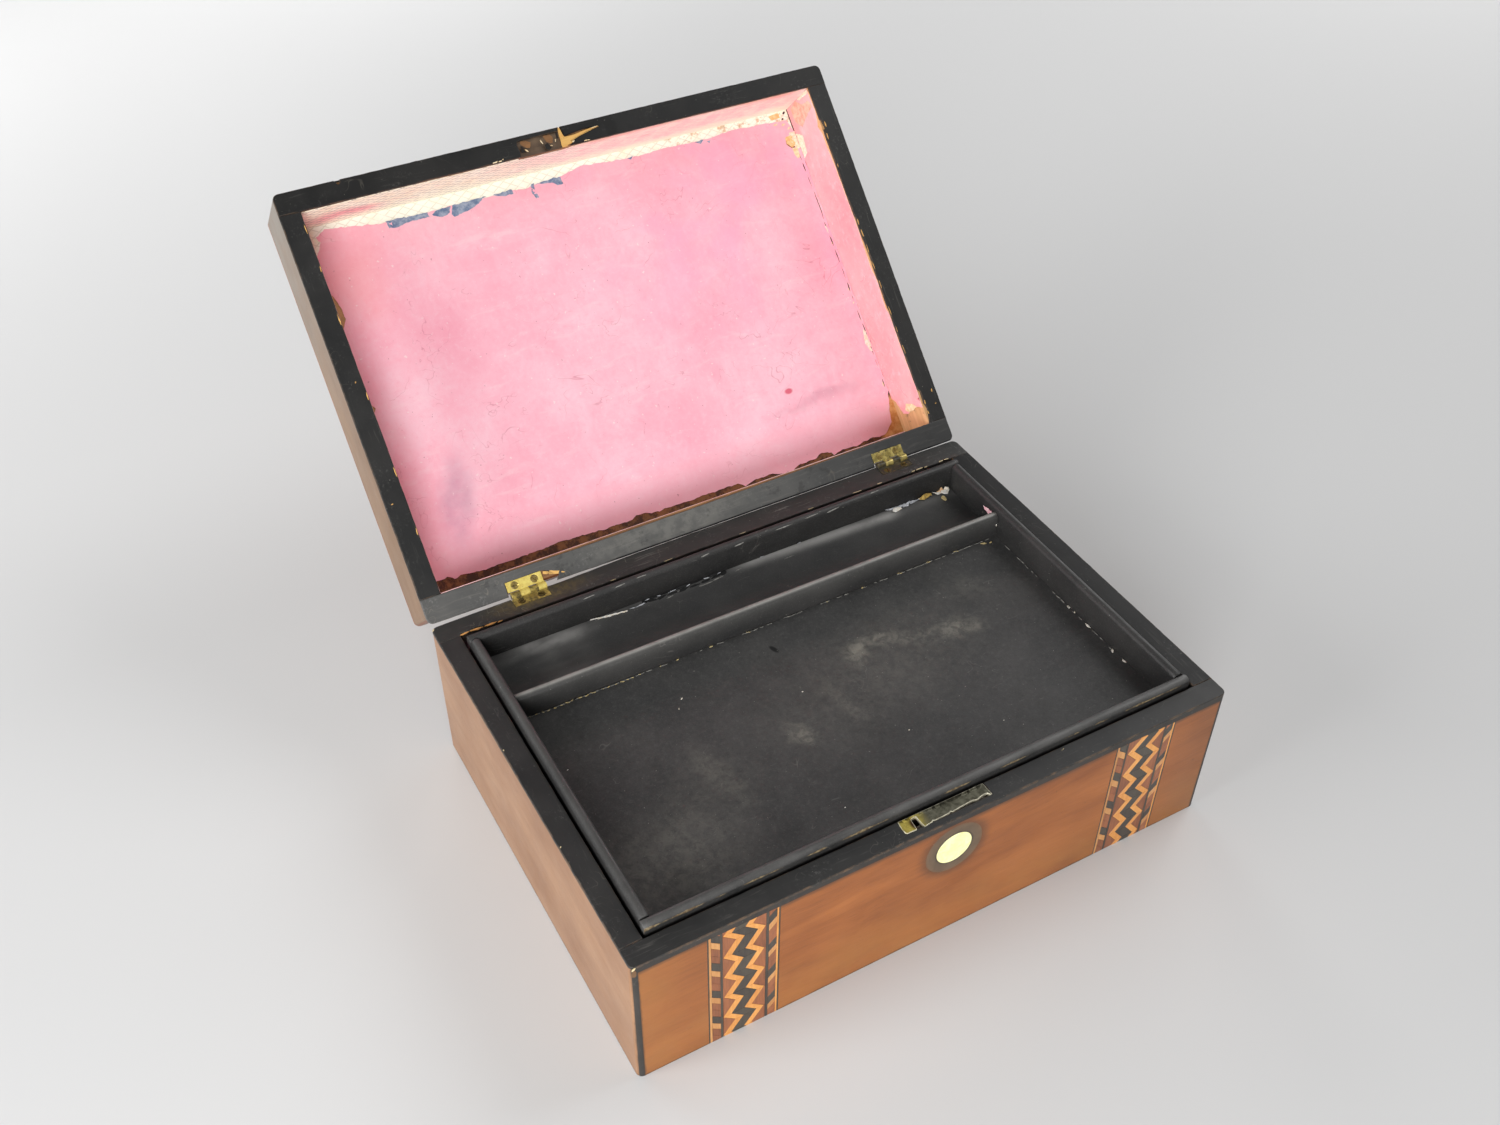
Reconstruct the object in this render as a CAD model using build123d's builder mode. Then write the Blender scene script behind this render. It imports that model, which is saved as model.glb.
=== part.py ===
from build123d import *
import os

os.makedirs("parts", exist_ok=True)

# ---------------------------------------------------------------------------
# A veneered work box with its lid laid open, a lift-out tray and a box lock.
# Origin: centre of the base's underside. +X to the right, +Y to the back,
# +Z up. Millimetres.
# ---------------------------------------------------------------------------

# outside of the box
box_w = 300.0          # width
box_d = 213.0          # depth
base_h = 78.7          # floor to rim
lid_h = 36.8           # rim to the top of the lid
corner_r = 3.0         # worn round of the upright corners
lid_open = 135.0       # how far the lid stands open

# walls
wall_t = 10.5          # board and veneer together
veneer_t = 1.0
rim_t = 1.2            # black facing glued on the rims
bottom_t = 6.0
lid_top_t = 5.0
paper_t = 0.3
edging_w = 3.0         # black stringing up the front corners
edging_h = 2.8         # black stringing along the front edge, under the rim

board_x = box_w / 2 - veneer_t      # outer faces of the carcass
board_y = box_d / 2 - veneer_t
in_x = box_w / 2 - wall_t           # inner faces of the carcass
in_y = box_d / 2 - wall_t
carcass_h = base_h - rim_t
front_h = carcass_h - edging_h      # walnut and inlay on the front
board_t = wall_t - veneer_t

# inlay
band_w = 33.5
band_t = 0.8
band_left_x = -100.1
band_right_x = 104.4
pearl_r = 9.0
pearl_t = 0.8
surround_r = 14.5
roundel_x = 2.3
roundel_z = 58.6

# hinges
axis_y = box_d / 2 + 2.24
axis_z = base_h
leaf_t = 1.2
leaf_d = 5.1
leaf_l = 18.5
knuckle_r = 1.9
pin_r = 0.8
pin_play = 0.06
knuckle_gap = 0.2
hinge_left_x = -99.75               # middle of the left hinge
hinge_right_x = 109.0
screw_pitch = 10.2
screw_y = box_d / 2 - 2.6
screw_head_r = 1.95
screw_shank_r = 1.0
screw_l = 8.0
screw_slot_w = 0.6
screw_slot_d = 0.5

# lock
selvedge_w = 43.5
selvedge_x = 0.25
selvedge_y0 = -103.0
selvedge_y1 = -96.0
selvedge_proud = 0.4
slot_x = -14.25
slot_w = 3.5
case_w = 38.0
case_z0 = 53.0
case_d = 5.0
case_wall = 1.0
plate_w = 44.0
plate_z0 = 50.0
plate_t = 1.2
bolt_travel = 4.5
link_x = -15.0                      # empty seat of the lid's link plate
link_w = 24.0
link_d = 8.5
link_t = 2.0

# tray
tray_w = 276.0
tray_x = 0.1
tray_y0 = -94.3
tray_y1 = 91.8
tray_z0 = 62.4
tray_z1 = 82.4
tray_floor_t = 3.0
tray_wall_t = 5.0
tray_round = 2.2
divider_y0 = 45.0
divider_t = 4.5
divider_top = 79.5
ledge_t = 4.0
ledge_l = 150.0

# planes: the lid's own plane lies in its rim, with its origin on the hinge
# axis, local Y towards its back edge and local Z towards its top
lid_plane = Plane.XY.rotated((-lid_open, 0, 0))
lid_plane = Plane(origin=(0, axis_y, axis_z), x_dir=lid_plane.x_dir, z_dir=lid_plane.z_dir)
lid_mid = -axis_y                   # middle of the lid's depth, in lid_plane
lid_z1 = lid_h - veneer_t - lid_top_t   # top of the lid's rails
lid_z2 = lid_h - veneer_t               # top of the lid's top board
front_plane = Plane(origin=(0, -box_d / 2, 0), x_dir=(1, 0, 0), z_dir=(0, -1, 0))
lid_front_plane = Plane(origin=lid_plane.from_local_coords((0, lid_mid - box_d / 2, 0)),
                        x_dir=(1, 0, 0), z_dir=-lid_plane.y_dir)

# ---------------------------------------------------------------------------
# BASE: carcass boards, butted, with the bottom let in between them
# ---------------------------------------------------------------------------
with BuildPart() as base_front_board:
    with BuildSketch():
        with Locations((0, -(in_y + board_y) / 2)):
            Rectangle(2 * board_x, board_t)
    extrude(amount=carcass_h)
    # mortise for the lock case and the shallow seat of its plate
    with BuildSketch(Plane.XY.offset(case_z0)):
        with Locations((selvedge_x, -in_y - (case_d + plate_t) / 2)):
            Rectangle(case_w, case_d + plate_t)
    extrude(amount=carcass_h - case_z0, mode=Mode.SUBTRACT)
    with BuildSketch(Plane.XY.offset(plate_z0)):
        with Locations((selvedge_x, -in_y - plate_t / 2)):
            Rectangle(plate_w, plate_t)
    extrude(amount=carcass_h - plate_z0, mode=Mode.SUBTRACT)
    # pilot holes of the four lock screws
    with BuildSketch(Plane(origin=(0, -in_y - plate_t, 0), x_dir=(-1, 0, 0), z_dir=(0, 1, 0))) as lock_pilots:
        with Locations((-selvedge_x - 20.2, 53.2), (-selvedge_x + 20.2, 53.2),
                       (-selvedge_x - 20.2, 72.0), (-selvedge_x + 20.2, 72.0)):
            Circle(0.7)
    extrude(amount=-6.0, mode=Mode.SUBTRACT)

with BuildPart() as base_back_board:
    with BuildSketch():
        with Locations((0, (in_y + board_y) / 2)):
            Rectangle(2 * board_x, board_t)
    extrude(amount=carcass_h)
    # pilot holes of the hinge screws
    with BuildSketch(Plane.XY.offset(carcass_h)):
        for hx in (hinge_left_x, hinge_right_x):
            with Locations((hx - screw_pitch / 2, screw_y), (hx + screw_pitch / 2, screw_y)):
                Circle(screw_shank_r)
    extrude(amount=-screw_l, mode=Mode.SUBTRACT)

with BuildPart() as base_left_board:
    with BuildSketch():
        with Locations((-(in_x + board_x) / 2, 0)):
            Rectangle(board_t, 2 * in_y)
    extrude(amount=carcass_h)

with BuildPart() as base_right_board:
    with BuildSketch():
        with Locations(((in_x + board_x) / 2, 0)):
            Rectangle(board_t, 2 * in_y)
    extrude(amount=carcass_h)

with BuildPart() as base_bottom_board:
    with BuildSketch():
        Rectangle(2 * in_x, 2 * in_y)
    extrude(amount=bottom_t)

# ---------------------------------------------------------------------------
# BASE: veneers, black corner stringing, rim facings
# ---------------------------------------------------------------------------
with BuildPart() as base_front_veneer:
    with BuildSketch():
        with Locations((0, -(board_y + box_d / 2) / 2)):
            Rectangle(box_w - 2 * edging_w, veneer_t)
    extrude(amount=front_h)
    # grooves for the two inlay bands
    with BuildSketch(front_plane):
        with Locations((band_left_x, front_h / 2), (band_right_x, front_h / 2)):
            Rectangle(band_w, front_h)
    extrude(amount=-band_t, mode=Mode.SUBTRACT)
    # round recess for the dark surround and the disc in it
    with BuildSketch(front_plane):
        with Locations((roundel_x, roundel_z)):
            Circle(surround_r)
    extrude(amount=-band_t, mode=Mode.SUBTRACT)

with BuildPart() as base_back_veneer:
    with BuildSketch():
        with Locations((0, (board_y + box_d / 2) / 2)):
            Rectangle(box_w, veneer_t)
        RectangleRounded(box_w, box_d, corner_r, mode=Mode.INTERSECT)
    extrude(amount=carcass_h)

with BuildPart() as base_left_veneer:
    with BuildSketch():
        with Locations((-(board_x + box_w / 2) / 2, 0)):
            Rectangle(veneer_t, 2 * board_y)
        RectangleRounded(box_w, box_d, corner_r, mode=Mode.INTERSECT)
    extrude(amount=carcass_h)

with BuildPart() as base_right_veneer:
    with BuildSketch():
        with Locations(((board_x + box_w / 2) / 2, 0)):
            Rectangle(veneer_t, 2 * board_y)
        RectangleRounded(box_w, box_d, corner_r, mode=Mode.INTERSECT)
    extrude(amount=carcass_h)

with BuildPart() as base_front_edging:
    # two uprights and the length between them, under the rim
    with BuildSketch():
        with Locations((-(box_w - edging_w) / 2, -(board_y + box_d / 2) / 2),
                       ((box_w - edging_w) / 2, -(board_y + box_d / 2) / 2)):
            Rectangle(edging_w, veneer_t)
        RectangleRounded(box_w, box_d, corner_r, mode=Mode.INTERSECT)
    extrude(amount=front_h)
    with BuildSketch(Plane.XY.offset(front_h)):
        with Locations((0, -(board_y + box_d / 2) / 2)):
            Rectangle(box_w, veneer_t)
        RectangleRounded(box_w, box_d, corner_r, mode=Mode.INTERSECT)
    extrude(amount=edging_h)

with BuildPart() as base_rim_front:
    with BuildSketch(Plane.XY.offset(carcass_h)):
        with Locations((0, -(in_y + box_d / 2) / 2)):
            Rectangle(box_w, wall_t)
        RectangleRounded(box_w, box_d, corner_r, mode=Mode.INTERSECT)
        # seat of the lock's selvedge, open to the inside
        with Locations((selvedge_x, (selvedge_y0 + selvedge_y1) / 2)):
            Rectangle(selvedge_w, selvedge_y1 - selvedge_y0, mode=Mode.SUBTRACT)
    extrude(amount=rim_t)

with BuildPart() as base_rim_back:
    with BuildSketch(Plane.XY.offset(carcass_h)):
        with Locations((0, (in_y + box_d / 2) / 2)):
            Rectangle(box_w, wall_t)
        RectangleRounded(box_w, box_d, corner_r, mode=Mode.INTERSECT)
        # seats of the hinge leaves, open to the back
        with Locations((hinge_left_x, box_d / 2 - leaf_d / 2), (hinge_right_x, box_d / 2 - leaf_d / 2)):
            Rectangle(leaf_l, leaf_d, mode=Mode.SUBTRACT)
    extrude(amount=rim_t)

with BuildPart() as base_rim_left:
    with BuildSketch(Plane.XY.offset(carcass_h)):
        with Locations((-(in_x + box_w / 2) / 2, 0)):
            Rectangle(wall_t, 2 * in_y)
    extrude(amount=rim_t)

with BuildPart() as base_rim_right:
    with BuildSketch(Plane.XY.offset(carcass_h)):
        with Locations(((in_x + box_w / 2) / 2, 0)):
            Rectangle(wall_t, 2 * in_y)
    extrude(amount=rim_t)

# ---------------------------------------------------------------------------
# BASE: inlay in the front
# ---------------------------------------------------------------------------
with BuildPart() as front_band_left:
    with BuildSketch(front_plane):
        with Locations((band_left_x, front_h / 2)):
            Rectangle(band_w, front_h)
    extrude(amount=-band_t)

with BuildPart() as front_band_right:
    with BuildSketch(front_plane):
        with Locations((band_right_x, front_h / 2)):
            Rectangle(band_w, front_h)
    extrude(amount=-band_t)

with BuildPart() as roundel_surround:
    with BuildSketch(front_plane):
        with Locations((roundel_x, roundel_z)):
            Circle(surround_r)
            Circle(pearl_r, mode=Mode.SUBTRACT)
    extrude(amount=-band_t)

with BuildPart() as pearl_roundel:
    with BuildSketch(front_plane):
        with Locations((roundel_x, roundel_z)):
            Circle(pearl_r)
    extrude(amount=-pearl_t)

# ---------------------------------------------------------------------------
# BASE: paper lining and the ledges that carry the tray
# ---------------------------------------------------------------------------
with BuildPart() as base_floor_lining:
    with BuildSketch(Plane.XY.offset(bottom_t)):
        Rectangle(2 * in_x, 2 * in_y)
    extrude(amount=paper_t)

with BuildPart() as base_wall_lining:
    with BuildSketch(Plane.XY.offset(bottom_t + paper_t)):
        Rectangle(2 * in_x, 2 * in_y)
        Rectangle(2 * (in_x - paper_t), 2 * (in_y - paper_t), mode=Mode.SUBTRACT)
    extrude(amount=carcass_h - bottom_t - paper_t)
    # the paper is cut out round the lock plate
    with BuildSketch(Plane.XY.offset(plate_z0)):
        with Locations((selvedge_x, -in_y + paper_t / 2)):
            Rectangle(plate_w, paper_t)
    extrude(amount=carcass_h - plate_z0, mode=Mode.SUBTRACT)

with BuildPart() as tray_ledges:
    with BuildSketch(Plane.XY.offset(bottom_t + paper_t)):
        with Locations((-(in_x - paper_t - ledge_t / 2), 0), (in_x - paper_t - ledge_t / 2, 0)):
            Rectangle(ledge_t, ledge_l)
    extrude(amount=tray_z0 - bottom_t - paper_t)

# ---------------------------------------------------------------------------
# BASE: lock. Case let into the front board from inside, selvedge in the rim,
# and a bolt that slides under the selvedge's slot
# ---------------------------------------------------------------------------
with BuildPart() as lock_case:
    with BuildSketch(Plane.XY.offset(plate_z0)):
        with Locations((selvedge_x, -in_y - plate_t / 2)):
            Rectangle(plate_w, plate_t)
    extrude(amount=carcass_h - plate_z0)
    with BuildSketch(Plane.XY.offset(case_z0)):
        with Locations((selvedge_x, -in_y - plate_t - case_d / 2)):
            Rectangle(case_w, case_d)
    extrude(amount=carcass_h - case_z0)
    # the hollow that holds the bolt, open at the top under the selvedge
    with BuildSketch(Plane.XY.offset(case_z0 + case_wall)):
        with Locations((selvedge_x, -in_y - plate_t - (case_d - case_wall) / 2)):
            Rectangle(case_w - 2 * case_wall, case_d - case_wall)
    extrude(amount=carcass_h - case_z0 - case_wall, mode=Mode.SUBTRACT)
    # screw holes in the plate
    with BuildSketch(Plane(origin=(0, -in_y, 0), x_dir=(-1, 0, 0), z_dir=(0, 1, 0))):
        with Locations((-selvedge_x - 20.2, 53.2), (-selvedge_x + 20.2, 53.2),
                       (-selvedge_x - 20.2, 72.0), (-selvedge_x + 20.2, 72.0)):
            Circle(0.7)
    extrude(amount=-plate_t, mode=Mode.SUBTRACT)

with BuildPart() as lock_screws:
    # round-headed pins, heads on the plate, shanks in the board
    with BuildSketch(Plane(origin=(0, -in_y, 0), x_dir=(-1, 0, 0), z_dir=(0, 1, 0))):
        with Locations((-selvedge_x - 20.2, 53.2), (-selvedge_x + 20.2, 53.2),
                       (-selvedge_x - 20.2, 72.0), (-selvedge_x + 20.2, 72.0)):
            Circle(0.7)
    extrude(amount=-plate_t - 5.5)
    with BuildSketch(Plane(origin=(0, -in_y, 0), x_dir=(-1, 0, 0), z_dir=(0, 1, 0))):
        with Locations((-selvedge_x - 20.2, 53.2), (-selvedge_x + 20.2, 53.2),
                       (-selvedge_x - 20.2, 72.0), (-selvedge_x + 20.2, 72.0)):
            Circle(1.4)
    extrude(amount=0.6, taper=25)

with BuildPart() as lock_selvedge:
    with BuildSketch(Plane.XY.offset(carcass_h)):
        with Locations((selvedge_x, (selvedge_y0 + selvedge_y1) / 2)):
            Rectangle(selvedge_w, selvedge_y1 - selvedge_y0)
        # the slot that took the lid's hook, open to the front
        with Locations((slot_x, selvedge_y0 + 2.7)):
            Rectangle(slot_w, 5.4, mode=Mode.SUBTRACT)
    extrude(amount=rim_t + selvedge_proud)

with BuildPart() as lock_bolt:
    # a flat bolt with a hooked end, which passes under the slot
    with BuildSketch(Plane(origin=(0, -in_y - plate_t - 0.4, 0), x_dir=(1, 0, 0), z_dir=(0, -1, 0))):
        with BuildLine():
            Polyline((-11.4, 75.6), (16.0, 75.6), (16.0, 63.0), (-6.0, 63.0), (-6.0, 68.6),
                     (-11.4, 68.6), close=True)
        make_face()
        # talon that the key would work
        with Locations((roundel_x, 63.0)):
            Circle(3.0, mode=Mode.SUBTRACT)
    extrude(amount=3.0)

# ---------------------------------------------------------------------------
# HINGES: two small brass butts, leaves let into the rim facings
# ---------------------------------------------------------------------------
base_knuckles = ((0.6, 5.4), (10.3, 14.5))     # along X from the leaf's left end
lid_knuckles = ((5.4, 10.3), (14.5, 19.0))


def knuckle_spans(spans):
    """Spans shortened by half the play at each end that meets another knuckle."""
    return [(a + knuckle_gap / 2, b - knuckle_gap / 2) for a, b in spans]


with BuildPart() as hinge_left_base_leaf:
    with BuildSketch(Plane.XY.offset(carcass_h)):
        with Locations((hinge_left_x, box_d / 2 - leaf_d / 2)):
            Rectangle(leaf_l, leaf_d)
        for a, b in knuckle_spans(base_knuckles):
            with Locations((hinge_left_x - leaf_l / 2 + (a + b) / 2, (box_d / 2 + axis_y) / 2)):
                Rectangle(b - a, axis_y - box_d / 2)
    extrude(amount=leaf_t)
    for a, b in knuckle_spans(base_knuckles):
        with BuildSketch(Plane(origin=(hinge_left_x - leaf_l / 2 + a, axis_y, axis_z), x_dir=(0, 1, 0), z_dir=(1, 0, 0))):
            Circle(knuckle_r)
        extrude(amount=b - a)
    with BuildSketch(Plane(origin=(hinge_left_x - leaf_l / 2, axis_y, axis_z), x_dir=(0, 1, 0), z_dir=(1, 0, 0))):
        Circle(pin_r)
    extrude(amount=leaf_l + 1, mode=Mode.SUBTRACT)
    for dx in (-screw_pitch / 2, screw_pitch / 2):
        with BuildSketch(Plane(origin=(hinge_left_x + dx, screw_y, base_h), x_dir=(1, 0, 0), z_dir=(0, -1, 0))):
            with BuildLine():
                Polyline((0, 0), (screw_head_r, 0), (screw_shank_r, screw_shank_r - screw_head_r),
                         (screw_shank_r, -2 * leaf_t), (0, -2 * leaf_t), close=True)
            make_face()
        revolve(axis=Axis((hinge_left_x + dx, screw_y, base_h), (0, 0, 1)), mode=Mode.SUBTRACT)

with BuildPart() as hinge_right_base_leaf:
    with BuildSketch(Plane.XY.offset(carcass_h)):
        with Locations((hinge_right_x, box_d / 2 - leaf_d / 2)):
            Rectangle(leaf_l, leaf_d)
        for a, b in knuckle_spans(base_knuckles):
            with Locations((hinge_right_x - leaf_l / 2 + (a + b) / 2, (box_d / 2 + axis_y) / 2)):
                Rectangle(b - a, axis_y - box_d / 2)
    extrude(amount=leaf_t)
    for a, b in knuckle_spans(base_knuckles):
        with BuildSketch(Plane(origin=(hinge_right_x - leaf_l / 2 + a, axis_y, axis_z), x_dir=(0, 1, 0), z_dir=(1, 0, 0))):
            Circle(knuckle_r)
        extrude(amount=b - a)
    with BuildSketch(Plane(origin=(hinge_right_x - leaf_l / 2, axis_y, axis_z), x_dir=(0, 1, 0), z_dir=(1, 0, 0))):
        Circle(pin_r)
    extrude(amount=leaf_l + 1, mode=Mode.SUBTRACT)
    for dx in (-screw_pitch / 2, screw_pitch / 2):
        with BuildSketch(Plane(origin=(hinge_right_x + dx, screw_y, base_h), x_dir=(1, 0, 0), z_dir=(0, -1, 0))):
            with BuildLine():
                Polyline((0, 0), (screw_head_r, 0), (screw_shank_r, screw_shank_r - screw_head_r),
                         (screw_shank_r, -2 * leaf_t), (0, -2 * leaf_t), close=True)
            make_face()
        revolve(axis=Axis((hinge_right_x + dx, screw_y, base_h), (0, 0, 1)), mode=Mode.SUBTRACT)

with BuildPart() as hinge_pins:
    for hx in (hinge_left_x, hinge_right_x):
        with BuildSketch(Plane(origin=(hx - leaf_l / 2 + 0.7, axis_y, axis_z), x_dir=(0, 1, 0), z_dir=(1, 0, 0))):
            Circle(pin_r)
        extrude(amount=18.2)

with BuildPart() as hinge_screws_base:
    # countersunk heads, flush with the leaves
    for hx in (hinge_left_x, hinge_right_x):
        for dx in (-screw_pitch / 2, screw_pitch / 2):
            with BuildSketch(Plane(origin=(hx + dx, screw_y, base_h), x_dir=(1, 0, 0), z_dir=(0, -1, 0))):
                with BuildLine():
                    Polyline((0, 0), (screw_head_r, 0), (screw_shank_r, screw_shank_r - screw_head_r),
                             (screw_shank_r, 1.0 - leaf_t - screw_l), (0, 0.2 - leaf_t - screw_l), close=True)
                make_face()
            revolve(axis=Axis((hx + dx, screw_y, base_h), (0, 0, 1)))
    # the slots, each left at its own angle
    for cx, turn in ((hinge_left_x - screw_pitch / 2, 20), (hinge_left_x + screw_pitch / 2, -35),
                     (hinge_right_x - screw_pitch / 2, 70), (hinge_right_x + screw_pitch / 2, 5)):
        with BuildSketch(Plane.XY.offset(base_h)):
            with Locations((cx, screw_y)):
                Rectangle(5.0, screw_slot_w, rotation=turn)
        extrude(amount=-screw_slot_d, mode=Mode.SUBTRACT)

# ---------------------------------------------------------------------------
# LID: carcass rails and top board
# ---------------------------------------------------------------------------
with BuildPart() as lid_front_rail:
    with BuildSketch(lid_plane.offset(rim_t)):
        with Locations((0, lid_mid - (in_y + board_y) / 2)):
            Rectangle(2 * board_x, board_t)
    extrude(amount=lid_z1 - rim_t)
    # bottom of the chiselled seat that the lock's link plate has left
    with BuildSketch(lid_plane.offset(rim_t)):
        with Locations((link_x, lid_mid - in_y - link_d / 2)):
            Rectangle(link_w, link_d)
    extrude(amount=link_t - rim_t, mode=Mode.SUBTRACT)

with BuildPart() as lid_back_rail:
    with BuildSketch(lid_plane.offset(rim_t)):
        with Locations((0, lid_mid + (in_y + board_y) / 2)):
            Rectangle(2 * board_x, board_t)
    extrude(amount=lid_z1 - rim_t)
    # pilot holes of the hinge screws
    with BuildSketch(lid_plane.offset(rim_t)):
        for hx in (hinge_left_x, hinge_right_x):
            with Locations((hx - screw_pitch / 2, lid_mid + screw_y), (hx + screw_pitch / 2, lid_mid + screw_y)):
                Circle(screw_shank_r)
    extrude(amount=screw_l, mode=Mode.SUBTRACT)

with BuildPart() as lid_left_rail:
    with BuildSketch(lid_plane.offset(rim_t)):
        with Locations((-(in_x + board_x) / 2, lid_mid)):
            Rectangle(board_t, 2 * in_y)
    extrude(amount=lid_z1 - rim_t)

with BuildPart() as lid_right_rail:
    with BuildSketch(lid_plane.offset(rim_t)):
        with Locations(((in_x + board_x) / 2, lid_mid)):
            Rectangle(board_t, 2 * in_y)
    extrude(amount=lid_z1 - rim_t)

with BuildPart() as lid_top_board:
    with BuildSketch(lid_plane.offset(lid_z1)):
        with Locations((0, lid_mid)):
            Rectangle(2 * board_x, 2 * board_y)
    extrude(amount=lid_top_t)

# ---------------------------------------------------------------------------
# LID: veneers, stringing and rim facings
# ---------------------------------------------------------------------------
with BuildPart() as lid_front_veneer:
    with BuildSketch(lid_plane.offset(rim_t + edging_h)):
        with Locations((0, lid_mid - (board_y + box_d / 2) / 2)):
            Rectangle(box_w - 2 * edging_w, veneer_t)
    extrude(amount=lid_z2 - rim_t - edging_h)
    # grooves for the two inlay bands
    with BuildSketch(lid_front_plane):
        with Locations((band_left_x, (rim_t + edging_h + lid_z2) / 2), (band_right_x, (rim_t + edging_h + lid_z2) / 2)):
            Rectangle(band_w, lid_z2 - rim_t - edging_h)
    extrude(amount=-band_t, mode=Mode.SUBTRACT)

with BuildPart() as lid_back_veneer:
    with BuildSketch(lid_plane.offset(rim_t)):
        with Locations((0, lid_mid + (board_y + box_d / 2) / 2)):
            Rectangle(box_w, veneer_t)
        with Locations((0, lid_mid)):
            RectangleRounded(box_w, box_d, corner_r, mode=Mode.INTERSECT)
    extrude(amount=lid_z2 - rim_t)

with BuildPart() as lid_left_veneer:
    with BuildSketch(lid_plane.offset(rim_t)):
        with Locations((-(board_x + box_w / 2) / 2, lid_mid)):
            Rectangle(veneer_t, 2 * board_y)
        with Locations((0, lid_mid)):
            RectangleRounded(box_w, box_d, corner_r, mode=Mode.INTERSECT)
    extrude(amount=lid_z2 - rim_t)

with BuildPart() as lid_right_veneer:
    with BuildSketch(lid_plane.offset(rim_t)):
        with Locations(((board_x + box_w / 2) / 2, lid_mid)):
            Rectangle(veneer_t, 2 * board_y)
        with Locations((0, lid_mid)):
            RectangleRounded(box_w, box_d, corner_r, mode=Mode.INTERSECT)
    extrude(amount=lid_z2 - rim_t)

with BuildPart() as lid_top_veneer:
    with BuildSketch(lid_plane.offset(lid_z2)):
        with Locations((0, lid_mid)):
            RectangleRounded(box_w, box_d, corner_r)
    extrude(amount=veneer_t)
    # grooves for the two inlay bands
    with BuildSketch(lid_plane.offset(lid_h)):
        with Locations((band_left_x, lid_mid), (band_right_x, lid_mid)):
            Rectangle(band_w, box_d)
    extrude(amount=-band_t, mode=Mode.SUBTRACT)

with BuildPart() as lid_front_edging:
    # two uprights and the length between them, next to the rim
    with BuildSketch(lid_plane.offset(rim_t + edging_h)):
        with Locations((-(box_w - edging_w) / 2, lid_mid - (board_y + box_d / 2) / 2),
                       ((box_w - edging_w) / 2, lid_mid - (board_y + box_d / 2) / 2)):
            Rectangle(edging_w, veneer_t)
        with Locations((0, lid_mid)):
            RectangleRounded(box_w, box_d, corner_r, mode=Mode.INTERSECT)
    extrude(amount=lid_z2 - rim_t - edging_h)
    with BuildSketch(lid_plane.offset(rim_t)):
        with Locations((0, lid_mid - (board_y + box_d / 2) / 2)):
            Rectangle(box_w, veneer_t)
        with Locations((0, lid_mid)):
            RectangleRounded(box_w, box_d, corner_r, mode=Mode.INTERSECT)
    extrude(amount=edging_h)

with BuildPart() as lid_rim_front:
    with BuildSketch(lid_plane):
        with Locations((0, lid_mid - (in_y + box_d / 2) / 2)):
            Rectangle(box_w, wall_t)
        with Locations((0, lid_mid)):
            RectangleRounded(box_w, box_d, corner_r, mode=Mode.INTERSECT)
        # the empty seat of the link plate
        with Locations((link_x, lid_mid - in_y - link_d / 2)):
            Rectangle(link_w, link_d, mode=Mode.SUBTRACT)
    extrude(amount=rim_t)
    # shallow relief over the lock's selvedge, which stands proud of the rim
    with BuildSketch(lid_plane):
        with Locations((selvedge_x, lid_mid + (selvedge_y0 + selvedge_y1) / 2)):
            Rectangle(selvedge_w + 1, selvedge_y1 - selvedge_y0 + 1)
    extrude(amount=selvedge_proud + 0.3, mode=Mode.SUBTRACT)

with BuildPart() as lid_rim_back:
    with BuildSketch(lid_plane):
        with Locations((0, lid_mid + (in_y + box_d / 2) / 2)):
            Rectangle(box_w, wall_t)
        with Locations((0, lid_mid)):
            RectangleRounded(box_w, box_d, corner_r, mode=Mode.INTERSECT)
        # seats of the hinge leaves, open to the back
        with Locations((hinge_left_x, lid_mid + box_d / 2 - leaf_d / 2),
                       (hinge_right_x, lid_mid + box_d / 2 - leaf_d / 2)):
            Rectangle(leaf_l, leaf_d, mode=Mode.SUBTRACT)
    extrude(amount=rim_t)

with BuildPart() as lid_rim_left:
    with BuildSketch(lid_plane):
        with Locations((-(in_x + box_w / 2) / 2, lid_mid)):
            Rectangle(wall_t, 2 * in_y)
    extrude(amount=rim_t)

with BuildPart() as lid_rim_right:
    with BuildSketch(lid_plane):
        with Locations(((in_x + box_w / 2) / 2, lid_mid)):
            Rectangle(wall_t, 2 * in_y)
    extrude(amount=rim_t)

# ---------------------------------------------------------------------------
# LID: inlay bands on its front and across its top
# ---------------------------------------------------------------------------
with BuildPart() as lid_front_band_left:
    with BuildSketch(lid_front_plane):
        with Locations((band_left_x, (rim_t + edging_h + lid_z2) / 2)):
            Rectangle(band_w, lid_z2 - rim_t - edging_h)
    extrude(amount=-band_t)

with BuildPart() as lid_front_band_right:
    with BuildSketch(lid_front_plane):
        with Locations((band_right_x, (rim_t + edging_h + lid_z2) / 2)):
            Rectangle(band_w, lid_z2 - rim_t - edging_h)
    extrude(amount=-band_t)

with BuildPart() as lid_top_band_left:
    with BuildSketch(lid_plane.offset(lid_h)):
        with Locations((band_left_x, lid_mid)):
            Rectangle(band_w, box_d)
    extrude(amount=-band_t)

with BuildPart() as lid_top_band_right:
    with BuildSketch(lid_plane.offset(lid_h)):
        with Locations((band_right_x, lid_mid)):
            Rectangle(band_w, box_d)
    extrude(amount=-band_t)

# ---------------------------------------------------------------------------
# LID: paper lining
# ---------------------------------------------------------------------------
with BuildPart() as lid_top_lining:
    with BuildSketch(lid_plane.offset(lid_z1 - paper_t)):
        with Locations((0, lid_mid)):
            Rectangle(2 * in_x, 2 * in_y)
    extrude(amount=paper_t)

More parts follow.
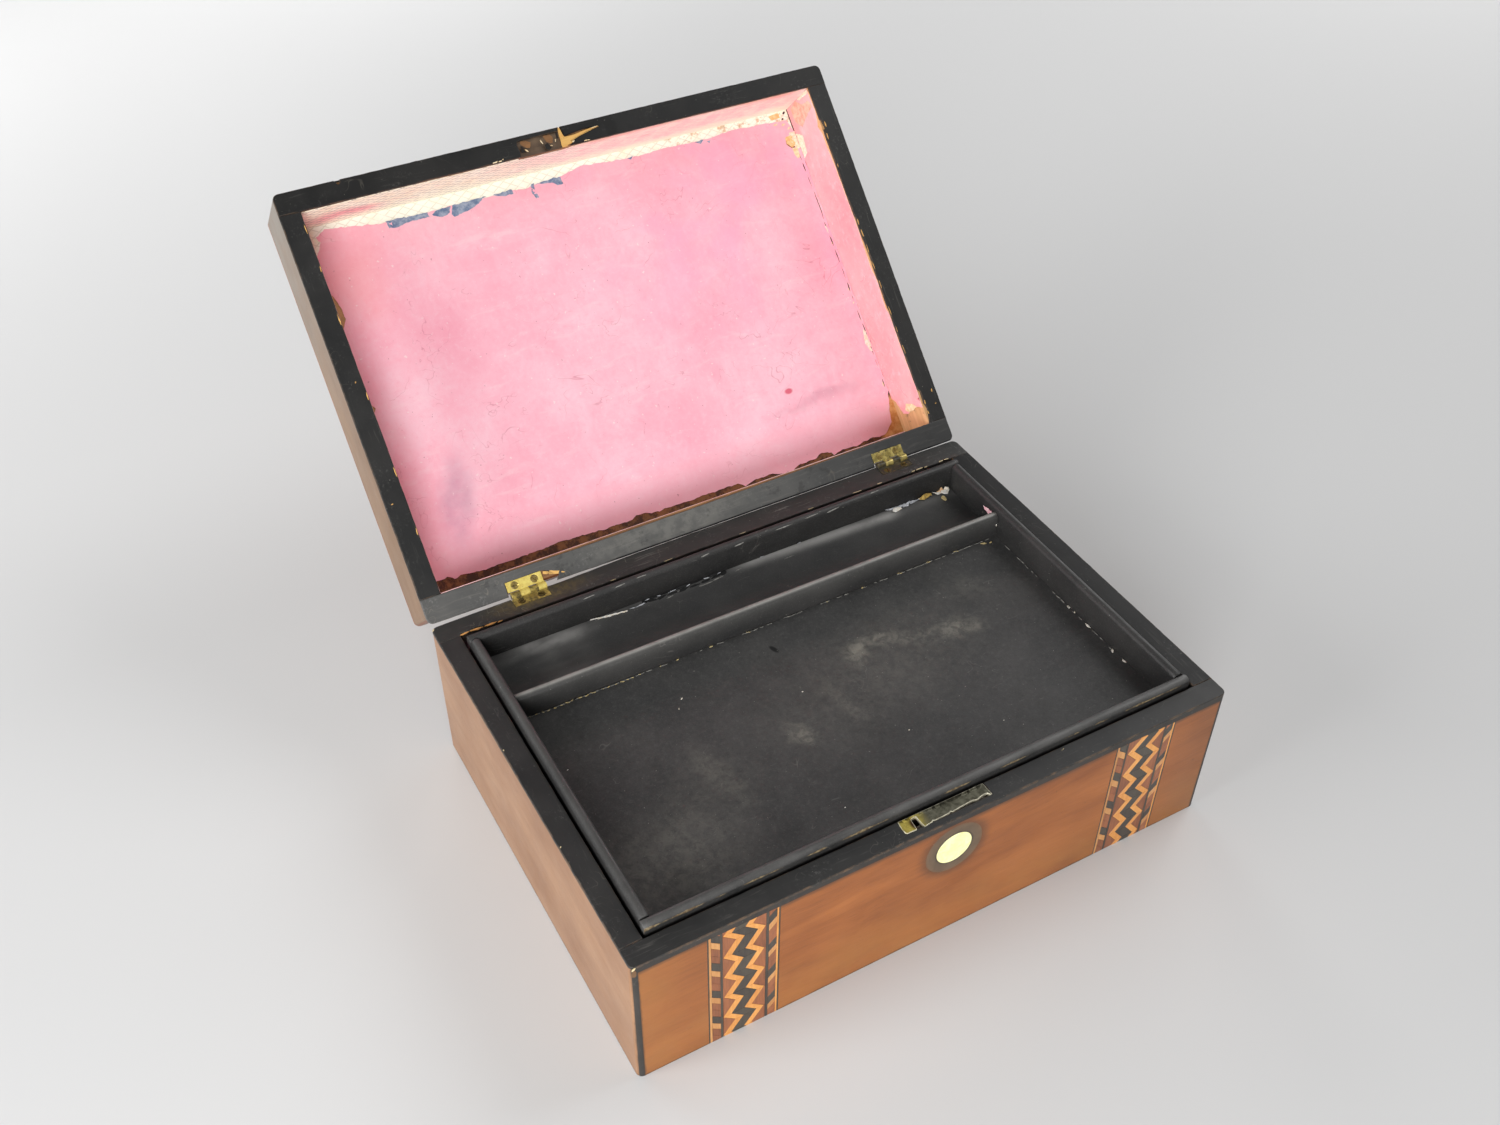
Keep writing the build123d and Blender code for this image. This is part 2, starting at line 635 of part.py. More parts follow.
with BuildPart() as lid_wall_lining:
    with BuildSketch(lid_plane.offset(rim_t)):
        with Locations((0, lid_mid)):
            Rectangle(2 * in_x, 2 * in_y)
            Rectangle(2 * (in_x - paper_t), 2 * (in_y - paper_t), mode=Mode.SUBTRACT)
    extrude(amount=lid_z1 - paper_t - rim_t)
    # the paper is torn away round the empty seat of the link plate
    with BuildSketch(lid_plane.offset(rim_t)):
        with Locations((link_x, lid_mid - in_y + paper_t / 2)):
            Rectangle(link_w, paper_t)
    extrude(amount=2.0, mode=Mode.SUBTRACT)

# ---------------------------------------------------------------------------
# LID: hinge leaves and their screws
# ---------------------------------------------------------------------------
with BuildPart() as hinge_left_lid_leaf:
    with BuildSketch(lid_plane):
        with Locations((hinge_left_x, lid_mid + box_d / 2 - leaf_d / 2)):
            Rectangle(leaf_l, leaf_d)
        for a, b in knuckle_spans(lid_knuckles):
            with Locations((hinge_left_x - leaf_l / 2 + (a + b) / 2, (lid_mid + box_d / 2) / 2)):
                Rectangle(b - a, -(lid_mid + box_d / 2))
    extrude(amount=leaf_t)
    for a, b in knuckle_spans(lid_knuckles):
        with BuildSketch(Plane(origin=(hinge_left_x - leaf_l / 2 + a, axis_y, axis_z), x_dir=(0, 1, 0), z_dir=(1, 0, 0))):
            Circle(knuckle_r)
        extrude(amount=b - a)
    with BuildSketch(Plane(origin=(hinge_left_x - leaf_l / 2, axis_y, axis_z), x_dir=(0, 1, 0), z_dir=(1, 0, 0))):
        Circle(pin_r + pin_play)
    extrude(amount=leaf_l + 1, mode=Mode.SUBTRACT)
    for dx in (-screw_pitch / 2, screw_pitch / 2):
        with BuildSketch(Plane(origin=lid_plane.from_local_coords((hinge_left_x + dx, lid_mid + screw_y, 0)),
                               x_dir=(1, 0, 0), z_dir=lid_plane.y_dir)):
            with BuildLine():
                Polyline((0, 0), (screw_head_r, 0), (screw_shank_r, screw_shank_r - screw_head_r),
                         (screw_shank_r, -2 * leaf_t), (0, -2 * leaf_t), close=True)
            make_face()
        revolve(axis=Axis(lid_plane.from_local_coords((hinge_left_x + dx, lid_mid + screw_y, 0)), lid_plane.z_dir),
                mode=Mode.SUBTRACT)

with BuildPart() as hinge_right_lid_leaf:
    with BuildSketch(lid_plane):
        with Locations((hinge_right_x, lid_mid + box_d / 2 - leaf_d / 2)):
            Rectangle(leaf_l, leaf_d)
        for a, b in knuckle_spans(lid_knuckles):
            with Locations((hinge_right_x - leaf_l / 2 + (a + b) / 2, (lid_mid + box_d / 2) / 2)):
                Rectangle(b - a, -(lid_mid + box_d / 2))
    extrude(amount=leaf_t)
    for a, b in knuckle_spans(lid_knuckles):
        with BuildSketch(Plane(origin=(hinge_right_x - leaf_l / 2 + a, axis_y, axis_z), x_dir=(0, 1, 0), z_dir=(1, 0, 0))):
            Circle(knuckle_r)
        extrude(amount=b - a)
    with BuildSketch(Plane(origin=(hinge_right_x - leaf_l / 2, axis_y, axis_z), x_dir=(0, 1, 0), z_dir=(1, 0, 0))):
        Circle(pin_r + pin_play)
    extrude(amount=leaf_l + 1, mode=Mode.SUBTRACT)
    for dx in (-screw_pitch / 2, screw_pitch / 2):
        with BuildSketch(Plane(origin=lid_plane.from_local_coords((hinge_right_x + dx, lid_mid + screw_y, 0)),
                               x_dir=(1, 0, 0), z_dir=lid_plane.y_dir)):
            with BuildLine():
                Polyline((0, 0), (screw_head_r, 0), (screw_shank_r, screw_shank_r - screw_head_r),
                         (screw_shank_r, -2 * leaf_t), (0, -2 * leaf_t), close=True)
            make_face()
        revolve(axis=Axis(lid_plane.from_local_coords((hinge_right_x + dx, lid_mid + screw_y, 0)), lid_plane.z_dir),
                mode=Mode.SUBTRACT)

with BuildPart() as hinge_screws_lid:
    for hx in (hinge_left_x, hinge_right_x):
        for dx in (-screw_pitch / 2, screw_pitch / 2):
            with BuildSketch(Plane(origin=lid_plane.from_local_coords((hx + dx, lid_mid + screw_y, 0)),
                                   x_dir=(1, 0, 0), z_dir=lid_plane.y_dir)):
                with BuildLine():
                    Polyline((0, 0), (screw_head_r, 0), (screw_shank_r, screw_shank_r - screw_head_r),
                             (screw_shank_r, 1.0 - leaf_t - screw_l), (0, 0.2 - leaf_t - screw_l), close=True)
                make_face()
            revolve(axis=Axis(lid_plane.from_local_coords((hx + dx, lid_mid + screw_y, 0)), lid_plane.z_dir))
    # the slots, each left at its own angle
    for cx, turn in ((hinge_left_x - screw_pitch / 2, 10), (hinge_left_x + screw_pitch / 2, 48),
                     (hinge_right_x - screw_pitch / 2, -20), (hinge_right_x + screw_pitch / 2, 80)):
        with BuildSketch(lid_plane):
            with Locations((cx, lid_mid + screw_y)):
                Rectangle(5.0, screw_slot_w, rotation=turn)
        extrude(amount=screw_slot_d, mode=Mode.SUBTRACT)

# ---------------------------------------------------------------------------
# TRAY: floor under four walls with rounded tops, a divider, and a coved
# trough for pens behind it
# ---------------------------------------------------------------------------
wall_z = tray_z0 + tray_floor_t
wall_h = tray_z1 - wall_z
tray_mid_y = (tray_y0 + tray_y1) / 2
tray_d = tray_y1 - tray_y0
tray_in_x0 = tray_x - tray_w / 2 + tray_wall_t
tray_in_x1 = tray_x + tray_w / 2 - tray_wall_t
cove_y0 = divider_y0 + divider_t
cove_y1 = tray_y1 - tray_wall_t

with BuildPart() as tray_floor:
    with BuildSketch(Plane.XY.offset(tray_z0)):
        with Locations((tray_x, tray_mid_y)):
            Rectangle(tray_w, tray_d)
    extrude(amount=tray_floor_t)

with BuildPart() as tray_front:
    with BuildSketch(Plane.XY.offset(wall_z)):
        with Locations((tray_x, tray_y0 + tray_wall_t / 2)):
            Rectangle(tray_w, tray_wall_t)
    extrude(amount=wall_h)
    fillet(edges().filter_by(Axis.X).group_by(Axis.Z)[-1], tray_round)

with BuildPart() as tray_back:
    with BuildSketch(Plane.XY.offset(wall_z)):
        with Locations((tray_x, tray_y1 - tray_wall_t / 2)):
            Rectangle(tray_w, tray_wall_t)
    extrude(amount=wall_h)
    fillet(edges().filter_by(Axis.X).group_by(Axis.Z)[-1], tray_round)

with BuildPart() as tray_left:
    with BuildSketch(Plane.XY.offset(wall_z)):
        with Locations((tray_in_x0 - tray_wall_t / 2, tray_mid_y)):
            Rectangle(tray_wall_t, tray_d - 2 * tray_wall_t)
    extrude(amount=wall_h)
    fillet(edges().filter_by(Axis.Y).group_by(Axis.Z)[-1], tray_round)

with BuildPart() as tray_right:
    with BuildSketch(Plane.XY.offset(wall_z)):
        with Locations((tray_in_x1 + tray_wall_t / 2, tray_mid_y)):
            Rectangle(tray_wall_t, tray_d - 2 * tray_wall_t)
    extrude(amount=wall_h)
    fillet(edges().filter_by(Axis.Y).group_by(Axis.Z)[-1], tray_round)

with BuildPart() as tray_divider:
    with BuildSketch(Plane.XY.offset(wall_z)):
        with Locations(((tray_in_x0 + tray_in_x1) / 2, divider_y0 + divider_t / 2)):
            Rectangle(tray_in_x1 - tray_in_x0, divider_t)
    extrude(amount=divider_top - wall_z)
    fillet(edges().filter_by(Axis.X).group_by(Axis.Z)[-1], 2.0)

with BuildPart() as pen_trough:
    with BuildSketch(Plane.YZ.offset(tray_in_x0)):
        with BuildLine():
            Polyline((cove_y1, 68.1), (cove_y1, wall_z), (cove_y0, wall_z), (cove_y0, 75.5))
            ThreePointArc((cove_y0, 75.5), (66.0, 66.9), (cove_y1, 68.1))
        make_face()
    extrude(amount=tray_in_x1 - tray_in_x0)

# ---------------------------------------------------------------------------
# labels and files
# ---------------------------------------------------------------------------
base_front_board.part.label = "base_front_board"
export_step(base_front_board.part, "parts/base_front_board.step")
base_back_board.part.label = "base_back_board"
export_step(base_back_board.part, "parts/base_back_board.step")
base_left_board.part.label = "base_left_board"
export_step(base_left_board.part, "parts/base_left_board.step")
base_right_board.part.label = "base_right_board"
export_step(base_right_board.part, "parts/base_right_board.step")
base_bottom_board.part.label = "base_bottom_board"
export_step(base_bottom_board.part, "parts/base_bottom_board.step")
base_front_veneer.part.label = "base_front_veneer"
export_step(base_front_veneer.part, "parts/base_front_veneer.step")
base_back_veneer.part.label = "base_back_veneer"
export_step(base_back_veneer.part, "parts/base_back_veneer.step")
base_left_veneer.part.label = "base_left_veneer"
export_step(base_left_veneer.part, "parts/base_left_veneer.step")
base_right_veneer.part.label = "base_right_veneer"
export_step(base_right_veneer.part, "parts/base_right_veneer.step")
base_front_edging.part.label = "base_front_edging"
export_step(base_front_edging.part, "parts/base_front_edging.step")
base_rim_front.part.label = "base_rim_front"
export_step(base_rim_front.part, "parts/base_rim_front.step")
base_rim_back.part.label = "base_rim_back"
export_step(base_rim_back.part, "parts/base_rim_back.step")
base_rim_left.part.label = "base_rim_left"
export_step(base_rim_left.part, "parts/base_rim_left.step")
base_rim_right.part.label = "base_rim_right"
export_step(base_rim_right.part, "parts/base_rim_right.step")
front_band_left.part.label = "front_band_left"
export_step(front_band_left.part, "parts/front_band_left.step")
front_band_right.part.label = "front_band_right"
export_step(front_band_right.part, "parts/front_band_right.step")
roundel_surround.part.label = "roundel_surround"
export_step(roundel_surround.part, "parts/roundel_surround.step")
pearl_roundel.part.label = "pearl_roundel"
export_step(pearl_roundel.part, "parts/pearl_roundel.step")
base_floor_lining.part.label = "base_floor_lining"
export_step(base_floor_lining.part, "parts/base_floor_lining.step")
base_wall_lining.part.label = "base_wall_lining"
export_step(base_wall_lining.part, "parts/base_wall_lining.step")
tray_ledges.part.label = "tray_ledges"
export_step(tray_ledges.part, "parts/tray_ledges.step")
lock_case.part.label = "lock_case"
export_step(lock_case.part, "parts/lock_case.step")
lock_screws.part.label = "lock_screws"
export_step(lock_screws.part, "parts/lock_screws.step")
lock_selvedge.part.label = "lock_selvedge"
export_step(lock_selvedge.part, "parts/lock_selvedge.step")
lock_bolt.part.label = "lock_bolt"
export_step(lock_bolt.part, "parts/lock_bolt.step")
hinge_left_base_leaf.part.label = "hinge_left_base_leaf"
export_step(hinge_left_base_leaf.part, "parts/hinge_left_base_leaf.step")
hinge_right_base_leaf.part.label = "hinge_right_base_leaf"
export_step(hinge_right_base_leaf.part, "parts/hinge_right_base_leaf.step")
hinge_pins.part.label = "hinge_pins"
export_step(hinge_pins.part, "parts/hinge_pins.step")
hinge_screws_base.part.label = "hinge_screws_base"
export_step(hinge_screws_base.part, "parts/hinge_screws_base.step")
lid_front_rail.part.label = "lid_front_rail"
export_step(lid_front_rail.part, "parts/lid_front_rail.step")
lid_back_rail.part.label = "lid_back_rail"
export_step(lid_back_rail.part, "parts/lid_back_rail.step")
lid_left_rail.part.label = "lid_left_rail"
export_step(lid_left_rail.part, "parts/lid_left_rail.step")
lid_right_rail.part.label = "lid_right_rail"
export_step(lid_right_rail.part, "parts/lid_right_rail.step")
lid_top_board.part.label = "lid_top_board"
export_step(lid_top_board.part, "parts/lid_top_board.step")
lid_front_veneer.part.label = "lid_front_veneer"
export_step(lid_front_veneer.part, "parts/lid_front_veneer.step")
lid_back_veneer.part.label = "lid_back_veneer"
export_step(lid_back_veneer.part, "parts/lid_back_veneer.step")
lid_left_veneer.part.label = "lid_left_veneer"
export_step(lid_left_veneer.part, "parts/lid_left_veneer.step")
lid_right_veneer.part.label = "lid_right_veneer"
export_step(lid_right_veneer.part, "parts/lid_right_veneer.step")
lid_top_veneer.part.label = "lid_top_veneer"
export_step(lid_top_veneer.part, "parts/lid_top_veneer.step")
lid_front_edging.part.label = "lid_front_edging"
export_step(lid_front_edging.part, "parts/lid_front_edging.step")
lid_rim_front.part.label = "lid_rim_front"
export_step(lid_rim_front.part, "parts/lid_rim_front.step")
lid_rim_back.part.label = "lid_rim_back"
export_step(lid_rim_back.part, "parts/lid_rim_back.step")
lid_rim_left.part.label = "lid_rim_left"
export_step(lid_rim_left.part, "parts/lid_rim_left.step")
lid_rim_right.part.label = "lid_rim_right"
export_step(lid_rim_right.part, "parts/lid_rim_right.step")
lid_front_band_left.part.label = "lid_front_band_left"
export_step(lid_front_band_left.part, "parts/lid_front_band_left.step")
lid_front_band_right.part.label = "lid_front_band_right"
export_step(lid_front_band_right.part, "parts/lid_front_band_right.step")
lid_top_band_left.part.label = "lid_top_band_left"
export_step(lid_top_band_left.part, "parts/lid_top_band_left.step")
lid_top_band_right.part.label = "lid_top_band_right"
export_step(lid_top_band_right.part, "parts/lid_top_band_right.step")
lid_top_lining.part.label = "lid_top_lining"
export_step(lid_top_lining.part, "parts/lid_top_lining.step")
lid_wall_lining.part.label = "lid_wall_lining"
export_step(lid_wall_lining.part, "parts/lid_wall_lining.step")
hinge_left_lid_leaf.part.label = "hinge_left_lid_leaf"
export_step(hinge_left_lid_leaf.part, "parts/hinge_left_lid_leaf.step")
hinge_right_lid_leaf.part.label = "hinge_right_lid_leaf"
export_step(hinge_right_lid_leaf.part, "parts/hinge_right_lid_leaf.step")
hinge_screws_lid.part.label = "hinge_screws_lid"
export_step(hinge_screws_lid.part, "parts/hinge_screws_lid.step")
tray_floor.part.label = "tray_floor"
export_step(tray_floor.part, "parts/tray_floor.step")
tray_front.part.label = "tray_front"
export_step(tray_front.part, "parts/tray_front.step")
tray_back.part.label = "tray_back"
export_step(tray_back.part, "parts/tray_back.step")
tray_left.part.label = "tray_left"
export_step(tray_left.part, "parts/tray_left.step")
tray_right.part.label = "tray_right"
export_step(tray_right.part, "parts/tray_right.step")
tray_divider.part.label = "tray_divider"
export_step(tray_divider.part, "parts/tray_divider.step")
pen_trough.part.label = "pen_trough"
export_step(pen_trough.part, "parts/pen_trough.step")
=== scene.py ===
"""Looks of an old work box: veneered carcass, blackened rims, inlay bands, papered lid, loose black tray.

Lengths below are millimetres unless a line says otherwise. Lid coordinates (x, v, d): v runs from the hinge
line towards the lid's front edge in the plane of its rim, d runs from the rim into the lid.
"""
import math
import random

import bpy
import numpy as np
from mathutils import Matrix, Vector, noise
from mathutils.geometry import delaunay_2d_cdt


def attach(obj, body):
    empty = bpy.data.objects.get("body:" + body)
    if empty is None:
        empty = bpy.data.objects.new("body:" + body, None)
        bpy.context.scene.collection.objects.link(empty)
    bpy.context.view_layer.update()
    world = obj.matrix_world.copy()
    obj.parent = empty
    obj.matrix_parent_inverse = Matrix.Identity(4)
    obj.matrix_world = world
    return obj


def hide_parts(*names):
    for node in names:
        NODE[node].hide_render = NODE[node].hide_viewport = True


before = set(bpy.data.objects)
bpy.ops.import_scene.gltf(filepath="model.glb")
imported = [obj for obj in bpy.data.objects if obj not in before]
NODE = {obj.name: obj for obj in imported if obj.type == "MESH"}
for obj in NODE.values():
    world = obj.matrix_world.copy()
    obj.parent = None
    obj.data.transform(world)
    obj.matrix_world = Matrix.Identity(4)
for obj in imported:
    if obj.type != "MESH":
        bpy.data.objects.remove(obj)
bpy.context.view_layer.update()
K = math.sqrt(0.5)

# ---------------------------------------------------------------------------
# camera
# ---------------------------------------------------------------------------
cam_data = bpy.data.cameras.new("camera")
cam = bpy.data.objects.new("camera", cam_data)
bpy.context.scene.collection.objects.link(cam)
cam.location = (-0.279766, -0.424841, 0.592143)
cam.rotation_euler = (math.radians(48.2325), math.radians(-0.3259), math.radians(-29.3209))
cam_data.sensor_width = 36
cam_data.lens = 37.506
cam_data.clip_start = 0.01
bpy.context.scene.camera = cam
bpy.context.scene.view_settings.view_transform = "Standard"


# ---------------------------------------------------------------------------
# planes: (a, b, h) on a face of the box, h outwards, to the box's own frame
# ---------------------------------------------------------------------------
def lidpt(x, v, d):
    return (x, 108.74 + K * (v + d), 78.7 + K * (v - d))


def on_level(z):
    return lambda a, b, h: (a, b, z + h)


def on_front(a, b, h):
    return (a, -106.5 - h, b)


def on_rim(a, b, h):
    return lidpt(a, b, -h)


def on_lid_front(a, b, h):
    return lidpt(a, 215.24 + h, b)


def on_lid_top(a, b, h):
    return lidpt(a, -b, 36.8 + h)


def on_wall_front(a, b, h):
    return lidpt(a, 204.74 - h, -b)


def on_wall_right(a, b, h):
    return lidpt(139.5 - h, a, b)


def on_wall_left(a, b, h):
    return lidpt(-139.5 + h, a, -b)


def on_wall_back(a, b, h):
    return lidpt(a, 12.74 + h, b)


# ---------------------------------------------------------------------------
# noise
# ---------------------------------------------------------------------------
def n3(x, y, z=0.0):
    return noise.noise((x, y, z))


def fbm(x, y, z=0.0, octaves=3):
    s, a, f = 0.0, 1.0, 1.0
    for _ in range(octaves):
        s += a * noise.noise((x * f, y * f, z + 7.3 * f))
        a *= 0.5
        f *= 2.1
    return s


# ---------------------------------------------------------------------------
# colours and material building
# ---------------------------------------------------------------------------
def lin(r, g, b):
    out = []
    for c in (r, g, b):
        c /= 255.0
        out.append(c / 12.92 if c <= 0.04045 else ((c + 0.055) / 1.055) ** 2.4)
    return (out[0], out[1], out[2], 1.0)


class Mat:
    """A procedural material. Its coordinates are in millimetres: (x, y, z), or (x, v, -d) on the lid."""

    def __init__(self, name, on_lid=False, **sockets):
        self.m = bpy.data.materials.new(name)
        self.m.use_nodes = True
        self.nt = self.m.node_tree
        self.nt.nodes.clear()
        out = self.nt.nodes.new("ShaderNodeOutputMaterial")
        self.b = self.nt.nodes.new("ShaderNodeBsdfPrincipled")
        self.nt.links.new(self.b.outputs[0], out.inputs[0])
        tc = self.nt.nodes.new("ShaderNodeTexCoord")
        vec = tc.outputs["Object"]
        if on_lid:
            mp = self.nt.nodes.new("ShaderNodeMapping")
            mp.inputs["Rotation"].default_value = (math.radians(-45), 0, 0)
            mp.inputs["Location"].default_value = (0, -0.13254, 0.02124)
            self.nt.links.new(vec, mp.inputs["Vector"])
            vec = mp.outputs[0]
        sc = self.nt.nodes.new("ShaderNodeVectorMath")
        sc.operation = "SCALE"
        self.nt.links.new(vec, sc.inputs[0])
        sc.inputs["Scale"].default_value = 1000.0
        self.co = sc.outputs[0]
        for key, value in sockets.items():
            self.put(self.b.inputs[key.replace("_", " ")], value)

    def put(self, sock, value):
        if isinstance(value, bpy.types.NodeSocket):
            self.nt.links.new(value, sock)
        else:
            sock.default_value = value

    def set(self, **sockets):
        for key, value in sockets.items():
            self.put(self.b.inputs[key.replace("_", " ")], value)
        return self

    def node(self, kind, **props):
        n = self.nt.nodes.new(kind)
        for key, value in props.items():
            setattr(n, key, value)
        return n

    def math(self, op, a, b=None, c=None, clamp=False):
        n = self.node("ShaderNodeMath", operation=op, use_clamp=clamp)
        for i, v in enumerate((a, b, c)):
            if v is not None:
                self.put(n.inputs[i], v)
        return n.outputs[0]

    def mixc(self, f, a, b, blend="MIX"):
        n = self.node("ShaderNodeMix", data_type="RGBA", blend_type=blend)
        self.put(n.inputs[0], f)
        self.put(n.inputs[6], a)
        self.put(n.inputs[7], b)
        return n.outputs[2]

    def mixf(self, f, a, b):
        n = self.node("ShaderNodeMix", data_type="FLOAT")
        self.put(n.inputs[0], f)
        self.put(n.inputs[2], a)
        self.put(n.inputs[3], b)
        return n.outputs[0]

    def ramp(self, f, stops, interp="LINEAR"):
        n = self.node("ShaderNodeValToRGB")
        n.color_ramp.interpolation = interp
        els = n.color_ramp.elements
        while len(els) < len(stops):
            els.new(0.5)
        for e, (p, c) in zip(els, stops):
            e.position = p
            e.color = c
        self.put(n.inputs[0], f)
        return n.outputs[0]

    def map(self, v, a, b, c=0.0, d=1.0, smooth=True):
        n = self.node("ShaderNodeMapRange", interpolation_type="SMOOTHSTEP" if smooth else "LINEAR")
        for i, val in enumerate((v, a, b, c, d)):
            self.put(n.inputs[i], val)
        return n.outputs[0]

    def vec(self, scale=(1, 1, 1), loc=(0, 0, 0), rot=(0, 0, 0), vec=None):
        n = self.node("ShaderNodeMapping")
        n.inputs["Scale"].default_value = scale
        n.inputs["Location"].default_value = loc
        n.inputs["Rotation"].default_value = rot
        self.put(n.inputs["Vector"], vec or self.co)
        return n.outputs[0]

    def warp(self, amount, size, vec=None):
        """Coordinates pushed about by a soft noise: amount and size in millimetres."""
        vec = vec or self.co
        n = self.node("ShaderNodeTexNoise", noise_dimensions="3D")
        n.inputs["Scale"].default_value = 1.0 / size
        n.inputs["Detail"].default_value = 2.0
        self.put(n.inputs["Vector"], vec)
        sub = self.node("ShaderNodeVectorMath", operation="SUBTRACT")
        self.put(sub.inputs[0], n.outputs[1])
        sub.inputs[1].default_value = (0.5, 0.5, 0.5)
        mul = self.node("ShaderNodeVectorMath", operation="SCALE")
        self.put(mul.inputs[0], sub.outputs[0])
        mul.inputs["Scale"].default_value = amount
        add = self.node("ShaderNodeVectorMath", operation="ADD")
        self.put(add.inputs[0], vec)
        self.put(add.inputs[1], mul.outputs[0])
        return add.outputs[0]

    def noise(self, size, detail=3.0, rough=0.5, dist=0.0, vec=None, at=0.0):
        n = self.node("ShaderNodeTexNoise", noise_dimensions="4D")
        n.inputs["Scale"].default_value = 1.0 / size
        n.inputs["Detail"].default_value = detail
        n.inputs["Roughness"].default_value = rough
        n.inputs["Distortion"].default_value = dist
        n.inputs["W"].default_value = at
        self.put(n.inputs["Vector"], vec or self.co)
        return n.outputs[0]

    def voronoi(self, size, feature="F1", out="Distance", vec=None, random=1.0):
        n = self.node("ShaderNodeTexVoronoi", feature=feature)
        n.inputs["Scale"].default_value = 1.0 / size
        n.inputs["Randomness"].default_value = random
        self.put(n.inputs["Vector"], vec or self.co)
        return n.outputs[out]

    def xyz(self, vec=None):
        n = self.node("ShaderNodeSeparateXYZ")
        self.put(n.inputs[0], vec or self.co)
        return n.outputs[0], n.outputs[1], n.outputs[2]

    def attr(self, name):
        n = self.node("ShaderNodeAttribute", attribute_name=name)
        return n.outputs["Fac"]

    def thin(self, size, width, detail=2.0, dist=0.6, vec=None, at=0.0):
        """Thin wandering lines, where a soft noise crosses its middle."""
        n = self.noise(size, detail, 0.5, dist, vec=vec, at=at)
        return self.map(self.math("ABSOLUTE", self.math("SUBTRACT", n, 0.5)), 0.0, width, 1.0, 0.0)

    def add(self, *values):
        out = values[0]
        for v in values[1:]:
            out = self.math("ADD", out, v)
        return out

    def near(self, v, at, soft):
        """1 where v is at `at`, falling to 0 over `soft` on both sides."""
        return self.map(self.math("ABSOLUTE", self.math("SUBTRACT", v, at)), 0.0, soft, 1.0, 0.0)

    def ellipse(self, a, b, ca, cb, ra, rb, soft=0.4, turn=0.0):
        """1 inside an ellipse in the plane of a and b, soft at its border."""
        da = self.math("SUBTRACT", a, ca)
        db = self.math("SUBTRACT", b, cb)
        c, s = math.cos(turn), math.sin(turn)
        u = self.math("ADD", self.math("MULTIPLY", da, c), self.math("MULTIPLY", db, s))
        w = self.math("SUBTRACT", self.math("MULTIPLY", db, c), self.math("MULTIPLY", da, s))
        r = self.math("SQRT", self.math("ADD", self.math("POWER", self.math("DIVIDE", u, ra), 2.0),
                                        self.math("POWER", self.math("DIVIDE", w, rb), 2.0)))
        return self.map(r, 1.0 - soft, 1.0 + soft, 1.0, 0.0)

    def bump(self, height, distance, strength=1.0, normal=None):
        n = self.node("ShaderNodeBump")
        n.inputs["Strength"].default_value = strength
        n.inputs["Distance"].default_value = distance * 0.001
        self.put(n.inputs["Height"], height)
        if normal is not None:
            self.put(n.inputs["Normal"], normal)
        return n.outputs[0]


# ---------------------------------------------------------------------------
# materials
# ---------------------------------------------------------------------------
def veneer(name, dark, mid, light, along, on_lid=False, dirt=None, rough=0.36, figure=1.0, at=0.0, grey=None, tan=None):
    """Polished veneer. along: which coordinate the grain follows (0 x, 1 y or v, 2 z or d)."""
    m = Mat(name, on_lid)
    st = [1.0, 1.0, 1.0]
    st[along] = 0.16
    w = m.warp(9.0, 46.0)
    g = m.vec(scale=tuple(st), vec=w)
    cloud = m.noise(26.0, 3.0, 0.55, vec=g, at=at)
    band = m.noise(7.5, 4.0, 0.6, 0.4, vec=g, at=at + 3.0)
    st2 = [1.0, 1.0, 1.0]
    st2[along] = 0.035
    fibre = m.noise(0.85, 3.0, 0.6, vec=m.vec(scale=tuple(st2), vec=w), at=at + 5.0)
    mott = m.noise(38.0, 2.0, 0.5, at=at + 8.0)
    f = m.math("ADD", m.math("MULTIPLY", cloud, 0.75 * figure), m.math("MULTIPLY", band, 0.5 * figure))
    f = m.math("ADD", f, m.math("MULTIPLY", fibre, 0.26))
    f = m.math("ADD", f, m.math("MULTIPLY", mott, 0.45))
    f = m.map(f, 0.42 + 0.32 * figure, 0.76 + 0.62 * figure, smooth=False)
    col = m.ramp(f, [(0.0, dark), (0.5, mid), (1.0, light)])
    st3 = [1.0, 1.0, 1.0]
    st3[along] = 0.09
    pores = m.noise(0.42, 2.0, 0.5, vec=m.vec(scale=tuple(st3)), at=at + 9.0)
    pore = m.map(pores, 0.63, 0.72)
    col = m.mixc(m.math("MULTIPLY", pore, 0.28), col, (dark[0] * 0.35, dark[1] * 0.3, dark[2] * 0.3, 1))
    # small dents and rubbed places
    spots = m.noise(3.2, 3.0, 0.6, at=at + 12.0)
    col = m.mixc(m.map(spots, 0.66, 0.76, 0.0, 0.35), col, (dark[0] * 0.5, dark[1] * 0.5, dark[2] * 0.5, 1))
    if tan is not None:
        col = m.mixc(tan(m), col, lin(158, 106, 52))
    if grey is not None:
        col = m.mixc(grey(m), col, lin(125, 119, 110))
    if dirt is not None:
        col = m.mixc(dirt(m), col, lin(52, 40, 30))
    r = m.math("ADD", m.math("MULTIPLY", m.noise(18.0, 3.0, 0.6, at=at + 14.0), 0.22), rough - 0.1)
    h = m.math("ADD", m.math("MULTIPLY", fibre, 0.5), m.math("MULTIPLY", pore, -0.6))
    h = m.math("ADD", h, m.math("MULTIPLY", m.noise(14.0, 3.0, 0.5, at=at + 20.0), 1.6))
    m.set(Base_Color=col, Roughness=r, Normal=m.bump(h, 0.05, 0.5))
    m.b.inputs["Specular IOR Level"].default_value = 0.4
    m.b.inputs["Coat Weight"].default_value = 0.04
    m.b.inputs["Coat Roughness"].default_value = 0.3
    return m


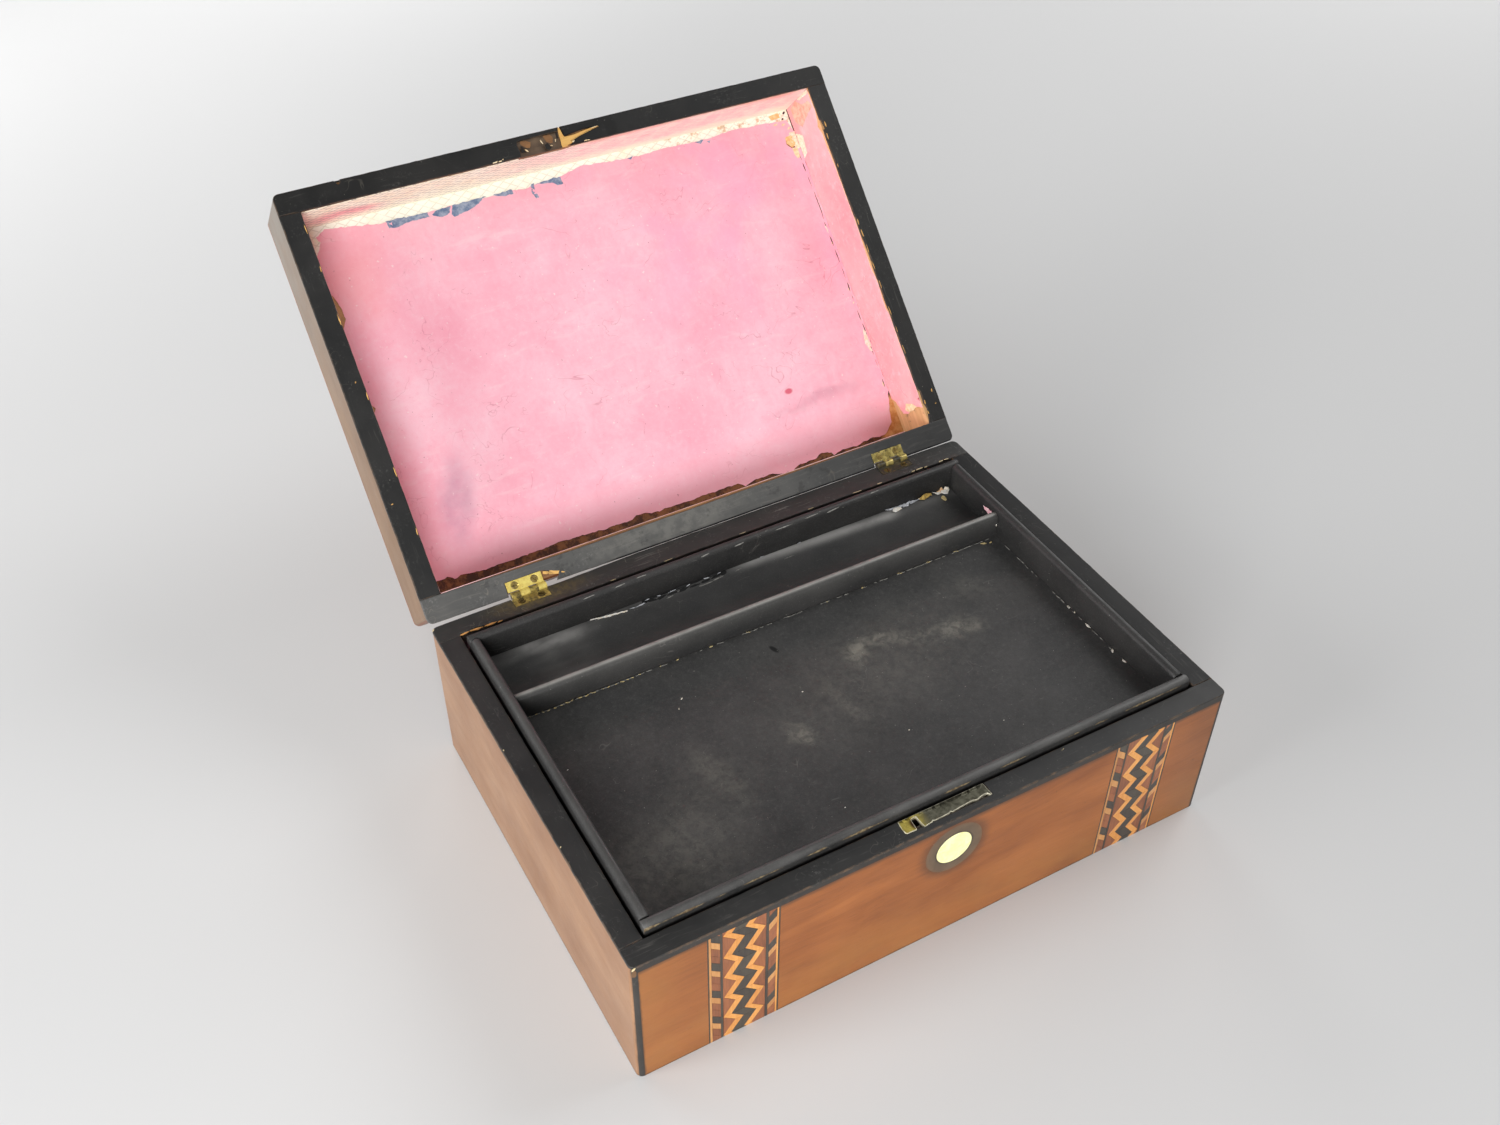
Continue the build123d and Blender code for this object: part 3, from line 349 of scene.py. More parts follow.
def edge_of_front(m):
    """Grime along the front's borders, and round the roundel, where it fades out into the veneer."""
    x, y, z = m.xyz(m.warp(1.6, 7.0))
    top = m.map(z, 74.7, 71.8, 0.85, 0.0)
    low = m.map(z, 0.0, 1.6, 0.8, 0.0)
    left = m.map(x, -147.0, -146.0, 0.8, 0.0)
    right = m.map(x, 147.0, 145.6, 0.8, 0.0)
    halo = m.ellipse(x, z, 2.3, 58.6, 17.2, 17.0, 0.2)
    e = m.math("MAXIMUM", m.math("MAXIMUM", top, low), m.math("MAXIMUM", left, right))
    dull = m.math("MAXIMUM", m.map(x, 112.0, 144.0, 0.0, 0.24), m.map(x, -64.0, -120.0, 0.0, 0.08))
    e = m.math("MAXIMUM", m.math("MULTIPLY", e, 0.75), m.math("MULTIPLY", halo, 0.55))
    return m.math("MAXIMUM", e, dull)


def tan_of_front(m):
    """The front is yellower towards its bottom and its left end."""
    x, y, z = m.xyz(m.warp(16.0, 30.0))
    low = m.math("MAXIMUM", m.map(z, 44.0, 8.0, 0.0, 0.55), m.map(x, -112.0, -146.0, 0.0, 0.5))
    return m.math("MULTIPLY", low, m.map(m.noise(20.0, 4.0, 0.6, 0.5, at=91.0), 0.3, 0.7, 0.25, 1.0))


def edge_of_side(m):
    x, y, z = m.xyz(m.warp(1.4, 6.0))
    top = m.map(z, 77.5, 76.4, 0.8, 0.0)
    low = m.map(z, 0.0, 1.2, 0.9, 0.0)
    front = m.map(y, -106.0, -104.6, 0.9, 0.0)
    back = m.map(y, 105.5, 104.2, 0.7, 0.0)
    return m.math("MULTIPLY", m.math("MAXIMUM", m.math("MAXIMUM", top, low), m.math("MAXIMUM", front, back)), 0.8)


def edge_of_lid_side(m):
    x, v, h = m.xyz(m.warp(1.4, 6.0))
    top = m.map(h, -1.2, -2.2, 0.8, 0.0)
    low = m.map(h, -36.8, -35.6, 0.7, 0.0)
    front = m.map(v, 215.2, 213.6, 0.9, 0.0)
    back = m.map(v, 2.4, 4.2, 0.6, 0.0)
    return m.math("MULTIPLY", m.math("MAXIMUM", m.math("MAXIMUM", top, low), m.math("MAXIMUM", front, back)), 0.75)


def lid_side_sheen(m):
    """The lid's left side is greyer towards its front edge: painted sheen."""
    x, v, h = m.xyz(m.warp(12.0, 30.0))
    f = m.map(v, 90.0, 215.0, 0.0, 0.85)
    return m.math("MULTIPLY", f, m.map(m.noise(9.0, 3.0, at=2.0), 0.3, 0.7, 0.6, 1.0))


WALNUT = veneer("front_veneer", lin(120, 66, 27), lin(155, 92, 43), lin(180, 115, 58), 0, dirt=edge_of_front, figure=0.8, tan=tan_of_front)
# The sides' veneers are set paler and greyer than the front's and the lid's, partly as painted sheen from the side
# light.
WALNUT_SIDE = veneer("side_veneer", lin(136, 96, 66), lin(158, 119, 88), lin(175, 138, 107), 1,
                     dirt=edge_of_side, figure=0.7, at=31.0)
WALNUT_LID_SIDE = veneer("lid_side_veneer", lin(113, 82, 54), lin(134, 103, 75), lin(152, 125, 97), 1, True,
                         dirt=edge_of_lid_side, figure=0.7, at=47.0, grey=lid_side_sheen)
WALNUT_LID = veneer("lid_veneer", lin(128, 68, 32), lin(164, 95, 50), lin(188, 118, 66), 0, True,
                    dirt=edge_of_lid_side, at=63.0)
WALNUT_BACK = veneer("back_veneer", lin(104, 64, 42), lin(146, 94, 62), lin(172, 118, 80), 0, at=83.0)


def board(name, dark, light, along, on_lid=False, at=0.0, rough=0.72, extra=None):
    """Bare, unpolished wood of the carcass."""
    m = Mat(name, on_lid)
    st = [1.0, 1.0, 1.0]
    st[along] = 0.05
    w = m.warp(5.0, 60.0)
    g = m.noise(2.4, 4.0, 0.6, 0.3, vec=m.vec(scale=tuple(st), vec=w), at=at)
    c = m.noise(24.0, 2.0, 0.5, at=at + 2.0)
    f = m.map(m.math("ADD", m.math("MULTIPLY", g, 0.8), m.math("MULTIPLY", c, 0.4)), 0.4, 0.8, smooth=False)
    col = m.mixc(f, dark, light)
    col = m.mixc(m.map(m.noise(5.0, 4.0, 0.7, at=at + 6.0), 0.56, 0.72, 0.0, 0.55), col, lin(64, 44, 30))
    if extra is not None:
        col = extra(m, col)
    m.set(Base_Color=col, Roughness=rough, Normal=m.bump(g, 0.18, 0.6))
    return m


def dark_top(m, col):
    """Painted shade: the carcass goes near-black towards the top of its inner faces, just under the rim, where the gap
    between the tray and the walls lies in shade.
    """
    x, y, z = m.xyz()
    return m.mixc(m.map(z, 62.0, 70.0, 0.0, 0.95), col, lin(30, 26, 24))


def glue_and_stain(m, col):
    """The lid's bare ceiling: dark glue along the hinge side, darker still as painted shade in the corner there;
    near-black painted shade in the crack at the right; tan at the left.
    """
    x, v, h = m.xyz(m.warp(1.2, 5.0))
    hinge = m.map(v, 24.0, 19.0)
    glue = m.mixc(m.map(m.noise(4.0, 4.0, 0.7, at=2.0), 0.4, 0.6), lin(72, 50, 32), lin(132, 94, 54))
    right = m.map(x, 124.0, 129.0)
    col = m.mixc(m.math("MULTIPLY", hinge, m.math("SUBTRACT", 1.0, right)), col, glue)
    low = m.math("MULTIPLY", right, m.map(v, 40.0, 34.0))
    tan = m.mixc(m.map(m.noise(3.0, 4.0, 0.6, at=5.0), 0.35, 0.65), lin(206, 142, 78), lin(232, 184, 122))
    col = m.mixc(low, col, tan)
    # painted shade: near-black in the crack
    crack = m.math("MULTIPLY", m.map(x, 136.0, 136.6), m.map(v, 33.0, 38.0))
    col = m.mixc(crack, col, lin(40, 22, 18))
    left = m.math("MULTIPLY", m.map(x, -124.0, -127.0), m.map(v, 60.0, 80.0))
    return m.mixc(left, col, m.mixc(m.noise(3.0, 3.0, at=7.0), lin(150, 128, 80), lin(206, 160, 112)))


BOARD = board("carcass_board", lin(96, 66, 44), lin(150, 110, 74), 0, extra=dark_top)
BOARD_SIDE = board("carcass_side_board", lin(96, 66, 44), lin(150, 110, 74), 1, at=5.0, extra=dark_top)
BOARD_LID = board("lid_board", lin(104, 66, 44), lin(176, 130, 84), 0, True, at=9.0)
BOARD_LID_TOP = board("lid_ceiling_board", lin(104, 66, 44), lin(168, 120, 76), 0, True, at=11.0, extra=glue_and_stain)
BOARD_LID_SIDE = board("lid_side_board", lin(196, 146, 96), lin(232, 188, 138), 1, True, at=12.0)
CHIP_WOOD = board("torn_wood", lin(196, 128, 62), lin(232, 178, 108), 0, at=14.0)
CHIP_WOOD_LID = board("torn_lid_wood", lin(206, 150, 74), lin(236, 190, 112), 0, True, at=17.0)
CREAM_CHIP = board("cream_chip_wood", lin(206, 184, 132), lin(240, 226, 188), 0, at=15.0)
DARK_CHIP = board("bare_corner_wood", lin(84, 60, 40), lin(120, 88, 58), 2, at=16.0)
SEAT_WOOD = board("chiselled_wood", lin(66, 50, 38), lin(104, 84, 64), 0, True, at=23.0)
SEAT_BROWN = board("chiselled_brown_wood", lin(112, 76, 46), lin(150, 106, 64), 0, True, at=27.0)
# painted shade for the seat's holes
SEAT_HOLE_SHADE = board("gouged_hole_shade", lin(20, 16, 13), lin(34, 26, 20), 0, True, at=29.0)


def ebonised(name, on_lid=False, base=(33, 33, 33), scuff=0.22, rough=0.5, at=0.0, warm=0.0, along=0, brown=0.3, extra=None):
    """Blackened wood under an old polish: fine scratches, dust and grey scuffs, brown where an edge is rubbed."""
    m = Mat(name, on_lid)
    st = [1.0, 1.0, 1.0]
    st[along] = 0.05
    w = m.warp(3.0, 18.0)
    soft = m.noise(30.0, 4.0, 0.6, at=at)
    col = m.mixc(m.map(soft, 0.3, 0.7), lin(*base), lin(base[0] + 13 + warm, base[1] + 12, base[2] + 11))
    fine = m.noise(1.5, 4.0, 0.7, at=at + 4.0)
    sc = m.noise(1.1, 3.0, 0.65, vec=m.vec(scale=tuple(st), vec=w), at=at + 2.0)
    rub = m.math("MULTIPLY", m.map(sc, 0.56, 0.74), m.map(m.noise(22.0, 3.0, at=at + 7.0), 0.42, 0.66))
    col = m.mixc(m.math("MULTIPLY", rub, scuff), col, lin(138, 134, 128))
    dust = m.math("MULTIPLY", m.map(fine, 0.52, 0.7), m.map(m.noise(16.0, 3.0, at=at + 11.0), 0.45, 0.7))
    col = m.mixc(m.math("MULTIPLY", dust, scuff * 0.8), col, lin(150, 148, 144))
    e = m.attr("edge")
    ragged = m.map(m.math("ADD", e, m.math("MULTIPLY", m.noise(7.0, 5.0, 0.75, at=at + 15.0), 0.9)), 1.36, 1.6)
    col = m.mixc(m.math("MULTIPLY", ragged, brown), col, lin(112, 88, 66))
    speck = m.map(m.noise(0.9, 1.0, at=at + 18.0), 0.76, 0.8)
    col = m.mixc(m.math("MULTIPLY", speck, 0.35), col, lin(190, 184, 172))
    line = m.math("MULTIPLY", m.thin(17.0, 0.004, at=at + 28.0), m.map(m.noise(12.0, 2.0, at=at + 30.0), 0.52, 0.62))
    col = m.mixc(m.math("MULTIPLY", line, scuff), col, lin(128, 122, 112))
    if extra is not None:
        col = extra(m, col)
    r = m.math("ADD", m.math("MULTIPLY", m.noise(12.0, 4.0, 0.6, at=at + 22.0), 0.3), rough - 0.15)
    h = m.math("ADD", m.math("MULTIPLY", sc, 0.8), m.math("MULTIPLY", m.noise(9.0, 3.0, at=at + 25.0), 1.8))
    m.set(Base_Color=col, Roughness=r, Normal=m.bump(h, 0.06, 0.55))
    return m


def hinge_rub(m, col):
    """Yellow-olive metal rub about the left hinge, red-brown wear along the inner edge, and painted shade: the back
    edge near-black, as the gap under the lid.
    """
    x, y, z = m.xyz(m.warp(5.0, 9.0))
    # painted shade: near-black along the back edge, at the gap under the lid
    col = m.mixc(m.map(m.xyz()[1], 107.7, 108.2), col, lin(16, 16, 16))
    haze = m.ellipse(x, y, -96.0, 102.5, 22.0, 5.0, 0.6)
    tone = m.map(m.noise(3.0, 4.0, 0.7, at=3.0), 0.35, 0.62, 0.2, 1.0)
    col = m.mixc(m.math("MULTIPLY", m.math("MULTIPLY", haze, tone), 0.55), col, lin(116, 98, 54))
    inner = m.math("MULTIPLY", m.map(y, 98.4, 96.2), m.map(m.noise(7.0, 4.0, 0.7, at=9.0), 0.46, 0.6))
    return m.mixc(m.math("MULTIPLY", inner, 0.28), col, lin(88, 66, 56))


def scuff_and_sheen_left(m, col):
    """The lid's hinge rim is grey from the left to the middle, partly scuffs and partly painted sheen, and black at its
    right end; painted shade makes its hinge edge near-black from the middle rightwards, as the gap to the base.
    """
    x, v, h = m.xyz(m.warp(8.0, 20.0))
    col = m.mixc(m.map(x, 34.0, 135.0, 0.0, 0.82), col, lin(44, 44, 44))
    pale = m.math("MULTIPLY", m.ellipse(x, v, -22.0, 7.0, 42.0, 9.0, 0.7), m.map(m.noise(6.0, 4.0, 0.7, at=71.0), 0.35, 0.6, 0.2, 1.0))
    col = m.mixc(m.math("MULTIPLY", pale, 0.45), col, lin(128, 126, 120))
    smudge = m.map(m.noise(7.0, 4.0, 0.7, at=74.0), 0.56, 0.66, 0.0, 0.4)
    col = m.mixc(smudge, col, lin(44, 43, 42))
    st = m.noise(1.6, 4.0, 0.7, vec=m.vec(scale=(0.05, 1.0, 1.0), vec=m.warp(2.0, 15.0)), at=66.0)
    col = m.mixc(m.map(st, 0.52, 0.74, 0.0, 0.35), col, lin(124, 120, 114))
    # painted shade: near-black along the hinge edge, at the gap to the base
    return m.mixc(m.math("MULTIPLY", m.map(m.xyz()[1], 1.1, 0.5), m.map(x, -62.0, -50.0)), col, lin(18, 18, 18))


EBONY = ebonised("ebonised_wood", brown=0.6)
EBONY_BACK = ebonised("ebonised_wood_back", brown=0.12, at=77.0, extra=hinge_rub, base=(43, 43, 42), scuff=0.5)
EBONY_SIDE = ebonised("ebonised_wood_side", along=1, at=5.0, brown=0.6)
EBONY_RIGHT = ebonised("ebonised_wood_right", along=1, at=6.0, brown=0.6, base=(25, 25, 25))
EBONY_LID = ebonised("ebonised_lid", True, at=40.0, brown=0.5, base=(26, 26, 26), scuff=0.18)
EBONY_LID_SIDE = ebonised("ebonised_lid_side", True, at=50.0, along=1, brown=0.5)
EBONY_SCUFFED_SHEEN = ebonised("ebonised_scuffed_sheen", True, base=(76, 76, 75), scuff=0.5, at=60.0, rough=0.44, brown=0.2,
                         extra=scuff_and_sheen_left)
for _m in (EBONY_LID, EBONY_RIGHT, EBONY_LID_SIDE):
    _m.b.inputs["Specular IOR Level"].default_value = 0.32
EDGING = ebonised("edging_wood", base=(37, 34, 31), scuff=0.2, at=70.0, along=2)


def pink_paper(name, on_lid=True, walls=False, at=0.0, tones=((246, 168, 186), (250, 184, 199), (251, 201, 213))):
    m = Mat(name, on_lid)
    x, v, h = m.xyz()
    soft = m.noise(60.0, 4.0, 0.5, 0.2, at=at)
    mid = m.noise(11.0, 6.0, 0.7, 0.7, at=at + 2.0)
    f = m.add(m.math("MULTIPLY", soft, 0.62), m.math("MULTIPLY", mid, 0.38))
    col = m.ramp(m.map(f, 0.36, 0.64, smooth=False), [(0.0, lin(*tones[0])), (0.5, lin(*tones[1])), (1.0, lin(*tones[2]))])
    fine = m.noise(2.6, 5.0, 0.7, at=at + 8.0)
    col = m.mixc(m.map(fine, 0.5, 0.72, 0.0, 0.35), col, lin(252, 212, 220))
    col = m.mixc(m.map(fine, 0.48, 0.3, 0.0, 0.28), col, lin(243, 160, 180))
    # long wipe marks and creases
    wipe = m.noise(5.0, 4.0, 0.65, vec=m.vec(scale=(0.14, 0.9, 1.0), rot=(0, 0, 0.42), vec=m.warp(16.0, 40.0)), at=at + 16.0)
    col = m.mixc(m.map(wipe, 0.54, 0.7, 0.0, 0.34), col, lin(253, 218, 222))
    wipe2 = m.noise(7.0, 4.0, 0.65, vec=m.vec(scale=(0.8, 0.18, 1.0), rot=(0, 0, -0.3), vec=m.warp(14.0, 30.0)), at=at + 18.0)
    col = m.mixc(m.map(wipe2, 0.57, 0.74, 0.0, 0.26), col, lin(244, 158, 178))
    gate = m.map(m.noise(30.0, 3.0, 0.6, at=at + 20.0), 0.5, 0.6)
    fold = m.math("MULTIPLY", m.thin(34.0, 0.0045, 3.0, 1.2, at=at + 21.0), gate)
    fold2 = m.math("MULTIPLY", m.thin(19.0, 0.006, 3.0, 0.9, at=at + 23.0), m.map(m.noise(22.0, 2.0, at=at + 25.0), 0.55, 0.64))
    col = m.mixc(m.math("MULTIPLY", m.math("MAXIMUM", fold, fold2), 0.45), col, lin(206, 112, 132))
    if not walls:
        s1 = m.ellipse(*m.xyz(m.warp(5.0, 12.0))[:2], -110.5, 53.5, 8.5, 21.0, 0.55, -0.32)
        s2 = m.ellipse(*m.xyz(m.warp(14.0, 14.0))[:2], 96.0, 46.5, 26.0, 3.6, 0.7, 0.04)
        s3 = m.ellipse(*m.xyz(m.warp(20.0, 26.0))[:2], -130.0, 80.0, 7.0, 60.0, 0.8)
        tone = m.map(m.noise(9.0, 4.0, 0.5, at=at + 20.0), 0.25, 0.7, 0.6, 1.0)
        col = m.mixc(m.math("MULTIPLY", m.math("MULTIPLY", s1, tone), 0.52), col, lin(176, 128, 152))
        col = m.mixc(m.math("MULTIPLY", m.math("MULTIPLY", s2, tone), 0.45), col, lin(196, 132, 152))
        # s3, along the left wall: a stain, partly painted shade from the wall
        col = m.mixc(m.math("MULTIPLY", m.math("MULTIPLY", s3, tone), 0.25), col, lin(226, 140, 152))
        cool = m.math("MULTIPLY", m.map(m.noise(36.0, 4.0, 0.6, at=at + 50.0), 0.42, 0.62),
                      m.math("MULTIPLY", m.map(x, -40.0, 70.0), m.map(v, 70.0, 150.0)))
        col = m.mixc(m.math("MULTIPLY", cool, 0.4), col, lin(251, 172, 204))
        warm = m.ellipse(*m.xyz(m.warp(16.0, 18.0))[:2], -122.0, 172.0, 16.0, 20.0, 0.7)
        col = m.mixc(m.math("MULTIPLY", warm, 0.4), col, lin(238, 150, 150))
        red = m.ellipse(x, v, 81.3, 55.4, 2.3, 1.5, 0.35)
        col = m.mixc(m.math("MULTIPLY", red, 0.8), col, lin(214, 62, 92))
        # scrapes towards the hinge side
        scr = m.noise(1.6, 3.0, 0.7, vec=m.vec(scale=(0.12, 1.0, 1.0), rot=(0, 0, 0.35), vec=m.warp(4.0, 12.0)), at=at + 24.0)
        zone = m.ellipse(x, v, -42.0, 62.0, 60.0, 40.0, 0.7)
        col = m.mixc(m.math("MULTIPLY", m.map(scr, 0.66, 0.74), m.math("MULTIPLY", zone, 0.5)), col, lin(184, 92, 104))
        hem = m.math("MULTIPLY", m.map(v, 27.0, 20.0), m.map(m.noise(9.0, 4.0, 0.7, at=at + 40.0), 0.4, 0.6, 0.2, 1.0))
        col = m.mixc(m.math("MULTIPLY", hem, 0.1), col, lin(222, 128, 140))
        # painted light: paler towards the hinge side, lifting the shade in the corner by the back wall
        col = m.mixc(m.map(v, 44.0, 19.0, 0.0, 0.5), col, lin(255, 212, 222))
    edge = m.attr("edge")
    col = m.mixc(m.math("MULTIPLY", m.map(m.math("ADD", edge, m.noise(6.0, 3.0, at=at + 27.0)), 1.2, 1.6), 0.6), col,
                 lin(252, 222, 216))
    if not on_lid:
        # painted shade: the base's wall papers go near-black from 50 to 60 mm up, as the shaded gap between the tray
        # and the walls; the left wall keeps its pink from 44 mm back
        dim = m.math("MAXIMUM", m.map(x, -139.1, -138.9), m.map(v, 44.0, 34.0))
        col = m.mixc(m.math("MULTIPLY", dim, m.map(h, 50.0, 60.0, 0.0, 0.95)), col, lin(38, 32, 30))
    speck = m.noise(1.5, 2.0, 0.5, at=at + 30.0)
    col = m.mixc(m.map(speck, 0.72, 0.75, 0.0, 0.55), col, lin(170, 84, 96))
    speck2 = m.noise(2.2, 2.0, 0.5, at=at + 34.0)
    col = m.mixc(m.map(speck2, 0.7, 0.74, 0.0, 0.6), col, lin(253, 230, 228))
    fib = m.noise(0.7, 3.0, 0.6, at=at + 38.0)
    crease = m.noise(5.0, 4.0, 0.6, 0.5, at=at + 42.0)
    hgt = m.add(m.math("MULTIPLY", fib, 0.4), m.math("MULTIPLY", crease, 2.0), m.math("MULTIPLY", fold, 1.2),
                m.math("MULTIPLY", wipe, 1.0))
    m.set(Base_Color=col, Roughness=0.62, Normal=m.bump(hgt, 0.1, 0.55))
    m.b.inputs["Specular IOR Level"].default_value = 0.35
    return m


PINK = pink_paper("pink_paper")
PINK_WALL = pink_paper("pink_wall_paper", walls=True, at=50.0, tones=((239, 150, 156), (245, 169, 173), (248, 189, 189)))
PINK_BASE = pink_paper("pink_base_paper", False, True, at=70.0)


def lattice_paper(name, cell, width, line, at=0.0, wall=False):
    """Old patterned paper: a fine diamond lattice printed on a pale ground, on the lid's ceiling or its front wall."""
    m = Mat(name, True)
    x, v, h = m.xyz(m.warp(0.5, 9.0))
    p = h if wall else v
    a = m.math("ADD", m.math("MULTIPLY", x, 0.62), p)
    b = m.math("SUBTRACT", m.math("MULTIPLY", x, 0.62), p)

    def lines(t):
        return m.map(m.math("PINGPONG", t, cell * 0.5), width, width * 0.4, 0.0, 1.0)
    lat = m.math("MAXIMUM", lines(a), lines(b))
    broken = m.map(m.noise(4.0, 4.0, 0.7, at=at), 0.32, 0.55)
    wx, wv, wh = m.xyz(m.warp(14.0, 22.0))
    if wall:
        ground = m.mixc(m.map(m.noise(9.0, 4.0, 0.6, at=at + 3.0), 0.35, 0.65), lin(250, 251, 230), lin(250, 243, 216))
        pink = m.mixc(m.map(m.noise(7.0, 5.0, 0.65, 0.4, at=at + 5.0), 0.35, 0.65), lin(252, 236, 222), lin(250, 214, 208))
        ground = m.mixc(m.map(wx, -60.0, 10.0), ground, pink)
        edge = m.map(wh, -5.5, -1.0)
        ground = m.mixc(m.math("MULTIPLY", m.math("MULTIPLY", edge, m.map(x, -10.0, 20.0)), 0.7), ground, lin(246, 178, 160))
        low = m.math("MULTIPLY", m.ellipse(wx, wh, -116.0, -22.0, 18.0, 9.0, 0.5), 0.75)
        ground = m.mixc(low, ground, lin(240, 140, 156))
        streak = m.noise(3.0, 3.0, 0.6, vec=m.vec(scale=(0.1, 1.0, 1.0), vec=m.warp(4.0, 14.0)), at=at + 7.0)
        ground = m.mixc(m.map(streak, 0.6, 0.74, 0.0, 0.5), ground, lin(238, 146, 150))
        bottom = m.map(wh, -19.0, -28.0, 0.0, 0.8)
        ground = m.mixc(bottom, ground, lin(253, 250, 226))
        strength = m.math("MULTIPLY", m.map(wx, 40.0, -40.0, 0.12, 0.6), broken)
    else:
        ground = m.mixc(m.map(m.noise(10.0, 4.0, 0.6, at=at + 3.0), 0.45, 0.7, 0.0, 0.7), lin(254, 254, 240), lin(250, 244, 214))
        right = m.math("MULTIPLY", m.map(wx, 30.0, 80.0), m.map(m.noise(4.0, 4.0, 0.7, at=at + 8.0), 0.52, 0.64))
        ground = m.mixc(m.math("MULTIPLY", right, 0.75), ground, lin(206, 150, 96))
        strength = m.math("MULTIPLY", broken, 0.38)
    col = m.mixc(m.math("MULTIPLY", lat, strength), ground, line)
    col = m.mixc(m.map(m.noise(2.0, 3.0, 0.6, at=at + 9.0), 0.7, 0.76, 0.0, 0.5), col, lin(176, 138, 96))
    fib = m.noise(0.8, 3.0, 0.6, at=at + 12.0)
    m.set(Base_Color=col, Roughness=0.7,
          Normal=m.bump(m.math("ADD", fib, m.math("MULTIPLY", m.noise(3.5, 3.0, at=at + 15.0), 2.0)), 0.09, 0.6))
    return m


OLD_PAPER = lattice_paper("old_cream_paper", 4.2, 0.42, lin(190, 182, 158), at=3.0)
PEACH_PAPER = lattice_paper("peach_paper", 3.8, 0.5, lin(146, 140, 132), at=13.0, wall=True)


def plain_paper(name, col_a, col_b, size=3.0, on_lid=True, at=0.0, rough=0.7):
    m = Mat(name, on_lid)
    col = m.mixc(m.map(m.noise(size, 4.0, 0.65, at=at), 0.35, 0.65), col_a, col_b)
    fib = m.noise(0.6, 3.0, 0.6, at=at + 5.0)
    m.set(Base_Color=col, Roughness=rough, Normal=m.bump(fib, 0.08, 0.6))
    return m


BLUE_PAPER = plain_paper("blue_grey_paper", lin(96, 118, 150), lin(160, 170, 190), 2.5, at=4.0)
WHITE_FLAKE = plain_paper("torn_white_paper", lin(252, 244, 228), lin(238, 214, 180), 1.6, at=8.0)
CREAM_FLAKE_BASE = plain_paper("torn_cream_paper_base", lin(226, 206, 150), lin(196, 170, 112), 1.2, False, at=10.5)
CREAM_FLAKE = plain_paper("torn_cream_paper", lin(250, 232, 196), lin(232, 200, 150), 1.6, at=10.0)
OCHRE_FLAKE_LID = plain_paper("torn_ochre_lid_paper", lin(228, 184, 118), lin(244, 214, 160), 1.6, at=11.0)
HOLE_LID = plain_paper("dark_hole_lid", lin(24, 18, 16), lin(48, 34, 26), 1.6, at=12.5)
# painted shade: near-black for the tray's gaps, blots and notch
HOLE = plain_paper("dark_gap", lin(10, 10, 10), lin(20, 20, 20), 1.6, False, at=13.5)
WHITE_FLAKE_BASE = plain_paper("torn_white_paper_base", lin(255, 253, 248), lin(242, 228, 204), 1.4, False, at=9.0)
# dim torn paper, and painted highlights in the tray
DIM_FLAKE_AND_HIGHLIGHT = plain_paper("torn_dim_paper_and_highlights", lin(104, 102, 98), lin(150, 148, 142), 1.0, False, at=12.7)
GREY_FLAKE = plain_paper("torn_grey_paper", lin(226, 228, 232), lin(150, 152, 158), 1.0, False, at=12.0)
OCHRE_FLAKE = plain_paper("torn_ochre_paper", lin(206, 176, 92), lin(150, 120, 60), 1.2, False, at=15.0)
ORANGE_FLAKE = plain_paper("torn_orange_paper", lin(222, 150, 84), lin(244, 214, 168), 1.2, False, at=18.0)
PINK_FLAKE = plain_paper("torn_pink_paper", lin(236, 150, 170), lin(250, 226, 226), 1.6, False, at=21.0)


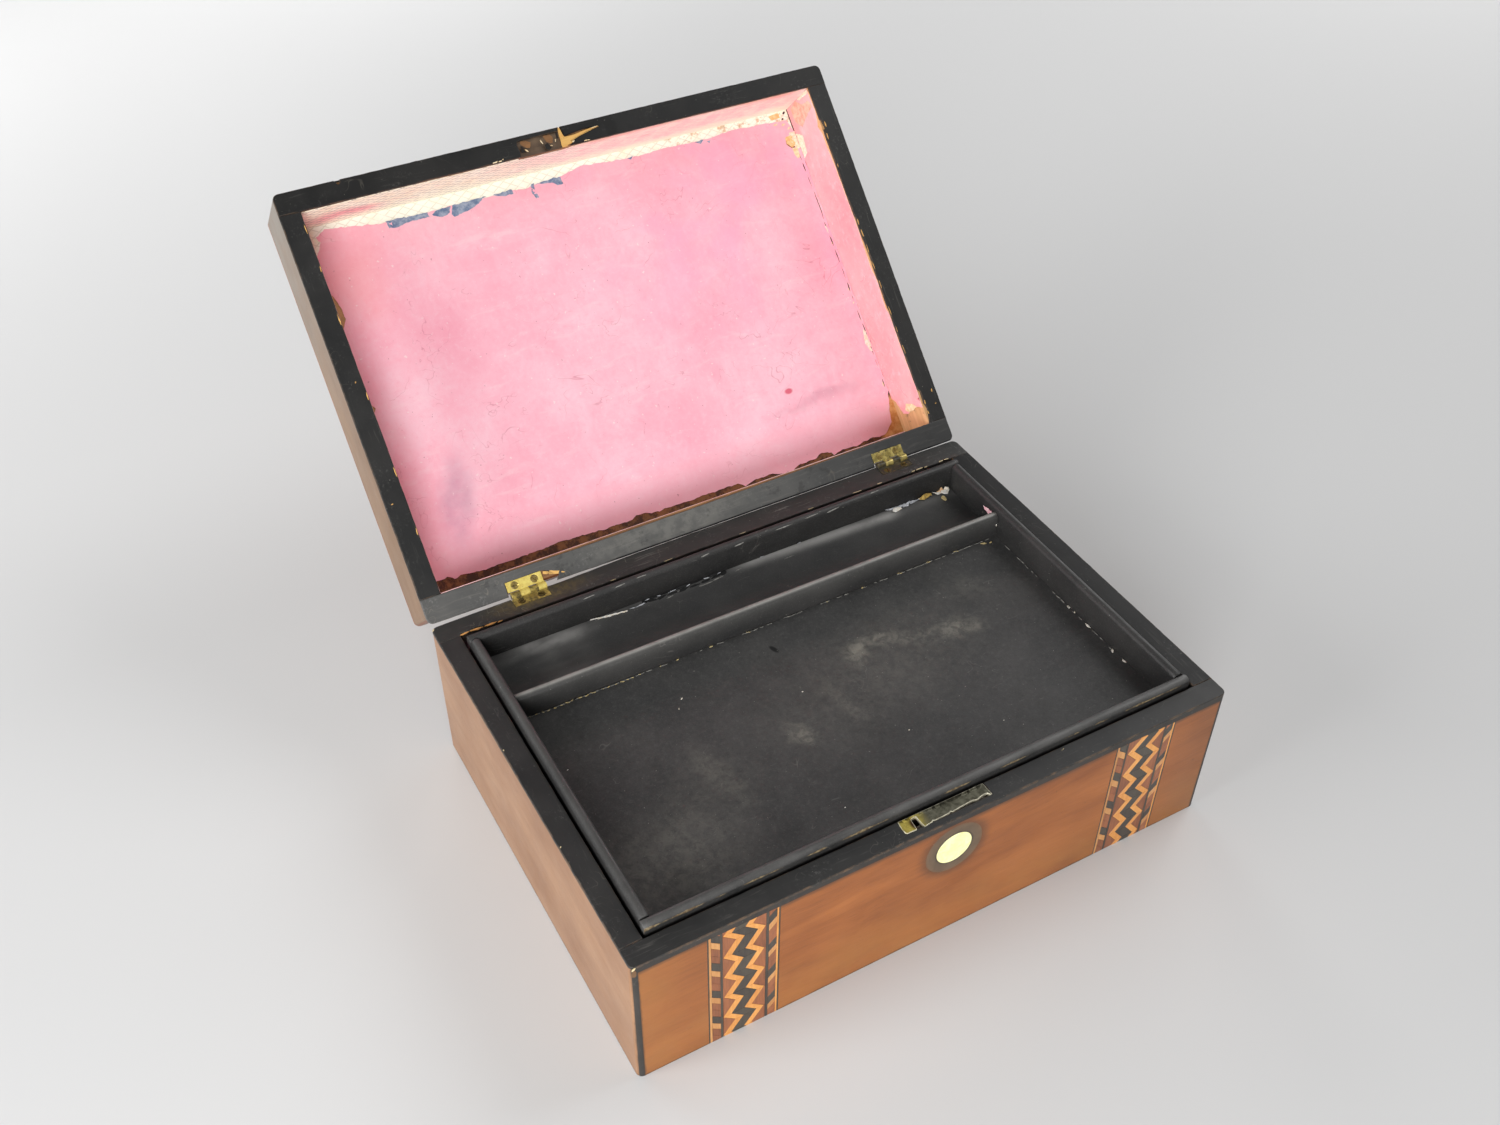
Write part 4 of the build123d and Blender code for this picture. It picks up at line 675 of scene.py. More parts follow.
def tray_paper(name, floor=False, at=0.0, base=(40, 40, 41), rough=(0.42, 0.6), haze=(112, 111, 109)):
    """Black glazed paper over thin wood: rubbed, dusty, dull with satin patches; a painted sheen in the haze colour
    lightens rounded tops and slopes where they catch the light.
    """
    m = Mat(name)
    x, y, z = m.xyz()
    cloud = m.noise(34.0, 5.0, 0.6, 0.3, at=at)
    col = m.mixc(m.map(cloud, 0.3, 0.72), lin(*base), lin(base[0] + 16, base[1] + 15, base[2] + 14))
    fine = m.noise(0.55, 2.0, 0.6, at=at + 2.0)
    col = m.mixc(m.map(fine, 0.45, 0.75, 0.0, 0.3), col, lin(90, 88, 86))
    if floor:
        wx, wy = m.xyz(m.warp(9.0, 9.0))[:2]
        smear = m.noise(5.0, 5.0, 0.7, 0.5, vec=m.warp(6.0, 10.0), at=at + 6.0)
        dust = m.add(*[m.math("MULTIPLY", m.ellipse(wx, wy, cx, cy, rx, ry, 0.75, turn), k)
                       for cx, cy, rx, ry, turn, k in (
                           (24.0, 7.0, 5.0, 7.0, -0.5, 0.5), (37.0, 11.5, 9.0, 4.0, -0.1, 0.34),
                           (55.0, 3.0, 15.0, 4.6, -0.3, 0.26), (79.0, -2.0, 10.0, 5.4, -0.3, 0.52),
                           (96.0, 20.0, 12.0, 7.0, -0.4, 0.1), (-25.0, -24.0, 5.0, 6.5, 0.5, 0.5),
                           (3.0, -18.0, 4.0, 16.0, 0.2, 0.13), (-69.0, -26.0, 5.0, 17.0, 0.25, 0.16),
                           (-110.0, -60.0, 30.0, 22.0, 0.0, 0.23),
                           (-76.0, -34.0, 20.0, 18.0, 0.0, 0.08), (30.0, -6.0, 58.0, 26.0, 0.25, 0.12))])
        dust = m.math("MULTIPLY", dust, m.map(smear, 0.36, 0.66, 0.2, 1.0))
        col = m.mixc(dust, col, lin(150, 146, 134))
        grain = m.noise(1.7, 3.0, 0.7, at=at + 44.0)
        col = m.mixc(m.map(grain, 0.5, 0.7, 0.0, 0.2), col, lin(104, 103, 100))
        col = m.mixc(m.map(grain, 0.48, 0.32, 0.0, 0.3), col, lin(30, 30, 30))
        hole = m.ellipse(x, y, -8.7, 28.4, 1.2, 2.8, 0.3, 0.3)
        col = m.mixc(m.math("MULTIPLY", hole, 0.9), col, lin(10, 10, 10))
    scr = m.noise(0.9, 2.0, 0.6, vec=m.vec(scale=(0.07, 1.0, 1.0), rot=(0, 0, 0.3), vec=m.warp(6.0, 20.0)), at=at + 9.0)
    col = m.mixc(m.map(scr, 0.68, 0.76, 0.0, 0.22), col, lin(130, 128, 124))
    line = m.math("MULTIPLY", m.thin(26.0, 0.003, 3.0, 1.0, at=at + 28.0), m.map(m.noise(16.0, 2.0, at=at + 30.0), 0.55, 0.62))
    col = m.mixc(m.math("MULTIPLY", line, 0.25), col, lin(140, 136, 130))
    speck = m.noise(0.8, 1.0, 0.5, at=at + 12.0)
    col = m.mixc(m.map(speck, 0.765, 0.79, 0.0, 0.5), col, lin(190, 186, 176))
    e = m.attr("edge")
    rub = m.map(m.math("ADD", e, m.math("MULTIPLY", m.noise(6.0, 4.0, 0.7, at=at + 15.0), 0.9)), 1.3, 1.56)
    col = m.mixc(m.math("MULTIPLY", rub, 0.6), col, lin(140, 132, 118))
    # painted sheen and highlights, in the haze colour
    painted_sheen = m.math("MULTIPLY", m.attr("painted_sheen"), m.map(m.noise(12.0, 4.0, 0.6, at=at + 33.0), 0.25, 0.6, 0.6, 1.0))
    col = m.mixc(m.math("MULTIPLY", painted_sheen, 0.62), col, lin(*haze))
    w = m.attr("worn")
    wn = m.noise(3.2, 5.0, 0.75, at=at + 18.0)
    worn = m.map(m.math("ADD", w, m.math("MULTIPLY", wn, 0.8)), 1.06, 1.26)
    wood = m.mixc(m.map(m.noise(1.4, 3.0, 0.6, at=at + 35.0), 0.4, 0.62), lin(92, 74, 52), lin(140, 124, 92))
    col = m.mixc(m.math("MULTIPLY", worn, 0.85), col, wood)
    r = m.map(m.noise(24.0, 4.0, 0.6, at=at + 21.0), 0.3, 0.7, *rough)
    h = m.math("ADD", m.math("MULTIPLY", fine, 0.35), m.math("MULTIPLY", m.noise(5.0, 4.0, 0.6, at=at + 24.0), 1.6))
    m.set(Base_Color=col, Roughness=r, Normal=m.bump(h, 0.09, 0.5))
    return m


# One black paper in copies of different base tone: darker for the walls (TRAY_BACK) as painted shade, lighter for the
# floor, trough and ridge as painted light; the haze colours are painted sheen.
TRAY = tray_paper("black_tray_paper", base=(34, 34, 34), rough=(0.4, 0.55))
TRAY_BACK = tray_paper("black_tray_back_paper", at=90.0, base=(27, 27, 27), rough=(0.42, 0.58))
TRAY_FLOOR = tray_paper("black_tray_floor", True, at=30.0, base=(52, 52, 52))
TROUGH = tray_paper("black_trough_paper", at=60.0, base=(50, 50, 50), rough=(0.42, 0.58), haze=(196, 194, 190))
RIDGE = tray_paper("black_ridge_paper", at=110.0, base=(43, 43, 43), rough=(0.36, 0.5), haze=(176, 174, 168))


def brass(name, bright, dull, patina, amount, on_lid=False, at=0.0, rough=0.34, metal=0.9):
    m = Mat(name, on_lid)
    c1 = m.noise(3.0, 4.0, 0.65, at=at)
    col = m.mixc(m.map(c1, 0.35, 0.65), bright, dull)
    c2 = m.noise(2.2, 5.0, 0.7, 0.4, at=at + 4.0)
    p = m.map(c2, 0.62 - 0.3 * amount, 0.72 - 0.2 * amount)
    col = m.mixc(m.math("MULTIPLY", p, 0.85), col, patina)
    scr = m.noise(0.35, 2.0, 0.6, vec=m.vec(scale=(0.06, 1.0, 1.0), rot=(0, 0, 0.4)), at=at + 8.0)
    r = m.math("ADD", m.math("MULTIPLY", c2, 0.35), rough - 0.1)
    m.set(Base_Color=col, Roughness=r,
          Metallic=m.map(p, 0.0, 1.0, metal, metal * 0.45),
          Normal=m.bump(m.math("ADD", m.math("MULTIPLY", scr, 0.5), m.math("MULTIPLY", c1, 1.2)), 0.05, 0.5))
    return m


BRASS_BRIGHT = brass("brass_rubbed", lin(246, 226, 128), lin(224, 196, 100), lin(140, 116, 56), 0.1, True, metal=0.35)
BRASS_TARNISHED = brass("brass_tarnished", lin(206, 186, 112), lin(140, 124, 66), lin(66, 60, 40), 0.45, True, at=9.0, metal=0.45)
BRASS_BASE = brass("brass_base_leaf", lin(196, 172, 92), lin(140, 120, 62), lin(72, 64, 42), 0.45, at=19.0, metal=0.45)
BRASS_BLACK = brass("brass_blackened", lin(96, 86, 58), lin(62, 57, 42), lin(44, 42, 36), 0.6, at=22.0, metal=0.3)
SELVEDGE = Mat("selvedge_brass")
_x, _y, _z = SELVEDGE.xyz()
_n = SELVEDGE.noise(2.6, 5.0, 0.7, 0.4, at=29.0)
_dull = SELVEDGE.mixc(SELVEDGE.map(_n, 0.35, 0.65), lin(74, 72, 58), lin(112, 110, 94))
_tab = SELVEDGE.mixc(SELVEDGE.map(_n, 0.35, 0.62), lin(206, 188, 92), lin(168, 150, 68))
_brown = SELVEDGE.ellipse(_x, _y, -16.4, -100.4, 1.3, 2.6, 0.6)
_tab = SELVEDGE.mixc(_brown, _tab, lin(66, 42, 16))
_w = SELVEDGE.map(SELVEDGE.math("ADD", _x, SELVEDGE.math("MULTIPLY", _n, 6.0)), -13.0, -5.0)
_c = SELVEDGE.mixc(_w, _tab, _dull)
# painted highlight: paler along the strip's edges
_e = SELVEDGE.map(SELVEDGE.math("ADD", SELVEDGE.attr("edge"), SELVEDGE.math("MULTIPLY", SELVEDGE.noise(1.8, 3.0, 0.6, at=31.0), 0.7)), 1.1, 1.4)
_c = SELVEDGE.mixc(SELVEDGE.math("MULTIPLY", _e, 0.9), _c, lin(214, 208, 186))
SELVEDGE.set(Base_Color=_c, Metallic=0.55, Roughness=SELVEDGE.map(_n, 0.3, 0.7, 0.34, 0.5),
             Normal=SELVEDGE.bump(SELVEDGE.noise(1.5, 4.0, 0.6, at=33.0), 0.06, 0.6))
SCREW = brass("old_screws", lin(150, 132, 76), lin(96, 84, 50), lin(44, 38, 26), 0.6, at=49.0)
SCREW_LID = brass("old_lid_screws", lin(170, 148, 84), lin(128, 108, 58), lin(70, 58, 34), 0.4, True, at=52.0, metal=0.4)
STEEL = brass("lock_steel", lin(120, 116, 108), lin(84, 80, 74), lin(78, 56, 40), 0.5, at=59.0, rough=0.42)

PEARL = Mat("pearl_shell")
_c = PEARL.noise(5.0, 4.0, 0.6, 0.8, at=1.0)
PEARL.set(Base_Color=PEARL.ramp(PEARL.map(_c, 0.3, 0.7, smooth=False),
                                [(0.0, lin(252, 245, 160)), (0.5, lin(255, 252, 180)), (1.0, lin(255, 255, 204))]),
          Roughness=0.24,
          Normal=PEARL.bump(PEARL.noise(3.0, 3.0, at=4.0), 0.03, 0.4))
PEARL.b.inputs["Coat Weight"].default_value = 0.4
PEARL.b.inputs["Coat Roughness"].default_value = 0.12

SURROUND = Mat("stained_surround")
_x, _y, _z = SURROUND.xyz(SURROUND.warp(1.2, 5.0))
_r = SURROUND.math("SQRT", SURROUND.math("ADD", SURROUND.math("POWER", SURROUND.math("SUBTRACT", _x, 2.3), 2.0),
                                         SURROUND.math("POWER", SURROUND.math("SUBTRACT", _z, 58.6), 2.0)))
_f = SURROUND.ramp(SURROUND.map(_r, 9.0, 15.0, smooth=False),
                   [(0.0, lin(52, 42, 34)), (0.2, lin(96, 80, 62)), (0.7, lin(102, 82, 62)), (1.0, lin(112, 82, 56))])
_f = SURROUND.mixc(SURROUND.map(SURROUND.noise(6.0, 4.0, 0.6, at=2.0), 0.35, 0.7, 0.0, 0.5), _f, lin(70, 56, 42))
SURROUND.set(Base_Color=_f, Roughness=0.42, Normal=SURROUND.bump(SURROUND.noise(2.0, 3.0, at=6.0), 0.05, 0.5))


def inlay(name, dark, light, at=0.0, on_lid=False, along=2):
    m = Mat(name, on_lid)
    st = [1.0, 1.0, 1.0]
    st[along] = 0.12
    g = m.noise(0.9, 3.0, 0.6, vec=m.vec(scale=tuple(st)), at=at)
    tint = m.attr("tint")
    f = m.math("ADD", m.math("MULTIPLY", m.map(g, 0.3, 0.7), 0.5), m.math("MULTIPLY", tint, 0.5))
    col = m.mixc(f, dark, light)
    r = m.math("ADD", m.math("MULTIPLY", m.noise(8.0, 3.0, at=at + 3.0), 0.2), 0.28)
    m.set(Base_Color=col, Roughness=r, Normal=m.bump(g, 0.04, 0.4))
    return m


def inlay_set(tag, on_lid, along):
    return [inlay("inlay_dark" + tag, lin(50, 44, 40), lin(74, 68, 58), 1.0, on_lid, along),
            inlay("inlay_orange" + tag, lin(198, 130, 62), lin(224, 160, 86), 5.0, on_lid, along),
            inlay("inlay_red" + tag, lin(112, 66, 42), lin(154, 94, 58), 9.0, on_lid, along),
            inlay("inlay_cream" + tag, lin(170, 116, 66), lin(202, 148, 90), 13.0, on_lid, along),
            inlay("inlay_glue" + tag, lin(44, 34, 26), lin(60, 46, 34), 17.0, on_lid, along)]


INLAY = inlay_set("", False, 2)
INLAY_LID = inlay_set("_lid", True, 2)
INLAY_TOP = inlay_set("_lid_top", True, 1)


# ---------------------------------------------------------------------------
# meshes
# ---------------------------------------------------------------------------
def make(name, verts, faces, mats, body, replaces=(), fmat=None, attrs=None, smooth=True, sharp=50.0):
    me = bpy.data.meshes.new(name)
    me.from_pydata([(x * 0.001, y * 0.001, z * 0.001) for x, y, z in verts], [], faces)
    for m in mats:
        me.materials.append(m.m)
    if fmat is not None:
        me.polygons.foreach_set("material_index", fmat)
    me.polygons.foreach_set("use_smooth", [smooth] * len(faces))
    attrs = dict(attrs or {})
    for key in ("edge", "worn", "painted_sheen"):
        attrs.setdefault(key, [0.0] * len(verts))
    for key, values in attrs.items():
        at = me.attributes.new(key, "FLOAT", "POINT")
        at.data.foreach_set("value", np.asarray(values, np.float32))
    me.update()
    if smooth:
        me.set_sharp_from_angle(angle=math.radians(sharp))
    ob = bpy.data.objects.new(name, me)
    bpy.context.scene.collection.objects.link(ob)
    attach(ob, body)
    if replaces:
        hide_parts(*replaces)
    return ob


def area2(p):
    return sum(p[i - 1][0] * p[i][1] - p[i][0] * p[i - 1][1] for i in range(len(p)))


def resample(loop, step):
    """Points along a closed outline, corners kept, no span longer than step."""
    out = []
    for i, p in enumerate(loop):
        q = loop[(i + 1) % len(loop)]
        n = max(1, int(math.ceil(math.dist(p, q) / step)))
        for k in range(n):
            t = k / n
            out.append((p[0] + (q[0] - p[0]) * t, p[1] + (q[1] - p[1]) * t))
    return out


def inset(loop, d):
    """The outline moved to its left by d."""
    n = len(loop)
    out = []
    for i in range(n):
        a, b, c = loop[i - 1], loop[i], loop[(i + 1) % n]
        e1 = (b[0] - a[0], b[1] - a[1])
        e2 = (c[0] - b[0], c[1] - b[1])
        l1 = math.hypot(*e1) or 1.0
        l2 = math.hypot(*e2) or 1.0
        nx = -e1[1] / l1 - e2[1] / l2
        ny = e1[0] / l1 + e2[0] / l2
        ln = math.hypot(nx, ny)
        if ln < 0.3:
            nx, ny, k = -e1[1] / l1, e1[0] / l1, 1.0
        else:
            nx, ny = nx / ln, ny / ln
            cosh = nx * (-e1[1] / l1) + ny * (e1[0] / l1)
            k = 1.0 / max(cosh, 0.6)
        out.append((b[0] + nx * d * k, b[1] + ny * d * k))
    return out


def inside(px, py, loop):
    """Which points lie inside a closed outline."""
    res = np.zeros(len(px), bool)
    n = len(loop)
    for i in range(n):
        x0, y0 = loop[i - 1]
        x1, y1 = loop[i]
        if y0 == y1:
            continue
        cross = ((y0 > py) != (y1 > py)) & (px < (x1 - x0) * (py - y0) / (y1 - y0) + x0)
        res ^= cross
    return res


def border_dist(px, py, loop):
    d = np.full(len(px), 1e9)
    n = len(loop)
    for i in range(n):
        x0, y0 = loop[i - 1]
        x1, y1 = loop[i]
        ex, ey = x1 - x0, y1 - y0
        l2 = ex * ex + ey * ey
        if l2 == 0:
            continue
        t = np.clip(((px - x0) * ex + (py - y0) * ey) / l2, 0, 1)
        d = np.minimum(d, np.hypot(px - x0 - t * ex, py - y0 - t * ey))
    return d


def triangulate(loops, extra):
    """Triangles of the region inside loops[0] and outside the rest; None if outlines cross."""
    pts, edges = [], []
    for l in loops:
        s = len(pts)
        pts += l
        edges += [(s + i, s + (i + 1) % len(l)) for i in range(len(l))]
    pts = pts + list(extra)
    vs, _, fs, orig, _, _ = delaunay_2d_cdt([Vector(p) for p in pts], edges, [], 0, 1e-6)
    if len(vs) != len(pts):
        return None
    back = [o[0] for o in orig]
    tri = [[back[i] for i in f] for f in fs]
    cx = np.array([sum(pts[i][0] for i in t) / 3 for t in tri])
    cy = np.array([sum(pts[i][1] for i in t) / 3 for t in tri])
    keep = inside(cx, cy, loops[0])
    for l in loops[1:]:
        keep &= ~inside(cx, cy, l)
    out = []
    for t, k in zip(tri, keep):
        if k:
            a = (pts[t[1]][0] - pts[t[0]][0]) * (pts[t[2]][1] - pts[t[0]][1]) - \
                (pts[t[2]][0] - pts[t[0]][0]) * (pts[t[1]][1] - pts[t[0]][1])
            out.append(t if a > 0 else t[::-1])
    return out


def plate(name, loops, h0, h1, P, mats, body, replaces=(), bevel=0.25, step=3.0, grid=6.0, relief=None,
          seed=1, attrs=None, sharp=50.0):
    """A closed slab with the given outline and holes, rounded top edges, and an optional relief on top."""
    rng = random.Random(seed)
    L = []
    for i, l in enumerate(loops):
        l = resample(l, step)
        if (area2(l) > 0) != (i == 0):
            l = l[::-1]
        L.append(l)
    relief = relief or (lambda a, b: 0.0)
    for b in (bevel, bevel * 0.6, bevel * 0.3, 0.03, 0.0):
        tops = [inset(l, b) for l in L]
        flats = [inset(l, b + min(0.25, b)) for l in L]
        if grid:
            x0, x1 = min(p[0] for p in L[0]), max(p[0] for p in L[0])
            y0, y1 = min(p[1] for p in L[0]), max(p[1] for p in L[0])
            gx, gy = [], []
            ny = max(1, int((y1 - y0) / grid))
            nx = max(1, int((x1 - x0) / grid))
            for j in range(ny + 1):
                for i in range(nx + 1):
                    gx.append(x0 + (i + 0.5 * (j % 2)) * (x1 - x0) / nx + rng.uniform(-0.2, 0.2) * grid)
                    gy.append(y0 + j * (y1 - y0) / ny + rng.uniform(-0.2, 0.2) * grid)
            gx, gy = np.array(gx), np.array(gy)
            ok = inside(gx, gy, L[0])
            for l in L[1:]:
                ok &= ~inside(gx, gy, l)
            gx, gy = gx[ok], gy[ok]
            d = np.full(len(gx), 1e9)
            for l in L:
                d = np.minimum(d, border_dist(gx, gy, l))
            ok = d > 0.45 * grid + b
            extra = list(zip(gx[ok], gy[ok]))
        else:
            extra = []
        top = triangulate(flats, extra)
        if top is not None:
            break
    bottom = triangulate(L, [])
    if top is None or bottom is None:
        raise ValueError("outline of " + name + " crosses itself")
    flat0 = [p for l in L for p in l]
    flat1 = [p for l in [inset(l, 0.3 * b) for l in L] for p in l]
    flat2 = [p for l in tops for p in l]
    flat3 = [p for l in flats for p in l]
    n = len(flat0)
    verts = [P(x, y, h0) for x, y in flat0]
    verts += [P(x, y, h1 - b) for x, y in flat0]
    verts += [P(x, y, h1 - 0.3 * b + relief(x, y)) for x, y in flat1]
    verts += [P(x, y, h1 + relief(x, y)) for x, y in flat2]
    verts += [P(x, y, h1 + relief(x, y)) for x, y in flat3]
    verts += [P(x, y, h1 + relief(x, y)) for x, y in extra]
    plane = flat0 + flat0 + flat1 + flat2 + flat3 + list(extra)
    edge = [1.0] * (4 * n) + [0.55] * n + [0.0] * len(extra)
    faces = []
    s = 0
    for l in L:
        m = len(l)
        for i in range(m):
            j = (i + 1) % m
            for r in range(4):
                faces.append((r * n + s + i, r * n + s + j, (r + 1) * n + s + j, (r + 1) * n + s + i))
        s += m
    faces += [tuple(4 * n + i for i in t) for t in top]
    faces += [tuple(t[::-1]) for t in bottom]
    at = {"edge": edge}
    for key, fn in (attrs or {}).items():
        at[key] = [fn(x, y) for x, y in plane]
    return make(name, verts, faces, mats, body, replaces, attrs=at, sharp=sharp)


def rect(x0, y0, x1, y1):
    return [(x0, y0), (x1, y0), (x1, y1), (x0, y1)]


def rough_line(p, q, amp, step, seed):
    """Points from p to q (q left out), pushed sideways by seeded noise."""
    n = max(1, int(math.dist(p, q) / step))
    dx, dy = q[0] - p[0], q[1] - p[1]
    l = math.hypot(dx, dy) or 1.0
    out = []
    for k in range(n):
        t = k / n
        w = fbm(seed * 3.7 + t * l * 0.35, seed * 1.3, 0.0, 4) * amp if k else 0.0
        out.append((p[0] + dx * t - dy / l * w, p[1] + dy * t + dx / l * w))
    return out


def chipped(points, seed, amp=0.12, step=2.5):
    """An outline whose long straight edges are slightly uneven."""
    out = []
    for i, p in enumerate(points):
        q = points[(i + 1) % len(points)]
        if math.dist(p, q) > 3 * step:
            out += rough_line(p, q, amp, step, seed + i)
        else:
            out.append(p)
    return out


def flake(name, pts, P, mat, body, h=0.0, lift=0.5, thick=0.15, seed=1, rough=0.3):
    """A torn bit of paper or a chip: a thin slab with a ragged outline that curls up at one side."""
    loop = resample(pts, 1.2)
    loop = [(x + fbm(x * 0.9, y * 0.9, seed) * rough, y + fbm(x * 0.9 + 40, y * 0.9, seed) * rough) for x, y in loop]
    cx = sum(p[0] for p in loop) / len(loop)
    cy = sum(p[1] for p in loop) / len(loop)
    size = max(math.dist(p, (cx, cy)) for p in loop)
    ang = random.Random(seed).uniform(0, 6.28)

    def curl(x, y):
        t = ((x - cx) * math.cos(ang) + (y - cy) * math.sin(ang)) / size
        return lift * max(0.0, t) ** 2 + 0.12 * fbm(x * 0.7, y * 0.7, seed + 3)

    def PP(a, b, hh):
        return P(a, b, h + hh + max(0.0, curl(a, b)))
    return plate(name, [loop], 0.0, thick, PP, [mat], body, bevel=0.03, step=1.5, grid=1.6, seed=seed)


def chips(name, items, P, mat, body, thick=0.08, h=0.0, seed=1):
    """Many small flat chips in one mesh: items are (a, b, half length, half width, turn)."""
    rng = random.Random(seed)
    verts, faces, edge = [], [], []
    for a0, b0, ra, rb, turn in items:
        n = 9 if ra > 1.0 else 7
        ring = []
        for i in range(n):
            t = 6.28318 * i / n
            k = rng.uniform(0.62, 1.12)
            u, w = ra * k * math.cos(t), rb * k * math.sin(t)
            ring.append((a0 + u * math.cos(turn) - w * math.sin(turn), b0 + u * math.sin(turn) + w * math.cos(turn)))
        s = len(verts)
        lift = rng.uniform(0.0, 0.06)
        verts.extend(P(x, y, h) for x, y in ring)
        verts.extend(P(x, y, h + thick + lift * (i % 3 == 0)) for i, (x, y) in enumerate(ring))
        verts.append(P(a0, b0, h + thick * 1.1))
        for i in range(n):
            j = (i + 1) % n
            faces.append((s + i, s + j, s + n + j, s + n + i))
            faces.append((s + n + i, s + n + j, s + 2 * n))
        faces.append(tuple(s + i for i in reversed(range(n))))
    return make(name, verts, faces, [mat], body, smooth=False)


# ---------------------------------------------------------------------------
# rims: black facings glued on the carcass, chipped at their edges
# ---------------------------------------------------------------------------
def rounded_corner(cx, cy, r, a0, a1, n=6):
    return [(cx + r * math.cos(math.radians(a0 + (a1 - a0) * i / n)),
             cy + r * math.sin(math.radians(a0 + (a1 - a0) * i / n))) for i in range(n + 1)]


def soft_top(seed, amp=0.06):
    return lambda a, b: amp * fbm(a * 0.05, b * 0.05, seed)


on_base_rim = on_level(77.5)
front_pts = ([(-150.0, -96.0)] + rounded_corner(-147, -103.5, 3, 180, 270) +
             rounded_corner(147, -103.5, 3, 270, 360) + [(150.0, -96.0), (22.05, -96.0), (22.05, -103.05),
                                                        (-21.55, -103.05), (-21.55, -96.0)])
plate("base_rim_front_facing", [chipped(front_pts, 11)], 0, 1.2, on_base_rim, [EBONY], "base",
      ["base_rim_front"], bevel=0.35, step=3, grid=4, relief=soft_top(1))
back_pts = ([(-150.0, 96.0), (-139.5, 95.9), (-138.6, 97.6), (-135.0, 97.0), (-131.0, 97.9), (-126.5, 96.9),
             (-122.0, 97.2), (-119.0, 96.3), (-117.0, 96.0), (113.4, 96.0), (114.5, 97.1), (118.0, 96.7), (121.5, 97.3),
             (124.8, 96.1), (131.2, 96.0), (132.6, 97.4), (136.0, 97.2), (138.4, 96.0), (150.0, 96.0)] +
            rounded_corner(147, 105.3, 3, 0, 90) +
            [(140.0, 108.45), (126.0, 108.58), (118.6, 108.6), (118.6, 106.5), (118.3, 101.35), (99.7, 101.35),
             (99.4, 106.5), (99.4, 108.62), (20.0, 108.62), (-42.0, 108.6), (-52.0, 108.35), (-66.0, 107.9), (-84.0, 107.5), (-90.3, 107.4),
             (-90.45, 106.5), (-90.45, 101.35),
             (-109.05, 101.35), (-109.05, 106.5), (-109.3, 107.25), (-140.0, 107.1)] + rounded_corner(-147, 103.9, 3, 90, 180))
plate("base_rim_back_facing", [chipped(back_pts, 21)], 0, 1.2, on_base_rim, [EBONY_BACK], "base",
      ["base_rim_back"], bevel=0.3, step=3, grid=4, relief=soft_top(2))
plate("base_rim_left_facing", [chipped(rect(-150, -96, -139.5, 96), 31)], 0, 1.2, on_base_rim, [EBONY_SIDE], "base",
      ["base_rim_left"], bevel=0.35, step=3, grid=4, relief=soft_top(3))
plate("base_rim_right_facing", [chipped(rect(139.5, -96, 150, 96), 41)], 0, 1.2, on_base_rim, [EBONY_RIGHT], "base",
      ["base_rim_right"], bevel=0.35, step=3, grid=4, relief=soft_top(4))

chips("base_rim_chips", [(-137.0, 96.5, 2.6, 0.5, 0.05), (-131.0, 96.6, 3.4, 0.7, -0.05), (-124.0, 96.5, 3.2, 0.6, 0.05),
                         (-119.0, 96.2, 1.8, 0.35, 0.1)],
      on_level(78.25), CHIP_WOOD, "base", thick=0.3, seed=17)
chips("base_rim_cream_chips", [(115.4, 96.4, 1.5, 0.35, 0.1), (119.4, 96.6, 2.2, 0.4, 0.05), (123.2, 96.3, 1.2, 0.3, 0.0),
                               (133.0, 96.5, 1.5, 0.4, 0.1), (136.6, 96.6, 1.6, 0.45, -0.1), (-149.2, 105.4, 0.9, 0.5, 0.8),
                               (-60.0, 96.2, 1.8, 0.2, 0.0), (-30.0, 96.2, 2.6, 0.2, 0.02), (12.0, 96.3, 2.2, 0.2, 0.0),
                               (52.0, 96.2, 2.0, 0.2, 0.02), (80.0, 96.2, 3.0, 0.25, 0.0), (94.0, 96.4, 2.0, 0.3, 0.0),
                               (63.5, -97.6, 0.9, 0.3, 0.3), (-149.3, 20.0, 0.7, 0.3, 1.5), (-149.2, -40.0, 0.5, 0.3, 1.2)],
      on_level(78.45), CREAM_CHIP, "base", thick=0.27, seed=18)
chips("base_corner_chip", [(-148.7, 77.9, 1.1, 0.8, 0.6)], on_front, CREAM_CHIP, "base", thick=0.12, h=-0.02,
      seed=19)
chips("base_corner_bare_wood", [(-148.6, 74.8, 2.6, 1.0, 1.57)], on_front, DARK_CHIP, "base", thick=0.06,
      h=-0.01, seed=20)

# the rim is parted by the torn strip at the seat's right end: two plates
lid_front_left = ([(-150.0, 204.74), (-27.2, 204.74), (-26.6, 207.2), (-27.0, 210.8), (-26.4, 212.6), (-23.6, 213.1),
                   (-14.9, 212.9), (-7.1, 213.2), (-4.0, 213.1), (-3.3, 215.24)] +
                  [(-116.9, 215.24), (-117.3, 213.6), (-118.3, 212.9), (-119.2, 214.0), (-119.8, 215.24)] +
                  rounded_corner(-147, 212.24, 3, 90, 180))
lid_front_right = ([(-0.4, 204.74), (150.0, 204.74)] + rounded_corner(147, 212.24, 3, 0, 90) +
                   [(-2.4, 215.24), (-1.5, 210.1), (3.3, 210.7), (10.3, 211.4), (17.2, 211.2), (17.7, 210.8), (10.1, 209.6),
                    (2.5, 207.5), (0.7, 207.0), (2.2, 206.2), (0.2, 205.3)])
plate("lid_rim_front_facing_left", [chipped(lid_front_left, 51)], -1.2, 0, on_rim, [EBONY_LID], "lid",
      ["lid_rim_front"], bevel=0.3, step=3, grid=4, relief=soft_top(5))
